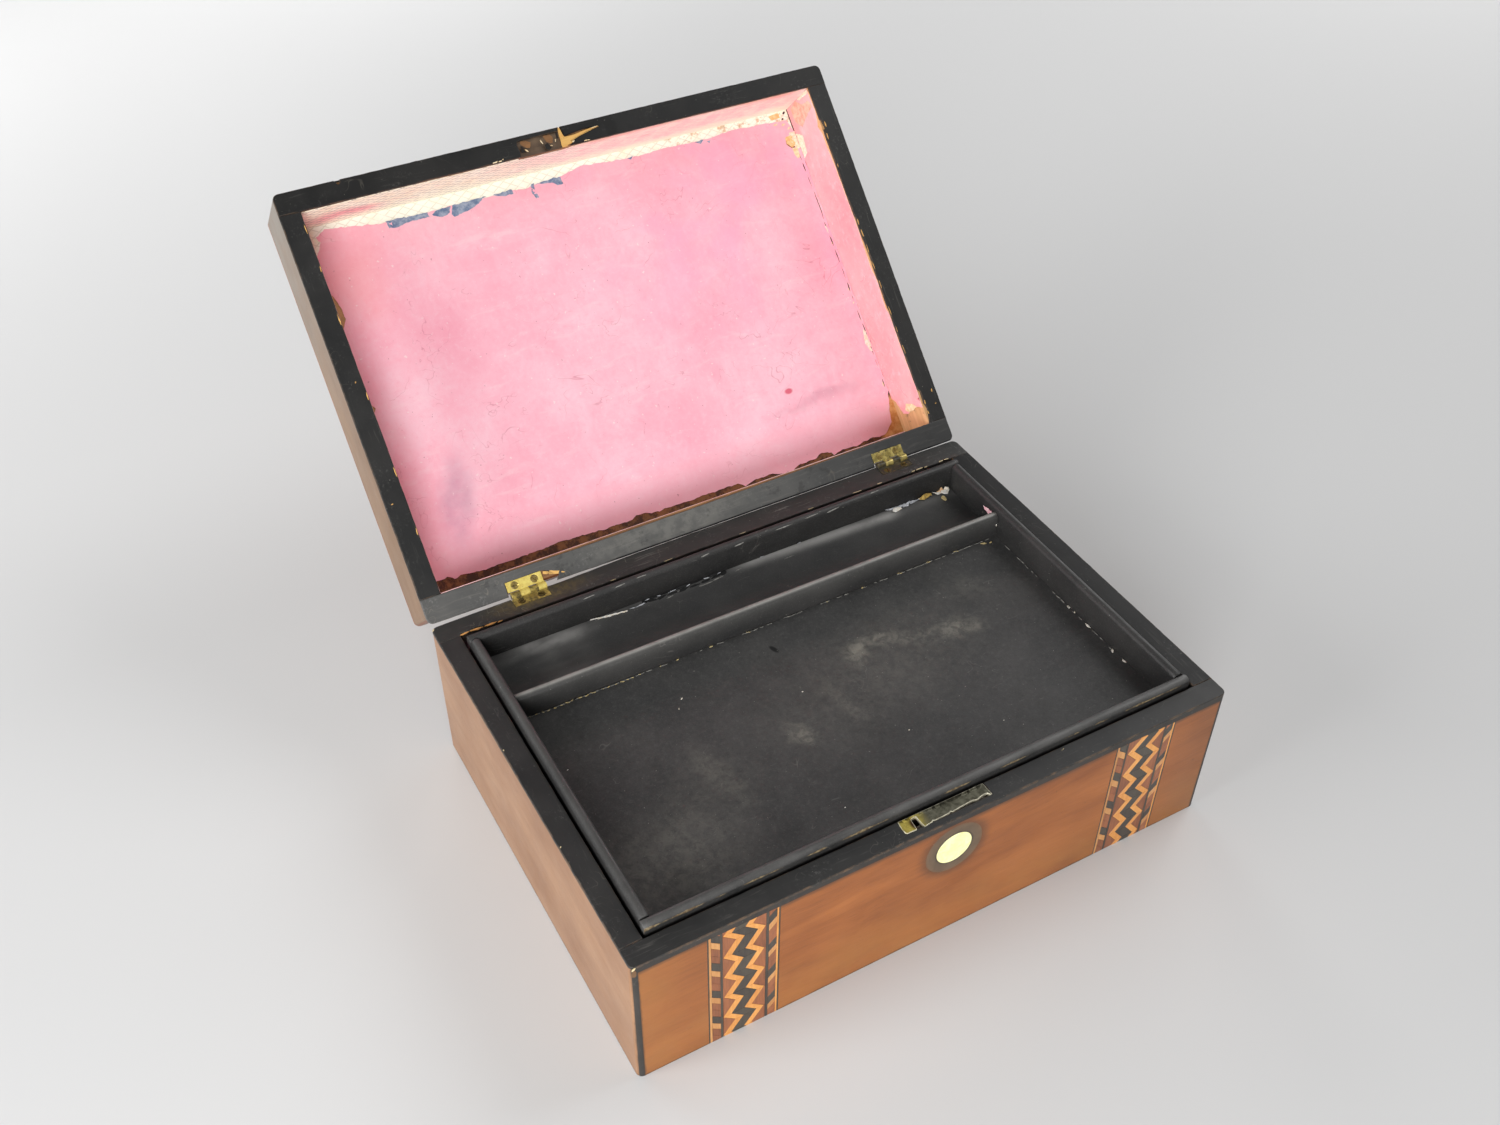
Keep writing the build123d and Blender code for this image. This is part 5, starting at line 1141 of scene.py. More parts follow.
plate("lid_rim_front_facing_right", [chipped(lid_front_right, 53)], -1.2, 0, on_rim, [EBONY_LID], "lid",
      ["lid_rim_front"], bevel=0.2, step=3, grid=3,
      relief=lambda a, b: 0.06 * fbm(a * 0.05, b * 0.05, 5) - (0.66 if a < 24.0 and b < 214.0 else 0.0))

# the link plate's empty seat: chiselled wood with two gouged screw holes, and a torn splinter to its right


def seat_relief(a, b):
    r = 0.5 + 0.28 * fbm(a * 0.35, b * 0.3, 2.0) + 0.1 * fbm(a * 1.5, b * 1.5, 5.0)
    for cx, cy, rx, ry, dep in ((-24.6, 208.6, 1.6, 2.0, 1.0), (-12.4, 207.2, 1.4, 1.9, 1.1), (-21.0, 210.0, 2.6, 3.0, 0.25),
                                (-9.8, 211.0, 2.0, 2.4, 0.3)):
        r -= dep * math.exp(-((a - cx) / rx) ** 2 - ((b - cy) / ry) ** 2)
    r += 0.5 * math.exp(-((a + 16.5) / 1.8) ** 2) + 0.3 * math.exp(-((a + 7.6) / 0.8) ** 2)
    return max(-0.35, r)


plate("link_seat_floor", [rect(-26.9, 204.85, -3.2, 213.1)], -2.0, -1.6, on_rim, [SEAT_WOOD], "lid",
      bevel=0.05, step=0.8, grid=0.8, relief=seat_relief, seed=23)
# the gouged screw holes and the slit are near-black patches: painted shade
for i, (pts, mt, hh) in enumerate((
        ([(-25.6, 213.0), (-21.6, 212.6), (-19.2, 211.2), (-20.6, 208.6), (-22.6, 209.0), (-24.6, 211.0)], SEAT_BROWN, -1.2),
        ([(-12.2, 212.9), (-8.2, 212.9), (-7.6, 210.4), (-8.6, 208.2), (-11.6, 209.4)], SEAT_BROWN, -1.1),
        ([(-25.2, 210.2), (-24.2, 209.8), (-23.6, 206.9), (-25.6, 207.2)], SEAT_HOLE_SHADE, -1.3),
        ([(-13.0, 208.4), (-11.4, 208.8), (-9.6, 206.0), (-11.4, 205.2), (-12.8, 206.2)], SEAT_HOLE_SHADE, -1.15),
        ([(-5.6, 212.9), (-4.5, 212.9), (-4.7, 209.8), (-5.7, 209.8)], SEAT_HOLE_SHADE, -1.1))):
    flake("link_seat_patch_%d" % (i + 1), pts, on_rim, mt, "lid", h=hh, lift=0.1, thick=0.12,
          seed=60 + i, rough=0.35)
# pale slivers in the seat: painted highlights on the chiselled wood
chips("link_seat_painted_highlights", [(-22.8, 207.7, 1.4, 0.35, -0.85), (-13.9, 210.2, 1.5, 0.3, -1.2), (-6.6, 209.2, 0.9, 0.25, 1.3),
                            (-9.4, 207.2, 0.7, 0.2, -0.3), (-16.6, 206.2, 0.6, 0.15, 0.3)],
      on_rim, CREAM_FLAKE, "lid", thick=0.2, h=-1.12, seed=4)
splinter = [(-3.7, 215.1), (-2.7, 215.1), (-2.3, 212.9), (-2.1, 210.9), (-1.5, 209.7), (1.3, 209.7), (4.1, 209.8), (8.3, 210.5),
            (13.1, 211.0), (17.1, 211.3), (17.9, 210.8), (14.4, 210.2), (10.0, 209.3), (6.6, 208.5), (3.4, 207.5),
            (2.1, 206.9), (1.6, 206.1), (0.5, 205.6), (-1.0, 205.7), (-1.5, 204.95), (-2.7, 204.9), (-4.2, 204.9),
            (-4.3, 206.0), (-4.0, 208.1), (-3.9, 210.2), (-3.8, 212.7)]
plate("lid_rim_splinter", [splinter], -1.3, -0.42, on_rim, [CHIP_WOOD_LID], "lid", bevel=0.04, step=0.9,
      grid=0.9, relief=lambda a, b: 0.05 * fbm(a * 0.9, b * 2.2, 3.0), seed=24)
chips("lid_rim_bright_tufts", [(2.0, 206.3, 0.8, 0.35, 0.2), (15.0, 210.9, 2.4, 0.18, 0.1), (-3.2, 214.8, 0.5, 0.3, 1.0),
                               (-40.6, 205.3, 1.5, 0.4, 0.1), (-38.0, 205.2, 1.0, 0.35, 0.0), (-36.5, 205.8, 0.5, 0.3, 0.5),
                               (8.4, 205.3, 1.0, 0.35, 0.1), (10.0, 205.2, 0.8, 0.3, -0.2)],
      on_rim, CREAM_FLAKE, "lid", thick=0.12, h=-0.05, seed=5)
chips("lid_right_rim_chips", [(a, b, 0.8 * ra, 0.55 * rb, t) for a, b, ra, rb, t in ((141.6, 182.9, 2.2, 0.7, 1.5), (140.4, 176.5, 2.6, 0.5, 1.5), (140.2, 159.8, 1.4, 0.4, 1.4),
                              (140.1, 127.5, 2.4, 0.45, 1.5), (140.2, 121.0, 3.2, 0.5, 1.6), (140.0, 112.0, 3.4, 0.4, 1.5),
                              (139.9, 103.0, 3.0, 0.4, 1.6), (139.9, 92.0, 3.2, 0.3, 1.55), (139.9, 77.0, 3.4, 0.35, 1.6),
                              (139.9, 66.0, 2.6, 0.25, 1.5), (139.9, 55.0, 3.4, 0.3, 1.6), (147.4, 29.3, 1.3, 0.6, 1.3),
                              (147.0, 21.8, 0.7, 0.4, 0.4), (141.0, 24.4, 1.8, 0.6, 1.4), (140.8, 18.5, 1.6, 0.5, 1.6))],
      on_rim, CHIP_WOOD_LID, "lid", thick=0.05, h=0.0, seed=6)
chips("lid_left_rim_chips", [(-140.1, 196.0, 3.0, 0.3, 1.6), (-140.0, 176.0, 2.2, 0.25, 1.5), (-140.0, 150.0, 3.4, 0.3, 1.6),
                             (-140.0, 112.0, 2.6, 0.3, 1.5), (-140.0, 74.0, 3.0, 0.25, 1.6), (-140.1, 44.0, 2.0, 0.3, 1.5),
                             (-146.6, 60.0, 0.6, 0.3, 0.2), (-143.0, 120.0, 0.5, 0.3, 0.9)],
      on_rim, CHIP_WOOD_LID, "lid", thick=0.04, h=0.0, seed=7)
chips("lid_hinge_rim_chips", [(-84.6, 4.6, 3.6, 1.1, -0.35), (-88.4, 5.6, 2.0, 1.0, -0.2), (-80.0, 3.2, 1.2, 0.4, -0.3)],
      on_rim, CHIP_WOOD_LID, "lid", thick=0.06, h=-0.05, seed=8)
lid_back_pts = (rounded_corner(-147, 3.4, 3, 180, 270) +
                [(-109.3, 0.3), (-109.3, 2.24), (-109.05, 7.4), (-90.45, 7.4), (-88.0, 6.6), (-84.6, 5.4), (-82.0, 3.0),
                 (-84.0, 0.35), (-60.0, 0.12), (-46.0, 0.02), (99.4, 0.02), (99.4, 2.24), (99.7, 7.4), (118.3, 7.4),
                 (118.6, 2.24), (118.6, 0.02)] +
                rounded_corner(147, 3.2, 3, 270, 360) +
                [(150.0, 12.74), (139.5, 12.74), (110.0, 12.3), (60.0, 11.9), (0.0, 11.5), (-60.0, 11.6), (-105.0, 12.1),
                 (-139.5, 12.7), (-150.0, 12.74)])
plate("lid_rim_back_facing", [chipped(lid_back_pts, 61)], -1.2, 0, on_rim, [EBONY_SCUFFED_SHEEN], "lid",
      ["lid_rim_back"], bevel=0.3, step=3, grid=4, relief=soft_top(6))
plate("lid_rim_left_facing", [chipped(rect(-150, 12.74, -139.5, 204.74), 71)], -1.2, 0, on_rim, [EBONY_LID_SIDE], "lid",
      ["lid_rim_left"], bevel=0.35, step=3, grid=4, relief=soft_top(7))
right_pts = ([(139.5, 12.74), (150.0, 12.74), (150.0, 204.74), (139.5, 204.74), (139.5, 186.6), (140.2, 185.8),
              (140.9, 181.0), (139.8, 180.4), (139.5, 178.0), (139.5, 131.6), (139.9, 130.4), (139.5, 124.0),
              (139.5, 118.0), (139.9, 116.6), (140.2, 104.8), (139.7, 103.6), (139.5, 96.0), (139.9, 94.0),
              (139.5, 92.0), (139.5, 78.6), (139.9, 77.0), (139.7, 70.6), (139.5, 69.0), (139.5, 32.0), (140.6, 30.5),
              (140.4, 24.0), (141.3, 21.0), (140.2, 15.0)])
plate("lid_rim_right_facing", [chipped(right_pts, 81)], -1.2, 0, on_rim, [EBONY_LID_SIDE], "lid",
      ["lid_rim_right"], bevel=0.3, step=3, grid=4, relief=soft_top(8))


# ---------------------------------------------------------------------------
# inlay bands: a tooth of dark wood between two of orange, strings of blocks each side
# ---------------------------------------------------------------------------
def clip(poly, x0, y0, x1, y1):
    for axis, lim, sign in ((0, x0, 1), (0, x1, -1), (1, y0, 1), (1, y1, -1)):
        out = []
        for i in range(len(poly)):
            a, b = poly[i - 1], poly[i]
            da, db = sign * (a[axis] - lim), sign * (b[axis] - lim)
            if (da >= 0) != (db >= 0):
                t = da / (da - db)
                out.append((a[0] + (b[0] - a[0]) * t, a[1] + (b[1] - a[1]) * t))
            if db >= 0:
                out.append(b)
        poly = out
        if len(poly) < 3:
            return []
    return poly


def band(name, x0, length, P, mats, body, replaces, seed, phase=57.5, drop=5.6, shift=5.7, first=0.0, swap=False):
    """Tesserae of one inlay band, 33.5 wide from x0, running from `first` for `length`."""
    rng = random.Random(seed)
    y0, y1 = first, first + length
    tiles = []                       # (polygon, material, tint)
    wl, wd, wr = 3.9, 6.2, 3.5       # widths across: left orange, dark, right orange
    fx0, fx1 = x0 + 6.9, x0 + 26.9   # the field between the strings
    xl = x0 + 11.0 + (0.5 if swap else 0.0)
    period = 14.2
    k0 = int(math.floor((y0 - phase) / period)) - 2
    k1 = int(math.ceil((y1 - phase) / period)) + 2
    lv = {k: (xl + rng.uniform(-0.3, 0.3), phase + k * period + rng.uniform(-0.35, 0.35)) for k in range(k0, k1 + 1)}
    rv = {k: (xl + shift + rng.uniform(-0.3, 0.3), lv[k][1] - drop + rng.uniform(-0.3, 0.3)) for k in range(k0, k1 + 1)}

    def put(poly, mat, gap=0.09):
        poly = clip(poly, x0 + 0.02, y0 + 0.02, x0 + 33.48, y1 - 0.02)
        if len(poly) < 3 or abs(area2(poly)) < 0.3:
            return
        if area2(poly) < 0:
            poly = poly[::-1]
        poly = inset(poly, gap * 0.5)
        if area2(poly) < 0.1:
            return
        tiles.append((poly, mat, rng.random()))

    for k in range(k0, k1):
        a, b, c = lv[k + 1], rv[k + 1], lv[k]
        # from the left corner a down to the right corner b, then down to the next left corner c
        for p, q in ((a, b), (b, c)):
            for off, w, mat in ((-wl, wl, 1), (0.0, wd, 0), (wd, wr, 1)):
                put([(p[0] + off, p[1]), (p[0] + off + w, p[1]), (q[0] + off + w, q[1]), (q[0] + off, q[1])], mat)
        put([(fx0, a[1]), (a[0] - wl, a[1]), (b[0] - wl, b[1]), (c[0] - wl, c[1]), (fx0, c[1])], 2)
        d = rv[k]
        e = wd + wr
        put([(fx1, b[1]), (b[0] + e, b[1]), (c[0] + e, c[1]), (d[0] + e, d[1]), (fx1, d[1])], 2)
    # anything of the field's tiles beyond the field is cut away
    cut = []
    for poly, mat, tint in tiles:
        poly = clip(poly, fx0, y0, fx1, y1)
        if len(poly) >= 3 and area2(poly) > 0.1:
            cut.append((poly, mat, tint))
    tiles = cut

    def string(a, b, mat):
        y = y0
        while y < y1:
            ye = min(y1, y + rng.uniform(24, 40))
            put([(a, y), (b, y), (b, ye), (a, ye)], mat, 0.05)
            y = ye
    for a, b, mat in ((0.0, 0.65, 0), (0.65, 1.7, 3), (5.75, 6.9, 0), (26.9, 28.2, 0), (31.9, 32.75, 1), (32.75, 33.5, 0)):
        string(x0 + a, x0 + b, mat)

    def blocks(a, b, slope, ph):
        y = y0 - 30 + ph
        while y < y1 + 10:
            for mat, ln in ((2, 4.8), (2, 4.9), (3, 4.0), (0, 5.3)):
                s = slope * (b - a)
                l = ln + rng.uniform(-0.3, 0.3)
                poly = clip([(a, y), (b, y + s), (b, y + s + l), (a, y + l)], x0 + a - x0, y0, b, y1)
                if poly:
                    put(poly, mat)
                y += l
    blocks(x0 + 1.7, x0 + 5.75, -0.85, 12.0)
    blocks(x0 + 28.2, x0 + 31.9, 1.0, 6.0)
    verts, faces, fmat, tints = [], [], [], []

    def solid(poly, h0, h1, mat, tint, cham=0.05):
        s, n = len(verts), len(poly)
        top = inset(poly, cham)
        lift = rng.uniform(-0.02, 0.015)
        verts.extend(P(x, y, h0) for x, y in poly)
        verts.extend(P(x, y, h1 - cham + lift) for x, y in poly)
        verts.extend(P(x, y, h1 + lift) for x, y in top)
        tints.extend([tint] * (3 * n))
        for i in range(n):
            j = (i + 1) % n
            faces.append((s + i, s + j, s + n + j, s + n + i))
            faces.append((s + n + i, s + n + j, s + 2 * n + j, s + 2 * n + i))
        faces.append(tuple(s + 2 * n + i for i in range(n)))
        faces.append(tuple(s + i for i in reversed(range(n))))
        fmat.extend([mat] * (2 * n + 2))
    solid(rect(x0, y0, x0 + 33.5, y1), -0.8, -0.32, 4, 0.5)
    for poly, mat, tint in tiles:
        solid(poly, -0.3, -0.01, mat, tint)
    return make(name, verts, faces, mats, body, replaces, fmat=fmat, attrs={"tint": tints}, smooth=False)


band("front_band_left_inlay", -116.85, 74.7, on_front, INLAY, "base", ["front_band_left"], 3)
band("front_band_right_inlay", 87.65, 74.7, on_front, INLAY, "base", ["front_band_right"], 4, phase=66.4, drop=7.0,
     shift=5.8, swap=True)
band("lid_front_band_left_inlay", -116.85, 32.8, on_lid_front, INLAY_LID, "lid", ["lid_front_band_left"], 5, phase=12.0,
     drop=7.0, first=4.0)
band("lid_front_band_right_inlay", 87.65, 32.8, on_lid_front, INLAY_LID, "lid", ["lid_front_band_right"], 6, phase=20.0,
     drop=7.0, first=4.0)
band("lid_top_band_left_inlay", -116.85, 213.0, on_lid_top, INLAY_TOP, "lid", ["lid_top_band_left"], 7, phase=-100.0,
     drop=7.0, first=-215.24)
band("lid_top_band_right_inlay", 87.65, 213.0, on_lid_top, INLAY_TOP, "lid", ["lid_top_band_right"], 8, phase=-96.0,
     drop=7.0, first=-215.24)


# ---------------------------------------------------------------------------
# paper in the lid
# ---------------------------------------------------------------------------
def through(points, amp, step, seed):
    """An open line through the points, ragged between them."""
    out = []
    for i in range(len(points) - 1):
        out += rough_line(points[i], points[i + 1], amp, step, seed + i)
    return out + [points[-1]]


hinge_edge = [(-139.2, 20.6), (-130.9, 20.1), (-127.9, 20.7), (-124.7, 18.4), (-120.3, 19.3), (-114.2, 18.4), (-106.2, 18.0),
              (-95.3, 18.0), (-82.6, 18.2), (-75.8, 18.4), (-69.8, 18.8), (-45.5, 17.6), (-35.3, 17.4), (-27.3, 17.4),
              (-24.6, 18.9), (-20.5, 18.6), (-11.9, 16.7), (-6.4, 17.2), (6.0, 16.7), (12.7, 17.3), (22.0, 16.9),
              (29.9, 17.2), (36.0, 16.4), (38.6, 14.4), (44.5, 16.0), (56.0, 16.0), (61.5, 14.2), (68.1, 14.0),
              (72.1, 15.8), (82.2, 15.9), (87.5, 17.9), (93.0, 16.4), (94.1, 14.6), (100.1, 16.0), (110.1, 15.2),
              (115.1, 16.2), (120.1, 16.8), (124.2, 15.7), (128.6, 16.4)]
right_edge = [(130.4, 17.8), (134.2, 21.4), (135.3, 27.4), (137.5, 33.5), (137.9, 36.6), (139.15, 38.6), (139.15, 60.0),
              (139.15, 100.0), (139.15, 140.0), (139.15, 180.0), (139.1, 183.2), (137.4, 183.0), (134.2, 182.6),
              (131.6, 185.6), (132.3, 189.4), (136.2, 190.4), (139.1, 190.8)]
strip_low = [(136.5, 198.7), (130.1, 199.1), (117.3, 200.1), (103.1, 200.7), (92.8, 199.8), (81.3, 199.2), (60.7, 200.2),
             (46.8, 199.6), (26.8, 200.5), (13.1, 201.9), (6.0, 200.5), (-2.6, 198.7), (-15.7, 198.2), (-19.9, 197.3),
             (-27.3, 198.3), (-42.0, 197.8), (-58.8, 198.1), (-77.4, 197.8), (-94.3, 197.8), (-103.5, 198.9),
             (-118.6, 201.4), (-126.0, 202.4), (-131.0, 199.5), (-129.8, 196.5), (-131.6, 193.0), (-133.4, 190.4),
             (-136.0, 189.4)]
left_edge = [(-138.9, 186.0), (-138.8, 178.0), (-136.0, 174.4), (-133.0, 169.0), (-131.4, 163.0), (-131.0, 157.0),
             (-133.6, 152.6), (-138.0, 150.0), (-138.9, 140.0), (-138.6, 118.0), (-135.0, 113.6), (-132.4, 110.6),
             (-135.0, 106.6), (-138.9, 104.0), (-139.0, 62.0), (-139.1, 40.0)]
pink_loop = (through(hinge_edge, 0.55, 1.1, 100) + through(right_edge, 0.25, 1.2, 200) +
             through(strip_low, 0.6, 1.0, 300) + through(left_edge, 0.4, 1.2, 400))


def slit(line, width, seed):
    """A long narrow hole along a line of points (x, v), of uneven width, pointed at its ends."""
    up, down = [], []
    n = len(line)
    for i, (x, v) in enumerate(line):
        t = i / (n - 1)
        w = width * (0.35 + 0.65 * math.sin(math.pi * t)) * (0.7 + 0.6 * abs(fbm(v * 0.4, seed, 2.0)))
        up.append((x + w, v))
        down.append((x - w, v))
    return up + down[::-1]


def crack_line(points, seed):
    out = []
    for (x0, v0), (x1, v1) in zip(points, points[1:]):
        n = max(1, int(abs(v1 - v0) / 1.6))
        for k in range(n):
            t = k / n
            v = v0 + (v1 - v0) * t
            out.append((x0 + (x1 - x0) * t + 0.16 * fbm(v * 0.35, seed, 1.0), v))
    return out + [points[-1]]


cracks = [slit(crack_line([(x_ - 0.45, v_) for x_, v_ in pts], sd), min(0.5, 1.7 * w), sd) for sd, w, pts in (
    (1.0, 0.2, [(137.4, 181.6), (137.7, 175.0)]), (2.0, 0.34, [(137.7, 173.6), (137.7, 168.4)]),
    (3.0, 0.15, [(137.8, 167.2), (138.1, 158.4)]), (4.0, 0.24, [(138.2, 156.8), (138.3, 145.0), (138.0, 140.0)]),
    (5.0, 0.3, [(137.7, 138.6), (137.8, 133.0)]), (6.0, 0.5, [(138.0, 130.6), (138.2, 124.4)]),
    (7.0, 0.22, [(138.2, 122.6), (138.3, 114.0)]), (8.0, 0.16, [(138.3, 112.6), (138.4, 104.4)]),
    (9.0, 0.34, [(138.4, 103.0), (138.3, 97.4)]), (10.0, 0.18, [(138.3, 95.8), (138.3, 92.4)]),
    (11.0, 0.2, [(138.3, 86.4), (138.5, 80.0)]), (12.0, 0.34, [(138.6, 78.6), (138.6, 70.4)]),
    (13.0, 0.24, [(138.6, 69.0), (138.5, 60.0)]), (14.0, 0.12, [(138.5, 58.0), (138.5, 52.0)]),
    (15.0, 0.4, [(138.4, 46.0), (138.2, 41.0)]))]


def pink_relief(a, b):
    w = 0.16 * fbm(a * 0.035, b * 0.035, 3.0) + 0.05 * fbm(a * 0.16, b * 0.16, 9.0)
    return max(-0.12, w)


plate("lid_pink_paper", [pink_loop] + cracks, -30.78, -30.45, on_rim, [PINK], "lid", ["lid_top_lining"],
      bevel=0.06, step=1.2, grid=3.2, relief=pink_relief, seed=5)
for i, (pts, mt) in enumerate((
        ([(134.2, 183.0), (137.3, 182.2), (137.0, 177.0), (135.4, 176.6), (134.2, 179.4)], CREAM_FLAKE),
        ([(132.3, 189.4), (136.0, 190.0), (137.3, 184.4), (134.2, 183.2), (131.8, 185.8)], OCHRE_FLAKE_LID),
        ([(137.0, 75.4), (138.1, 73.8), (138.2, 62.2), (136.9, 62.6), (135.3, 67.2)], WHITE_FLAKE),
        ([(136.9, 137.4), (137.4, 136.2), (137.6, 131.6), (136.9, 132.8)], WHITE_FLAKE),
        ([(126.8, 203.0), (133.0, 203.6), (133.6, 200.8), (128.0, 200.4)], OCHRE_FLAKE_LID),
        ([(135.4, 191.4), (138.9, 191.8), (139.1, 182.6), (137.0, 181.4), (135.2, 185.6)], WHITE_FLAKE))):
    flake("lid_ceiling_scrap_%d" % (i + 1), pts, on_rim, mt, "lid", h=-30.5, lift=0.12, thick=0.12,
          seed=80 + i, rough=0.35)
chips("lid_crack_bits", [(136.9, 178.0, 0.6, 0.3, 1.3), (137.2, 126.0, 0.7, 0.3, 1.2), (137.0, 99.0, 0.8, 0.3, 1.5),
                         (137.3, 91.0, 0.8, 0.45, 1.0), (137.2, 43.0, 1.4, 0.35, 1.6), (136.4, 194.0, 1.2, 0.7, 0.4),
                         (134.0, 196.6, 1.6, 0.6, 0.2), (129.0, 197.6, 1.4, 0.5, 0.1)],
      on_rim, CREAM_FLAKE, "lid", thick=0.12, h=-30.45, seed=9)
chips("lid_ceiling_holes", [(136.6, 203.0, 1.1, 0.7, 0.6), (134.6, 199.8, 0.9, 0.5, 0.2), (128.4, 202.6, 1.0, 0.5, 0.3)],
      on_rim, HOLE_LID, "lid", thick=0.06, h=-30.5, seed=10)
chips("lid_red_star", [(-12.0 + 0.9 * math.cos(k), 150.0 + 0.9 * math.sin(k), 1.0, 0.16, k) for k in (0.3, 1.5, 2.6, 3.9, 5.2)],
      on_rim, plain_paper("red_speck", lin(214, 84, 110), lin(226, 110, 130), 1.0, at=24.0), "lid",
      thick=0.03, h=-30.42, seed=11)
ov, of, oe = [], [], []
for i in range(93):
    x = -139.3 + 277.9 * i / 92
    for v, h in ((189.5, -30.8), (189.5, -30.62), (194.0, -30.62), (198.5, -30.62), (204.6, -30.56), (204.6, -30.8)):
        ov.append(on_rim(x, v, h + (0.05 * fbm(x * 0.08, v * 0.08, 8.0) if h > -30.7 else 0.0)))
        oe.append(0.0)
for i in range(92):
    for j in range(6):
        k = (j + 1) % 6
        of.append((i * 6 + j, i * 6 + k, i * 6 + 6 + k, i * 6 + 6 + j))
of.append(tuple(range(6))[::-1])
of.append(tuple(92 * 6 + j for j in range(6)))
make("lid_old_paper", ov, [f[::-1] for f in of], [OLD_PAPER], "lid", ["lid_top_lining"],
     attrs={"edge": oe}, smooth=False)

# wall papers
front_wall = (through([(-139.0, -1.9), (-100.0, -1.3), (-60.0, -2.0), (-28.2, -1.5)], 0.25, 1.5, 600) +
              [(-27.6, -3.4), (-20.0, -3.9), (-10.0, -3.6), (-2.6, -3.9), (1.5, -2.4)] +
              through([(6.0, -1.7), (40.0, -1.2), (90.0, -2.0), (139.0, -1.4)], 0.3, 1.5, 610) +
              [(139.2, -12.0), (139.2, -30.6), (-139.2, -30.6), (-139.2, -12.0)])
plate("lid_front_wall_paper", [front_wall], 0.0, 0.3, on_wall_front, [PEACH_PAPER], "lid",
      ["lid_wall_lining"], bevel=0.06, step=2.5, grid=4.0, relief=lambda a, b: 0.1 * fbm(a * 0.06, b * 0.06, 21.0), seed=7)
right_wall = (through([(33.5, 30.7), (30.9, 27.1), (23.3, 23.9), (22.1, 18.1), (24.5, 12.1), (23.4, 6.0), (22.0, 1.5)],
                      0.5, 1.0, 700)[::-1])
right_wall = [(204.4, 30.7)] + [(33.5, 30.7)] + \
    through([(33.5, 30.7), (30.9, 27.1), (23.3, 23.9), (22.1, 18.1), (24.5, 12.1), (23.4, 6.0), (22.0, 1.6)], 0.5, 1.0, 700)[1:] + \
    through([(30.0, 1.2), (60.0, 1.6), (76.0, 1.2), (79.0, 2.6), (94.0, 1.4), (104.0, 2.8), (117.0, 2.2), (128.0, 1.4),
             (160.0, 1.9), (180.0, 3.0), (184.0, 5.0), (187.0, 3.0), (192.0, 1.8), (204.4, 2.6)], 0.35, 1.2, 710)
plate("lid_right_wall_paper", [right_wall], 0.0, 0.3, on_wall_right, [PINK_WALL], "lid",
      ["lid_wall_lining"], bevel=0.06, step=2.0, grid=3.5, relief=lambda a, b: 0.1 * fbm(a * 0.06, b * 0.06, 22.0), seed=8)
left_wall = rect(13.1, -30.7, 204.4, -1.6)
plate("lid_left_wall_paper", [left_wall], 0.0, 0.3, on_wall_left, [PINK_WALL], "lid",
      ["lid_wall_lining"], bevel=0.06, step=3.0, grid=6.0, seed=9)
back_wall = through([(-139.2, 0.3), (-122.0, 0.6), (-108.0, 1.5), (-40.0, 1.6), (10.0, 1.6), (40.0, 1.5), (80.0, 1.4), (124.0, 1.3)], 0.12, 1.6, 800) + \
    [(126.0, 9.0), (125.0, 20.0), (127.0, 30.7), (-139.2, 30.7)]
plate("lid_back_wall_paper", [back_wall], 0.0, 0.3, on_wall_back, [PINK_WALL], "lid",
      ["lid_wall_lining"], bevel=0.06, step=2.5, grid=5.0, seed=10)

for i, (pts, mt) in enumerate((
        ([(189.9, 30.0), (186.5, 23.3), (177.0, 25.4), (175.5, 30.0)], WHITE_FLAKE),
        ([(204.0, 18.0), (200.0, 13.0), (199.0, 5.0), (194.8, 2.4), (193.8, 9.3), (190.0, 20.0), (195.0, 26.0), (203.0, 26.0)],
         plain_paper("peeled_wall_paper", lin(226, 160, 140), lin(244, 200, 176), 2.0, at=25.0)),
        ([(204.3, 16.0), (203.0, 14.0), (202.4, 3.0), (204.3, 2.0)], WHITE_FLAKE),
        ([(24.6, 20.0), (27.6, 17.0), (26.0, 10.0), (23.6, 7.0), (22.6, 12.0), (23.0, 18.0)], CREAM_FLAKE))):
    flake("lid_right_wall_scrap_%d" % (i + 1), pts, on_wall_right, mt, "lid", h=0.3, lift=0.2, thick=0.12,
          seed=90 + i, rough=0.4)

# blue-grey remains of a third paper along the cream strip
for i, pts in enumerate((
        [(-95.5, 197.8), (-84.8, 197.5), (-74.0, 197.0), (-73.6, 194.7), (-85.8, 194.7), (-91.0, 193.6), (-95.1, 194.1)],
        [(-72.9, 196.7), (-61.6, 197.2), (-62.7, 194.3), (-66.9, 192.9), (-70.7, 194.2)],
        [(-60.3, 197.5), (-42.0, 197.8), (-46.0, 195.7), (-50.5, 193.7), (-57.2, 192.3), (-61.2, 191.5), (-62.0, 193.1)],
        [(-38.4, 197.5), (-27.4, 197.9), (-27.7, 195.5), (-33.3, 195.6)],
        [(-16.9, 198.2), (-15.2, 198.0), (-15.9, 193.8), (-14.8, 190.4), (-16.3, 189.8), (-18.0, 193.1)],
        [(-14.7, 197.5), (-4.0, 198.4), (-0.2, 198.1), (0.0, 194.3), (-3.0, 194.1), (-5.4, 196.3)],
        [(39.2, 198.9), (42.7, 199.4), (40.8, 197.6)],
        [(79.0, 198.4), (84.6, 198.8), (82.5, 196.8)],
        [(86.4, 197.6), (88.8, 197.4), (87.4, 196.2)])):
    flake("blue_paper_remains_%d" % (i + 1), [(a, b + 0.8) for a, b in pts], on_rim, BLUE_PAPER, "lid", h=-30.5, lift=0.15,
          thick=0.14, seed=30 + i, rough=0.5)


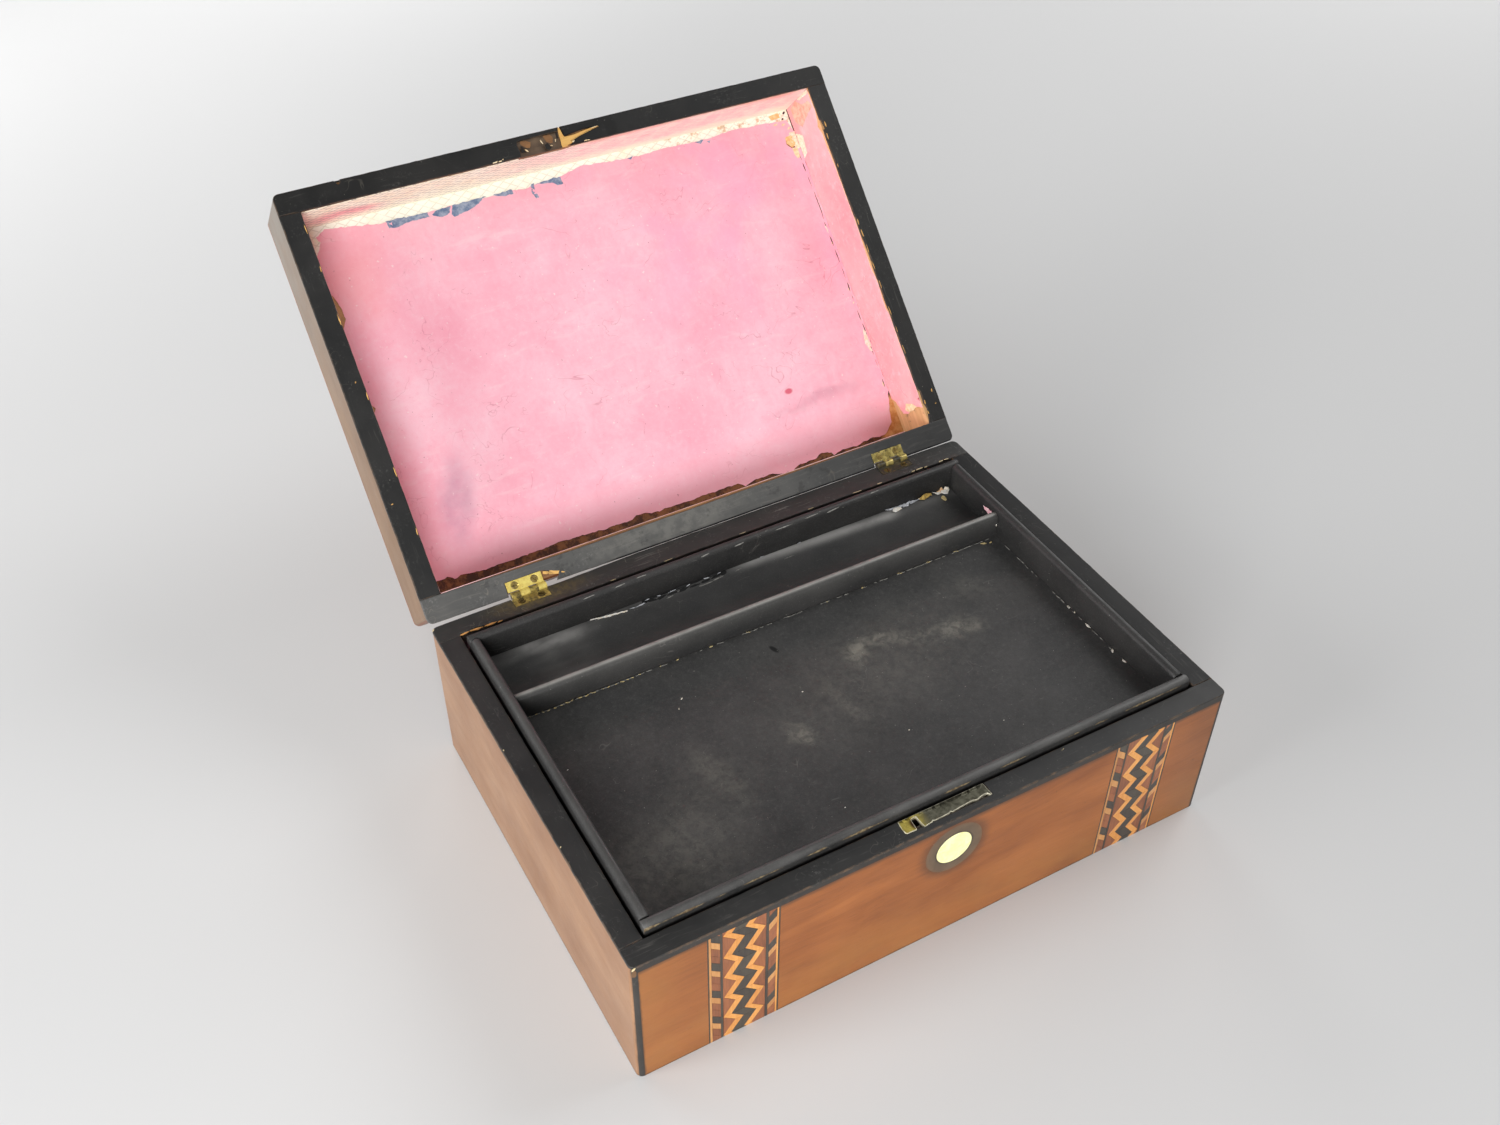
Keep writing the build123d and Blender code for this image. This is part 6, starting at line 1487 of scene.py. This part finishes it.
# ---------------------------------------------------------------------------
# paper in the base
# ---------------------------------------------------------------------------
floor_loop = rect(-139.3, -95.8, 139.3, 95.8)
plate("base_floor_paper", [floor_loop], 0.0, 0.28, on_level(6.0), [PINK_BASE], "base",
      ["base_floor_lining"], bevel=0.05, step=8, grid=6, relief=lambda a, b: 0.08 * fbm(a * 0.05, b * 0.05, 31.0), seed=11)


def on_left_in(a, b, h):
    return (-139.5 + h, a, b)


def on_right_in(a, b, h):
    return (139.5 - h, -a, b)


def on_back_in(a, b, h):
    return (a, 96.0 - h, b)


def on_front_in(a, b, h):
    return (-a, -96.0 + h, b)


left_in = [(-95.7, 6.35), (95.7, 6.35), (95.7, 76.0)] + \
    through([(92.0, 77.2), (84.0, 77.4), (66.0, 77.0), (48.0, 77.4), (44.0, 74.0), (20.0, 73.0), (-30.0, 74.6),
             (-95.7, 74.0)], 0.4, 1.6, 900)
plate("base_left_wall_paper", [left_in], 0.0, 0.28, on_left_in, [PINK_BASE], "base",
      ["base_wall_lining"], bevel=0.05, step=4, grid=8, seed=12)
for nm, P, w, s in (("right", on_right_in, 95.7, 13), ("back", on_back_in, 139.2, 14)):
    lp = [(-w, 6.35), (w, 6.35)] + through([(w, 74.5), (0.0, 75.4), (-w, 74.0)], 0.4, 2.5, 910 + s)
    plate("base_%s_wall_paper" % nm, [lp], 0.0, 0.28, P, [PINK_BASE], "base",
          ["base_wall_lining"], bevel=0.05, step=5, grid=8, seed=s)
lp = [(-139.2, 6.35), (139.2, 6.35), (139.2, 75.0), (22.4, 75.4), (22.4, 49.6), (-22.9, 49.6), (-22.9, 75.2), (-139.2, 74.4)]
plate("base_front_wall_paper", [lp], 0.0, 0.28, on_front_in, [PINK_BASE], "base",
      ["base_wall_lining"], bevel=0.05, step=5, grid=8, seed=15)


# ---------------------------------------------------------------------------
# tray: paper-covered, with softly rounded walls
# ---------------------------------------------------------------------------
def beam(name, p, q, profile, mats, replaces, seed, wob=0.12, ends=0.3, worn=None, painted_sheen=None, step=4.0):
    """A bar from p to q (x, y) along the ground, with its cross section given as (across, z); slightly uneven."""
    dx, dy = q[0] - p[0], q[1] - p[1]
    l = math.hypot(dx, dy)
    ux, uy = dx / l, dy / l
    nx, ny = -uy, ux
    n = int(l / step)
    ts = [0.0, ends * 0.35, ends] + [ends + (l - 2 * ends) * i / n for i in range(1, n)] + [l - ends, l - ends * 0.35, l]
    cx = sum(a for a, _ in profile) / len(profile)
    cz = sum(z for _, z in profile) / len(profile)
    verts, edge, wn, sh = [], [], [], []
    m = len(profile)
    for k, t in enumerate(ts):
        kk = min(k, len(ts) - 1 - k)
        pull = (ends, ends * 0.3, 0.0)[kk] if kk < 3 else 0.0
        for a, z in profile:
            d = math.hypot(a - cx, z - cz) or 1.0
            aa = a - (a - cx) / d * pull
            zz = z - (z - cz) / d * pull
            top = max(0.0, (z - cz)) / 10.0
            w = wob * fbm(t * 0.03, z * 0.05, seed + a * 0.02) * min(1.0, top * 1.4)
            w2 = wob * 0.7 * fbm(t * 0.045, 3.0, seed + 5.0) * min(1.0, top * 1.4)
            aa += w * (1 if kk else 0)
            zz += w2 * (1 if kk else 0)
            verts.append((p[0] + ux * t + nx * aa, p[1] + uy * t + ny * aa, zz))
            edge.append(0.0)
            wn.append(worn(t, a, z) if worn else 0.0)
            sh.append(painted_sheen(t, a, z) if painted_sheen else 0.0)
    faces = []
    for k in range(len(ts) - 1):
        for i in range(m):
            j = (i + 1) % m
            faces.append((k * m + i, k * m + j, (k + 1) * m + j, (k + 1) * m + i))
    faces.append(tuple(range(m))[::-1])
    faces.append(tuple((len(ts) - 1) * m + i for i in range(m)))
    return make(name, verts, [tuple(f[::-1]) for f in faces], mats, "tray", replaces,
                attrs={"edge": edge, "worn": wn, "painted_sheen": sh}, sharp=60)


def wall_profile(w, z0, z1, r, foot=0.0):
    """Round-topped wall, `w` thick, from z0 to z1, its foot eased."""
    pts = [(-w / 2, z0 + 0.4), (-w / 2 + 0.12, z0 + 0.05), (w / 2 - 0.12, z0 + 0.05), (w / 2, z0 + 0.4)]
    pts += [(w / 2, z0 + (z1 - z0) * 0.4)]
    for i in range(7):
        a = math.radians(90.0 * i / 6)
        pts.append((w / 2 - r + r * math.cos(a), z1 - r + r * math.sin(a)))
    for i in range(7):
        a = math.radians(90 + 90.0 * i / 6)
        pts.append((-w / 2 + r + r * math.cos(a), z1 - r + r * math.sin(a)))
    pts += [(-w / 2, z0 + (z1 - z0) * 0.4)]
    return pts


def worn_outer(side, strength):
    def f(t, a, z):
        return strength * max(0.0, 1.0 - abs(z - 80.6) / 1.8) * (1.0 if a * side > 0.9 else 0.1)
    return f


def top_painted_sheen(z1, deep=3.0, k=1.0):
    return lambda t, a, z: k * max(0.0, min(1.0, (z - z1 + deep) / deep))


# painted highlight along each wall's rounded top, strongest on the front wall
beam("tray_front_wall", (138.1, -91.8), (-137.9, -91.8), wall_profile(5, 65.4, 82.4, 2.45), [TRAY], ["tray_front"], 1.0,
     worn=lambda t, a, z: worn_outer(1, 1.0)(t, a, z) * (0.72 + 0.5 * fbm(t * 0.06, 2.0, 37.0)),
     painted_sheen=lambda t, a, z: top_painted_sheen(82.2, 1.6, 0.85)(t, a, z) * (
         0.75 + 0.45 * fbm(t * 0.05, a * 0.6, 31.0) + (0.2 if t < 150 else 0.0)))
beam("tray_back_wall", (138.1, 89.3), (-137.9, 89.3), wall_profile(5, 65.4, 82.4, 2.3), [TRAY_BACK], ["tray_back"], 2.0,
     worn=lambda t, a, z: 0.35 * max(0.0, 1.0 - abs(z - 82.2) / 0.8), painted_sheen=top_painted_sheen(82.2, 1.2, 0.15))
beam("tray_left_wall", (-135.4, -89.3), (-135.4, 86.8), wall_profile(5, 65.4, 82.4, 2.45), [TRAY_BACK], ["tray_left"], 3.0,
     worn=worn_outer(1, 0.4), painted_sheen=lambda t, a, z: 0.5 * math.exp(-((z - 82.4) / 0.5) ** 2))
beam("tray_right_wall", (135.6, -89.3), (135.6, 86.8), wall_profile(5, 65.4, 82.4, 2.45), [TRAY_BACK], ["tray_right"], 4.0,
     worn=worn_outer(-1, 0.3), painted_sheen=top_painted_sheen(82.2, 1.4, 0.08))
# the divider is a half-round ridge whose paper runs on down into the trough; a painted highlight runs along its top
ridge = [(-2.25, 65.9), (-2.1, 65.45), (2.3, 65.45), (2.45, 65.9), (2.45, 69.0), (2.45, 73.0)] + \
    [(2.45 * math.cos(math.radians(15.0 * i)), 76.6 + 2.45 * math.sin(math.radians(15.0 * i))) for i in range(13)] + \
    [(-2.62, 75.6), (-3.1, 74.6), (-2.6, 72.8), (-2.25, 70.0)]
beam("tray_divider_bar", (133.1, 47.25), (-132.9, 47.25), ridge, [RIDGE], ["tray_divider"], 5.0,
     worn=lambda t, a, z: 0.5 * max(0.0, 1.0 - abs(z - 79.0) / 0.5) * max(
         math.exp(-((t - 246.0) / 5.0) ** 2), math.exp(-((t - 201.0) / 4.0) ** 2), math.exp(-((t - 153.0) / 4.0) ** 2)) +
     0.75 * max(0.0, 1.0 - (z - 65.4) / 1.2),
     painted_sheen=lambda t, a, z: max(1.1 * math.exp(-((z - 79.05) / 0.3) ** 2), 0.12 * max(0.0, min(1.0, (z - 70.0) / 6.0))))


def tray_floor_relief(a, b):
    return 0.1 * fbm(a * 0.02, b * 0.02, 4.0) + 0.03 * fbm(a * 0.15, b * 0.15, 6.0)


plate("tray_floor_board", [rect(-137.9, -94.3, 138.1, 91.8)], 0.0, 2.9, on_level(62.4), [TRAY_FLOOR], "tray",
      ["tray_floor"], bevel=0.4, step=6, grid=5, relief=tray_floor_relief, seed=16,
      attrs={"worn": lambda x, y: max(0.0, 1.0 - abs(x - 132.6) / 1.2) * (0.9 if -64 < y < -10 else 0.3) if y < 44 else 0.0})


def trough_z(y):
    if y < 70.0:
        return 66.2 + 12.8 * ((70.0 - y) / 21.4) ** 2.6
    return 66.2 + 1.3 * ((y - 70.0) / 16.8) ** 2


arc = [(49.2 + 37.6 * i / 32, trough_z(49.2 + 37.6 * i / 32)) for i in range(33)]
xs = [-132.9 + 266.0 * i / 90 for i in range(91)]
tv, tf, tw, tsh = [], [], [], []
sect = [(86.8, 65.45), (49.2, 65.45)] + arc
for x in xs:
    for i, (y, z) in enumerate(sect):
        dz = 0.0
        if 2 < i < len(sect) - 1:
            dz = (0.16 * fbm(x * 0.05, y * 0.07, 12.0) + 0.05 * fbm(x * 0.3, y * 0.3, 14.0)) * min(1.0, (y - 49.2) / 4.0)
        tv.append((x, y, z + dz))
        tw.append(0.0)
        # painted sheen on the cove: a band along its rear slope, a patch at its left end, a faint line at the ridge's
        # lip
        mid_ = 86.4 - 3.2 * max(0.0, min(1.0, (x - 18.0) / 74.0))
        on_ = max(0.0, min(1.0, (x + 2.0) / 14.0)) * max(0.0, min(1.0, (101.0 - x) / 8.0))
        band_ = math.exp(-((y - mid_) / 2.9) ** 2) * (0.14 + 0.75 * on_)
        left_sheen_ = math.exp(-((x + 102.0) / 21.0) ** 2) * (0.2 + 0.8 * math.exp(-((y - 84.0 - 2.0 * fbm(x * 0.1, 3.0, 9.0)) / 4.5) ** 2))
        left_sheen_ *= 0.6 + 0.4 * fbm(x * 0.12, y * 0.25, 17.0)
        lip_ = 0.1 * max(0.0, 1.0 - (y - 49.2) / 3.0)
        tsh.append(max(band_, left_sheen_, lip_) if i > 1 else 0.0)
m_ = len(sect)
for k in range(len(xs) - 1):
    for i in range(m_):
        j = (i + 1) % m_
        tf.append((k * m_ + i, k * m_ + j, (k + 1) * m_ + j, (k + 1) * m_ + i))
tf.append(tuple(range(m_))[::-1])
tf.append(tuple((len(xs) - 1) * m_ + i for i in range(m_)))
make("pen_trough_cove", tv, tf, [TROUGH], "tray", ["pen_trough"],
     attrs={"worn": tw, "painted_sheen": tsh}, sharp=60)


def on_tray_back(a, b, h):
    return (a, 86.8 - h, b)


def on_tray_right(a, b, h):
    return (133.1 - h, -a, b)


def on_tray_left(a, b, h):
    return (-132.9 + h, a, b)


def on_cove(a, b, h):
    """A point of the back wall's plane, carried towards the front until it lies on the cove."""
    if b > 67.6:
        return (a, 86.7 - h, b)
    k = 0.0
    for _ in range(6):
        k = (trough_z(86.8 - k) - b) / 1.028
    return (a - k * (a + 279.8) / 511.6, 86.8 - k, trough_z(86.8 - k) + 0.12 + h)


# torn paper and splinters where the trough meets the tray's back wall
for i, (pts, mt, P, h) in enumerate((
        ([(97.2, 64.6), (98.2, 66.2), (101.8, 65.6), (102.6, 64.2), (99.2, 63.6)], WHITE_FLAKE_BASE, on_cove, 1.6),
        ([(103.1, 66.6), (105.6, 68.6), (107.6, 66.8), (107.0, 64.8), (103.8, 65.2)], GREY_FLAKE, on_cove, 1.2),
        ([(92.2, 67.2), (96.7, 68.4), (103.7, 67.0), (103.2, 65.9), (95.3, 66.4)], GREY_FLAKE, on_cove, 0.5),
        ([(107.2, 67.0), (112.4, 68.2), (113.6, 66.6), (108.6, 65.4)], GREY_FLAKE, on_cove, 0.6),
        ([(113.4, 68.6), (117.0, 70.2), (119.8, 69.4), (120.9, 67.0), (120.3, 65.2), (117.3, 64.6), (114.5, 65.6), (113.1, 67.2)],
         OCHRE_FLAKE, on_cove, 1.8),
        ([(124.6, 67.6), (127.3, 70.2), (128.4, 68.0), (127.1, 65.4), (125.4, 65.4)], ORANGE_FLAKE, on_cove, 1.2),
        ([(123.0, 66.8), (125.4, 66.2), (128.0, 66.6), (129.3, 69.2), (131.1, 68.4), (132.6, 65.4), (131.9, 63.4), (130.0, 64.0),
          (128.2, 65.2), (126.1, 64.9)], WHITE_FLAKE_BASE, on_cove, 2.0),
        ([(-57.3, 76.3), (-54.4, 76.9), (-50.9, 77.3), (-47.3, 77.2), (-47.4, 75.1), (-50.4, 72.4), (-52.5, 74.2), (-55.5, 74.8)],
         PINK_FLAKE, on_tray_right, 0.2),
        ([(-50.6, 73.9), (-46.3, 76.2), (-44.8, 72.8), (-46.1, 70.8), (-48.2, 73.3)], WHITE_FLAKE_BASE, on_tray_right, 0.5),
        ([(-77.7, 67.2), (-67.2, 66.0), (-57.5, 64.6), (-57.6, 64.0), (-67.2, 65.0), (-77.7, 66.7)], WHITE_FLAKE_BASE, on_cove, 0.2),
        ([(-56.6, 64.2), (-49.6, 65.5), (-47.8, 65.2), (-49.8, 64.7)], GREY_FLAKE, on_cove, 0.2))):
    if mt is WHITE_FLAKE_BASE and i != 9:
        ca = sum(a for a, _ in pts) / len(pts)
        cb = sum(b for _, b in pts) / len(pts)
        pts = [(ca + 1.15 * (a - ca), cb + 1.25 * (b - cb)) for a, b in pts]
    flake("tray_torn_paper_%d" % (i + 1), pts, P, mt, "tray", h=0.25 * h, lift=0.8, thick=0.25, seed=120 + i,
          rough=0.45)
yellow = [(129.0, 61.4), (131.5, 63.4), (134.6, 60.6), (137.4, 57.6), (138.8, 54.6), (136.6, 53.6), (133.6, 56.6), (130.6, 59.4)]
flake("tray_torn_paper_13", [(a * 0.966 + 0.7 - 0.55 * (a - 134.0), 60.4 + 0.5 * (b - 57.5)) for a, b in yellow], on_cove, CREAM_FLAKE_BASE, "tray",
      lift=0.5, thick=0.3, seed=140, rough=0.4)
# painted shade: a black sheet along the torn gap where the trough meets the back wall
gap = through([(-50.0, 67.0), (-44.0, 68.2), (-36.0, 67.5), (-28.0, 68.6), (-18.0, 67.8), (-9.0, 68.5), (-3.0, 67.4)], 0.4, 1.0, 950) + \
    through([(-6.0, 66.2), (-16.0, 66.5), (-26.0, 66.0), (-38.0, 66.4), (-47.0, 66.0)], 0.3, 1.0, 960)
plate("tray_back_gap", [gap], 0.2, 0.42, on_cove, [HOLE], "tray", bevel=0.02, step=1.0, grid=0, seed=25)


def in_cove(a, b, h):
    return (a, b, trough_z(b) + 0.16 * fbm(a * 0.05, b * 0.07, 12.0) + 0.05 * fbm(a * 0.3, b * 0.3, 14.0) + h)


# painted shade: black blots along the torn gap
chips("tray_gap_blots", [(-48.6, 85.9, 2.2, 1.3, 0.3), (-45.0, 85.0, 3.2, 0.8, -0.1), (-40.0, 84.8, 3.0, 0.9, 0.1),
                         (-34.0, 84.6, 3.6, 0.7, 0.0), (-28.0, 84.5, 3.2, 0.9, 0.1), (-22.0, 84.4, 3.4, 0.6, 0.05),
                         (-15.0, 84.8, 3.6, 0.8, 0.1), (-9.0, 85.3, 3.4, 0.9, 0.1), (-4.6, 85.8, 2.2, 1.2, 0.4)],
      in_cove, HOLE, "tray", thick=0.1, h=0.05, seed=21)
# painted highlights: pale grey streaks beside the torn gap
chips("tray_gap_painted_highlights", [(-17.0, 82.9, 4.6, 0.45, 0.04), (-9.0, 83.6, 3.0, 0.4, 0.1), (-36.0, 83.1, 2.2, 0.25, 0.1),
                          (-30.6, 84.5, 0.9, 0.3, 0.2), (3.0, 84.2, 2.0, 0.25, 0.1), (30.0, 80.6, 3.0, 0.15, 0.0)],
      in_cove, DIM_FLAKE_AND_HIGHLIGHT, "tray", thick=0.08, h=0.12, seed=22)
chips("tray_back_scratches", [(-14.3, 87.4, 2.4, 0.22, 0.05), (5.2, 87.0, 3.2, 0.2, 0.05), (47.0, 87.6, 4.0, 0.2, 0.03),
                              (60.0, 87.1, 4.6, 0.2, 0.06), (30.0, 87.3, 6.0, 0.18, 0.0), (85.4, 88.2, 3.4, 0.25, 0.05),
                              (-60.5, 87.6, 3.0, 0.2, 0.04), (-48.6, 88.2, 2.6, 0.25, 0.0), (-76.4, 87.6, 3.4, 0.2, 0.04)],
      lambda a, b, h: (a, b, 82.32 - 0.45 * max(0.0, (88.6 - b)) ** 2 + h), DIM_FLAKE_AND_HIGHLIGHT, "tray", thick=0.08,
      h=0.0, seed=23)
chips("tray_gap_flecks", [(-47.0, 66.6, 1.6, 0.3, 0.1), (-40.5, 66.3, 1.2, 0.4, -0.3), (-33.0, 66.2, 2.2, 0.3, 0.1),
                          (-24.0, 66.1, 1.4, 0.4, 0.3), (-14.0, 66.4, 2.0, 0.3, -0.1), (-7.0, 66.6, 1.4, 0.3, 0.2),
                          (-29.6, 67.6, 1.0, 0.3, 0.9), (18.0, 67.0, 1.6, 0.2, 0.0), (40.0, 67.1, 1.2, 0.2, 0.1)],
      on_cove, GREY_FLAKE, "tray", thick=0.15, h=0.35, seed=12)
rng_ = random.Random(8)
chips("tray_junction_flecks",
      [(-127.0 + 3.0 * k + rng_.uniform(-1, 1), 44.4 + rng_.uniform(-0.4, 0.1), rng_.uniform(0.5, 1.5), rng_.uniform(0.15, 0.4),
        rng_.uniform(-0.4, 0.4)) for k in range(18)] +
      [(x, 44.4, rng_.uniform(0.6, 1.5), 0.24, rng_.uniform(-0.3, 0.3)) for x in (-72.0, -61.0, -52.0, -34.0, -14.0, 9.0, 31.0,
                                                                                  52.0, 73.5, 91.0, 108.0)] +
      [(124.0, 42.6, 2.0, 0.5, -0.5), (127.4, 41.6, 1.0, 0.4, 0.2)],
      on_level(65.3), CREAM_FLAKE_BASE, "tray", thick=0.2, seed=13)
chips("tray_junction_line",
      [(-128.0 + 3.4 * k + rng_.uniform(-1, 1), 44.35 + rng_.uniform(-0.2, 0.1), rng_.uniform(0.8, 2.2), rng_.uniform(0.1, 0.26),
        rng_.uniform(-0.12, 0.12)) for k in range(76) if k < 16 or rng_.random() < 0.62], on_level(65.3), DIM_FLAKE_AND_HIGHLIGHT, "tray",
      thick=0.22, seed=24)
chips("tray_right_line",
      [(132.5 + rng_.uniform(-0.3, 0.2), 38.0 - 4.2 * k + rng_.uniform(-1, 1), rng_.uniform(0.8, 2.4), rng_.uniform(0.12, 0.3),
        1.57 + rng_.uniform(-0.15, 0.15)) for k in range(25) if rng_.random() < 0.7], on_level(65.3), DIM_FLAKE_AND_HIGHLIGHT, "tray",
      thick=0.22, seed=25)
chips("tray_floor_flecks", [(132.6, -16.4, 1.5, 0.5, 1.4), (132.7, -21.0, 0.7, 0.3, 1.0), (132.5, -31.4, 2.0, 0.6, 1.6),
                            (132.0, -50.8, 1.3, 0.6, 0.9), (132.4, -58.8, 1.7, 0.5, 1.7), (-125.7, 7.3, 0.4, 0.3, 0.0),
                            (19.0, -46.0, 0.4, 0.3, 0.4), (-11.0, -2.2, 0.4, 0.3, 0.0), (-62.0, 21.0, 0.8, 0.25, 0.6),
                            (-66.0, 16.0, 0.8, 0.2, 1.2), (-30.0, -70.0, 0.35, 0.25, 0.3), (60.0, -62.0, 0.3, 0.2, 0.7)],
      on_level(65.35), WHITE_FLAKE_BASE, "tray", thick=0.15, seed=14)
chips("tray_left_end_line", [(46.0, 72.6, 3.4, 0.22, 1.5), (48.4, 77.4, 0.7, 0.3, 0.4)], on_tray_left, CREAM_FLAKE_BASE, "tray",
      thick=0.15, h=0.05, seed=15)
# painted shade: a black patch for the notch at the divider's right end
chips("tray_divider_notch", [(-49.4, 70.4, 3.2, 1.0, 1.4), (-47.6, 67.0, 1.6, 0.8, 1.2)], on_tray_right, HOLE, "tray",
      thick=0.05, h=0.02, seed=16)


# ---------------------------------------------------------------------------
# lock selvedge: thin brass with a rolled, ragged front edge
# ---------------------------------------------------------------------------
sel = [(21.8, -96.2), (-21.4, -96.3), (-21.9, -98.6), (-22.0, -100.8), (-21.9, -102.7), (-21.2, -103.4), (-16.8, -103.6),
       (-16.4, -103.2), (-15.9, -97.9), (-14.8, -97.5), (-13.3, -97.6), (-12.9, -103.9), (-11.0, -103.6), (-8.7, -103.3),
       (-8.2, -102.7), (-7.0, -103.1), (-2.0, -103.0), (0.3, -102.9), (1.2, -102.3), (1.8, -102.9), (3.4, -102.7), (9.0, -102.2),
       (12.6, -102.0), (14.9, -102.6), (17.4, -101.9), (19.0, -101.6), (20.4, -101.8), (21.2, -103.1), (22.0, -103.0)]


def sel_relief(a, b):
    e = max(0.0, (-101.6 - b) / 1.4)
    return 0.03 * fbm(a * 0.4, b * 0.4, 2.0) + 0.04 * e * e - 0.1 * max(0.0, 1 - abs(a - 8) / 18) * max(0.0, (b + 99.0) / 3.0)


plate("lock_selvedge_strip", [sel], 0.0, 1.5, on_level(77.5), [SELVEDGE], "base", ["lock_selvedge"],
      bevel=0.22, step=1.2, grid=1.6, relief=sel_relief, seed=17)


# ---------------------------------------------------------------------------
# CAD nodes that keep their shape: softened edges and their materials
# ---------------------------------------------------------------------------
def soften(name, mat, width=0.25, segments=2):
    ob = NODE[name]
    for s in ob.material_slots:
        s.link = "OBJECT"
        s.material = mat.m
    w = ob.modifiers.new("weld", "WELD")
    w.merge_threshold = 0.00002
    if width:
        b = ob.modifiers.new("bevel", "BEVEL")
        b.width = width * 0.001
        b.segments = segments
        b.limit_method = "ANGLE"
        b.angle_limit = math.radians(35)
        b.harden_normals = False
        n = ob.modifiers.new("normals", "WEIGHTED_NORMAL")
        n.keep_sharp = False
        n.weight = 60
    return ob


for n in ("base_front_board", "base_back_board", "base_bottom_board"):
    soften(n, BOARD, 0.2)
for n in ("base_left_board", "base_right_board"):
    soften(n, BOARD_SIDE, 0.2)
for n in ("lid_front_rail", "lid_back_rail"):
    soften(n, BOARD_LID, 0.15)
for n in ("lid_left_rail", "lid_right_rail"):
    soften(n, BOARD_LID_SIDE, 0.15)
soften("lid_top_board", BOARD_LID_TOP, 0.15)
soften("tray_ledges", BOARD_SIDE, 0.4)
soften("base_front_veneer", WALNUT, 0.12)
soften("base_back_veneer", WALNUT_BACK, 0.25)
soften("base_left_veneer", WALNUT_SIDE, 0.3)
soften("base_right_veneer", WALNUT_SIDE, 0.3)
soften("base_front_edging", EDGING, 0.35)
soften("lid_front_veneer", WALNUT_LID, 0.2)
soften("lid_back_veneer", WALNUT_LID, 0.25)
soften("lid_left_veneer", WALNUT_LID_SIDE, 0.3)
soften("lid_right_veneer", WALNUT_LID_SIDE, 0.3)
soften("lid_top_veneer", WALNUT_LID, 0.35)
soften("lid_front_edging", EDGING, 0.35)
soften("roundel_surround", SURROUND, 0.05)
soften("pearl_roundel", PEARL, 0.15)
soften("hinge_left_lid_leaf", BRASS_BRIGHT, 0.12)
soften("hinge_right_lid_leaf", BRASS_TARNISHED, 0.12)
soften("hinge_left_base_leaf", BRASS_BASE, 0.12)
soften("hinge_right_base_leaf", BRASS_BLACK, 0.12)
soften("hinge_pins", STEEL, 0.1)
soften("hinge_screws_base", SCREW, 0.06)
soften("hinge_screws_lid", SCREW_LID, 0.06)
soften("lock_case", STEEL, 0.15)
soften("lock_screws", STEEL, 0.08)
soften("lock_bolt", STEEL, 0.15)

# ---------------------------------------------------------------------------
# floor and light (metres here)
# ---------------------------------------------------------------------------
floor_mesh = bpy.data.meshes.new("studio_floor")
floor_mesh.from_pydata([(-4, -4, 0), (4, -4, 0), (4, 4, 0), (-4, 4, 0)], [], [(0, 1, 2, 3)])
floor = bpy.data.objects.new("studio_floor", floor_mesh)
bpy.context.scene.collection.objects.link(floor)
FLOOR = Mat("pale_floor")
FLOOR.set(Base_Color=lin(214, 214, 214), Roughness=0.75)
FLOOR.b.inputs["Specular IOR Level"].default_value = 0.2
floor_mesh.materials.append(FLOOR.m)


def lamp(name, kind, loc, aim, energy, size=1.0, colour=(1, 1, 1)):
    d = bpy.data.lights.new(name, kind)
    d.energy = energy
    d.color = colour
    if kind == "AREA":
        d.shape = "DISK"
        d.size = size
    o = bpy.data.objects.new(name, d)
    o.location = loc
    v = Vector(aim) - Vector(loc)
    o.rotation_euler = v.to_track_quat("-Z", "Y").to_euler()
    bpy.context.scene.collection.objects.link(o)
    return o


def around(az, el, dist):
    """A point round the box: azimuth and height in degrees, distance in metres."""
    a, e = math.radians(az), math.radians(el)
    return (dist * math.cos(a) * math.cos(e), 0.05 + dist * math.sin(a) * math.cos(e), 0.05 + dist * math.sin(e))


for nm, az, el, dist, size, watts in (
        ("front_softbox", 240, 16, 1.25, 0.7, 15.9), ("left_softbox", 180, 20, 1.7, 1.0, 17.8),
        ("right_softbox", 0, 50, 1.7, 1.0, 9.2), ("back_left_fill", 120, 16, 1.25, 0.7, 3.9),
        ("back_fill", 80, 16, 1.6, 0.9, 8.0), ("back_right_fill", 30, 16, 1.7, 0.9, 5.2)):
    lamp(nm, "AREA", around(az, el, dist), (0.0, 0.05, 0.05), watts, size)
world = bpy.data.worlds.new("studio")
bpy.context.scene.world = world
world.use_nodes = True
world.node_tree.nodes["Background"].inputs[0].default_value = (1, 1, 1, 1)
world.node_tree.nodes["Background"].inputs[1].default_value = 0.08

bpy.context.view_layer.update()
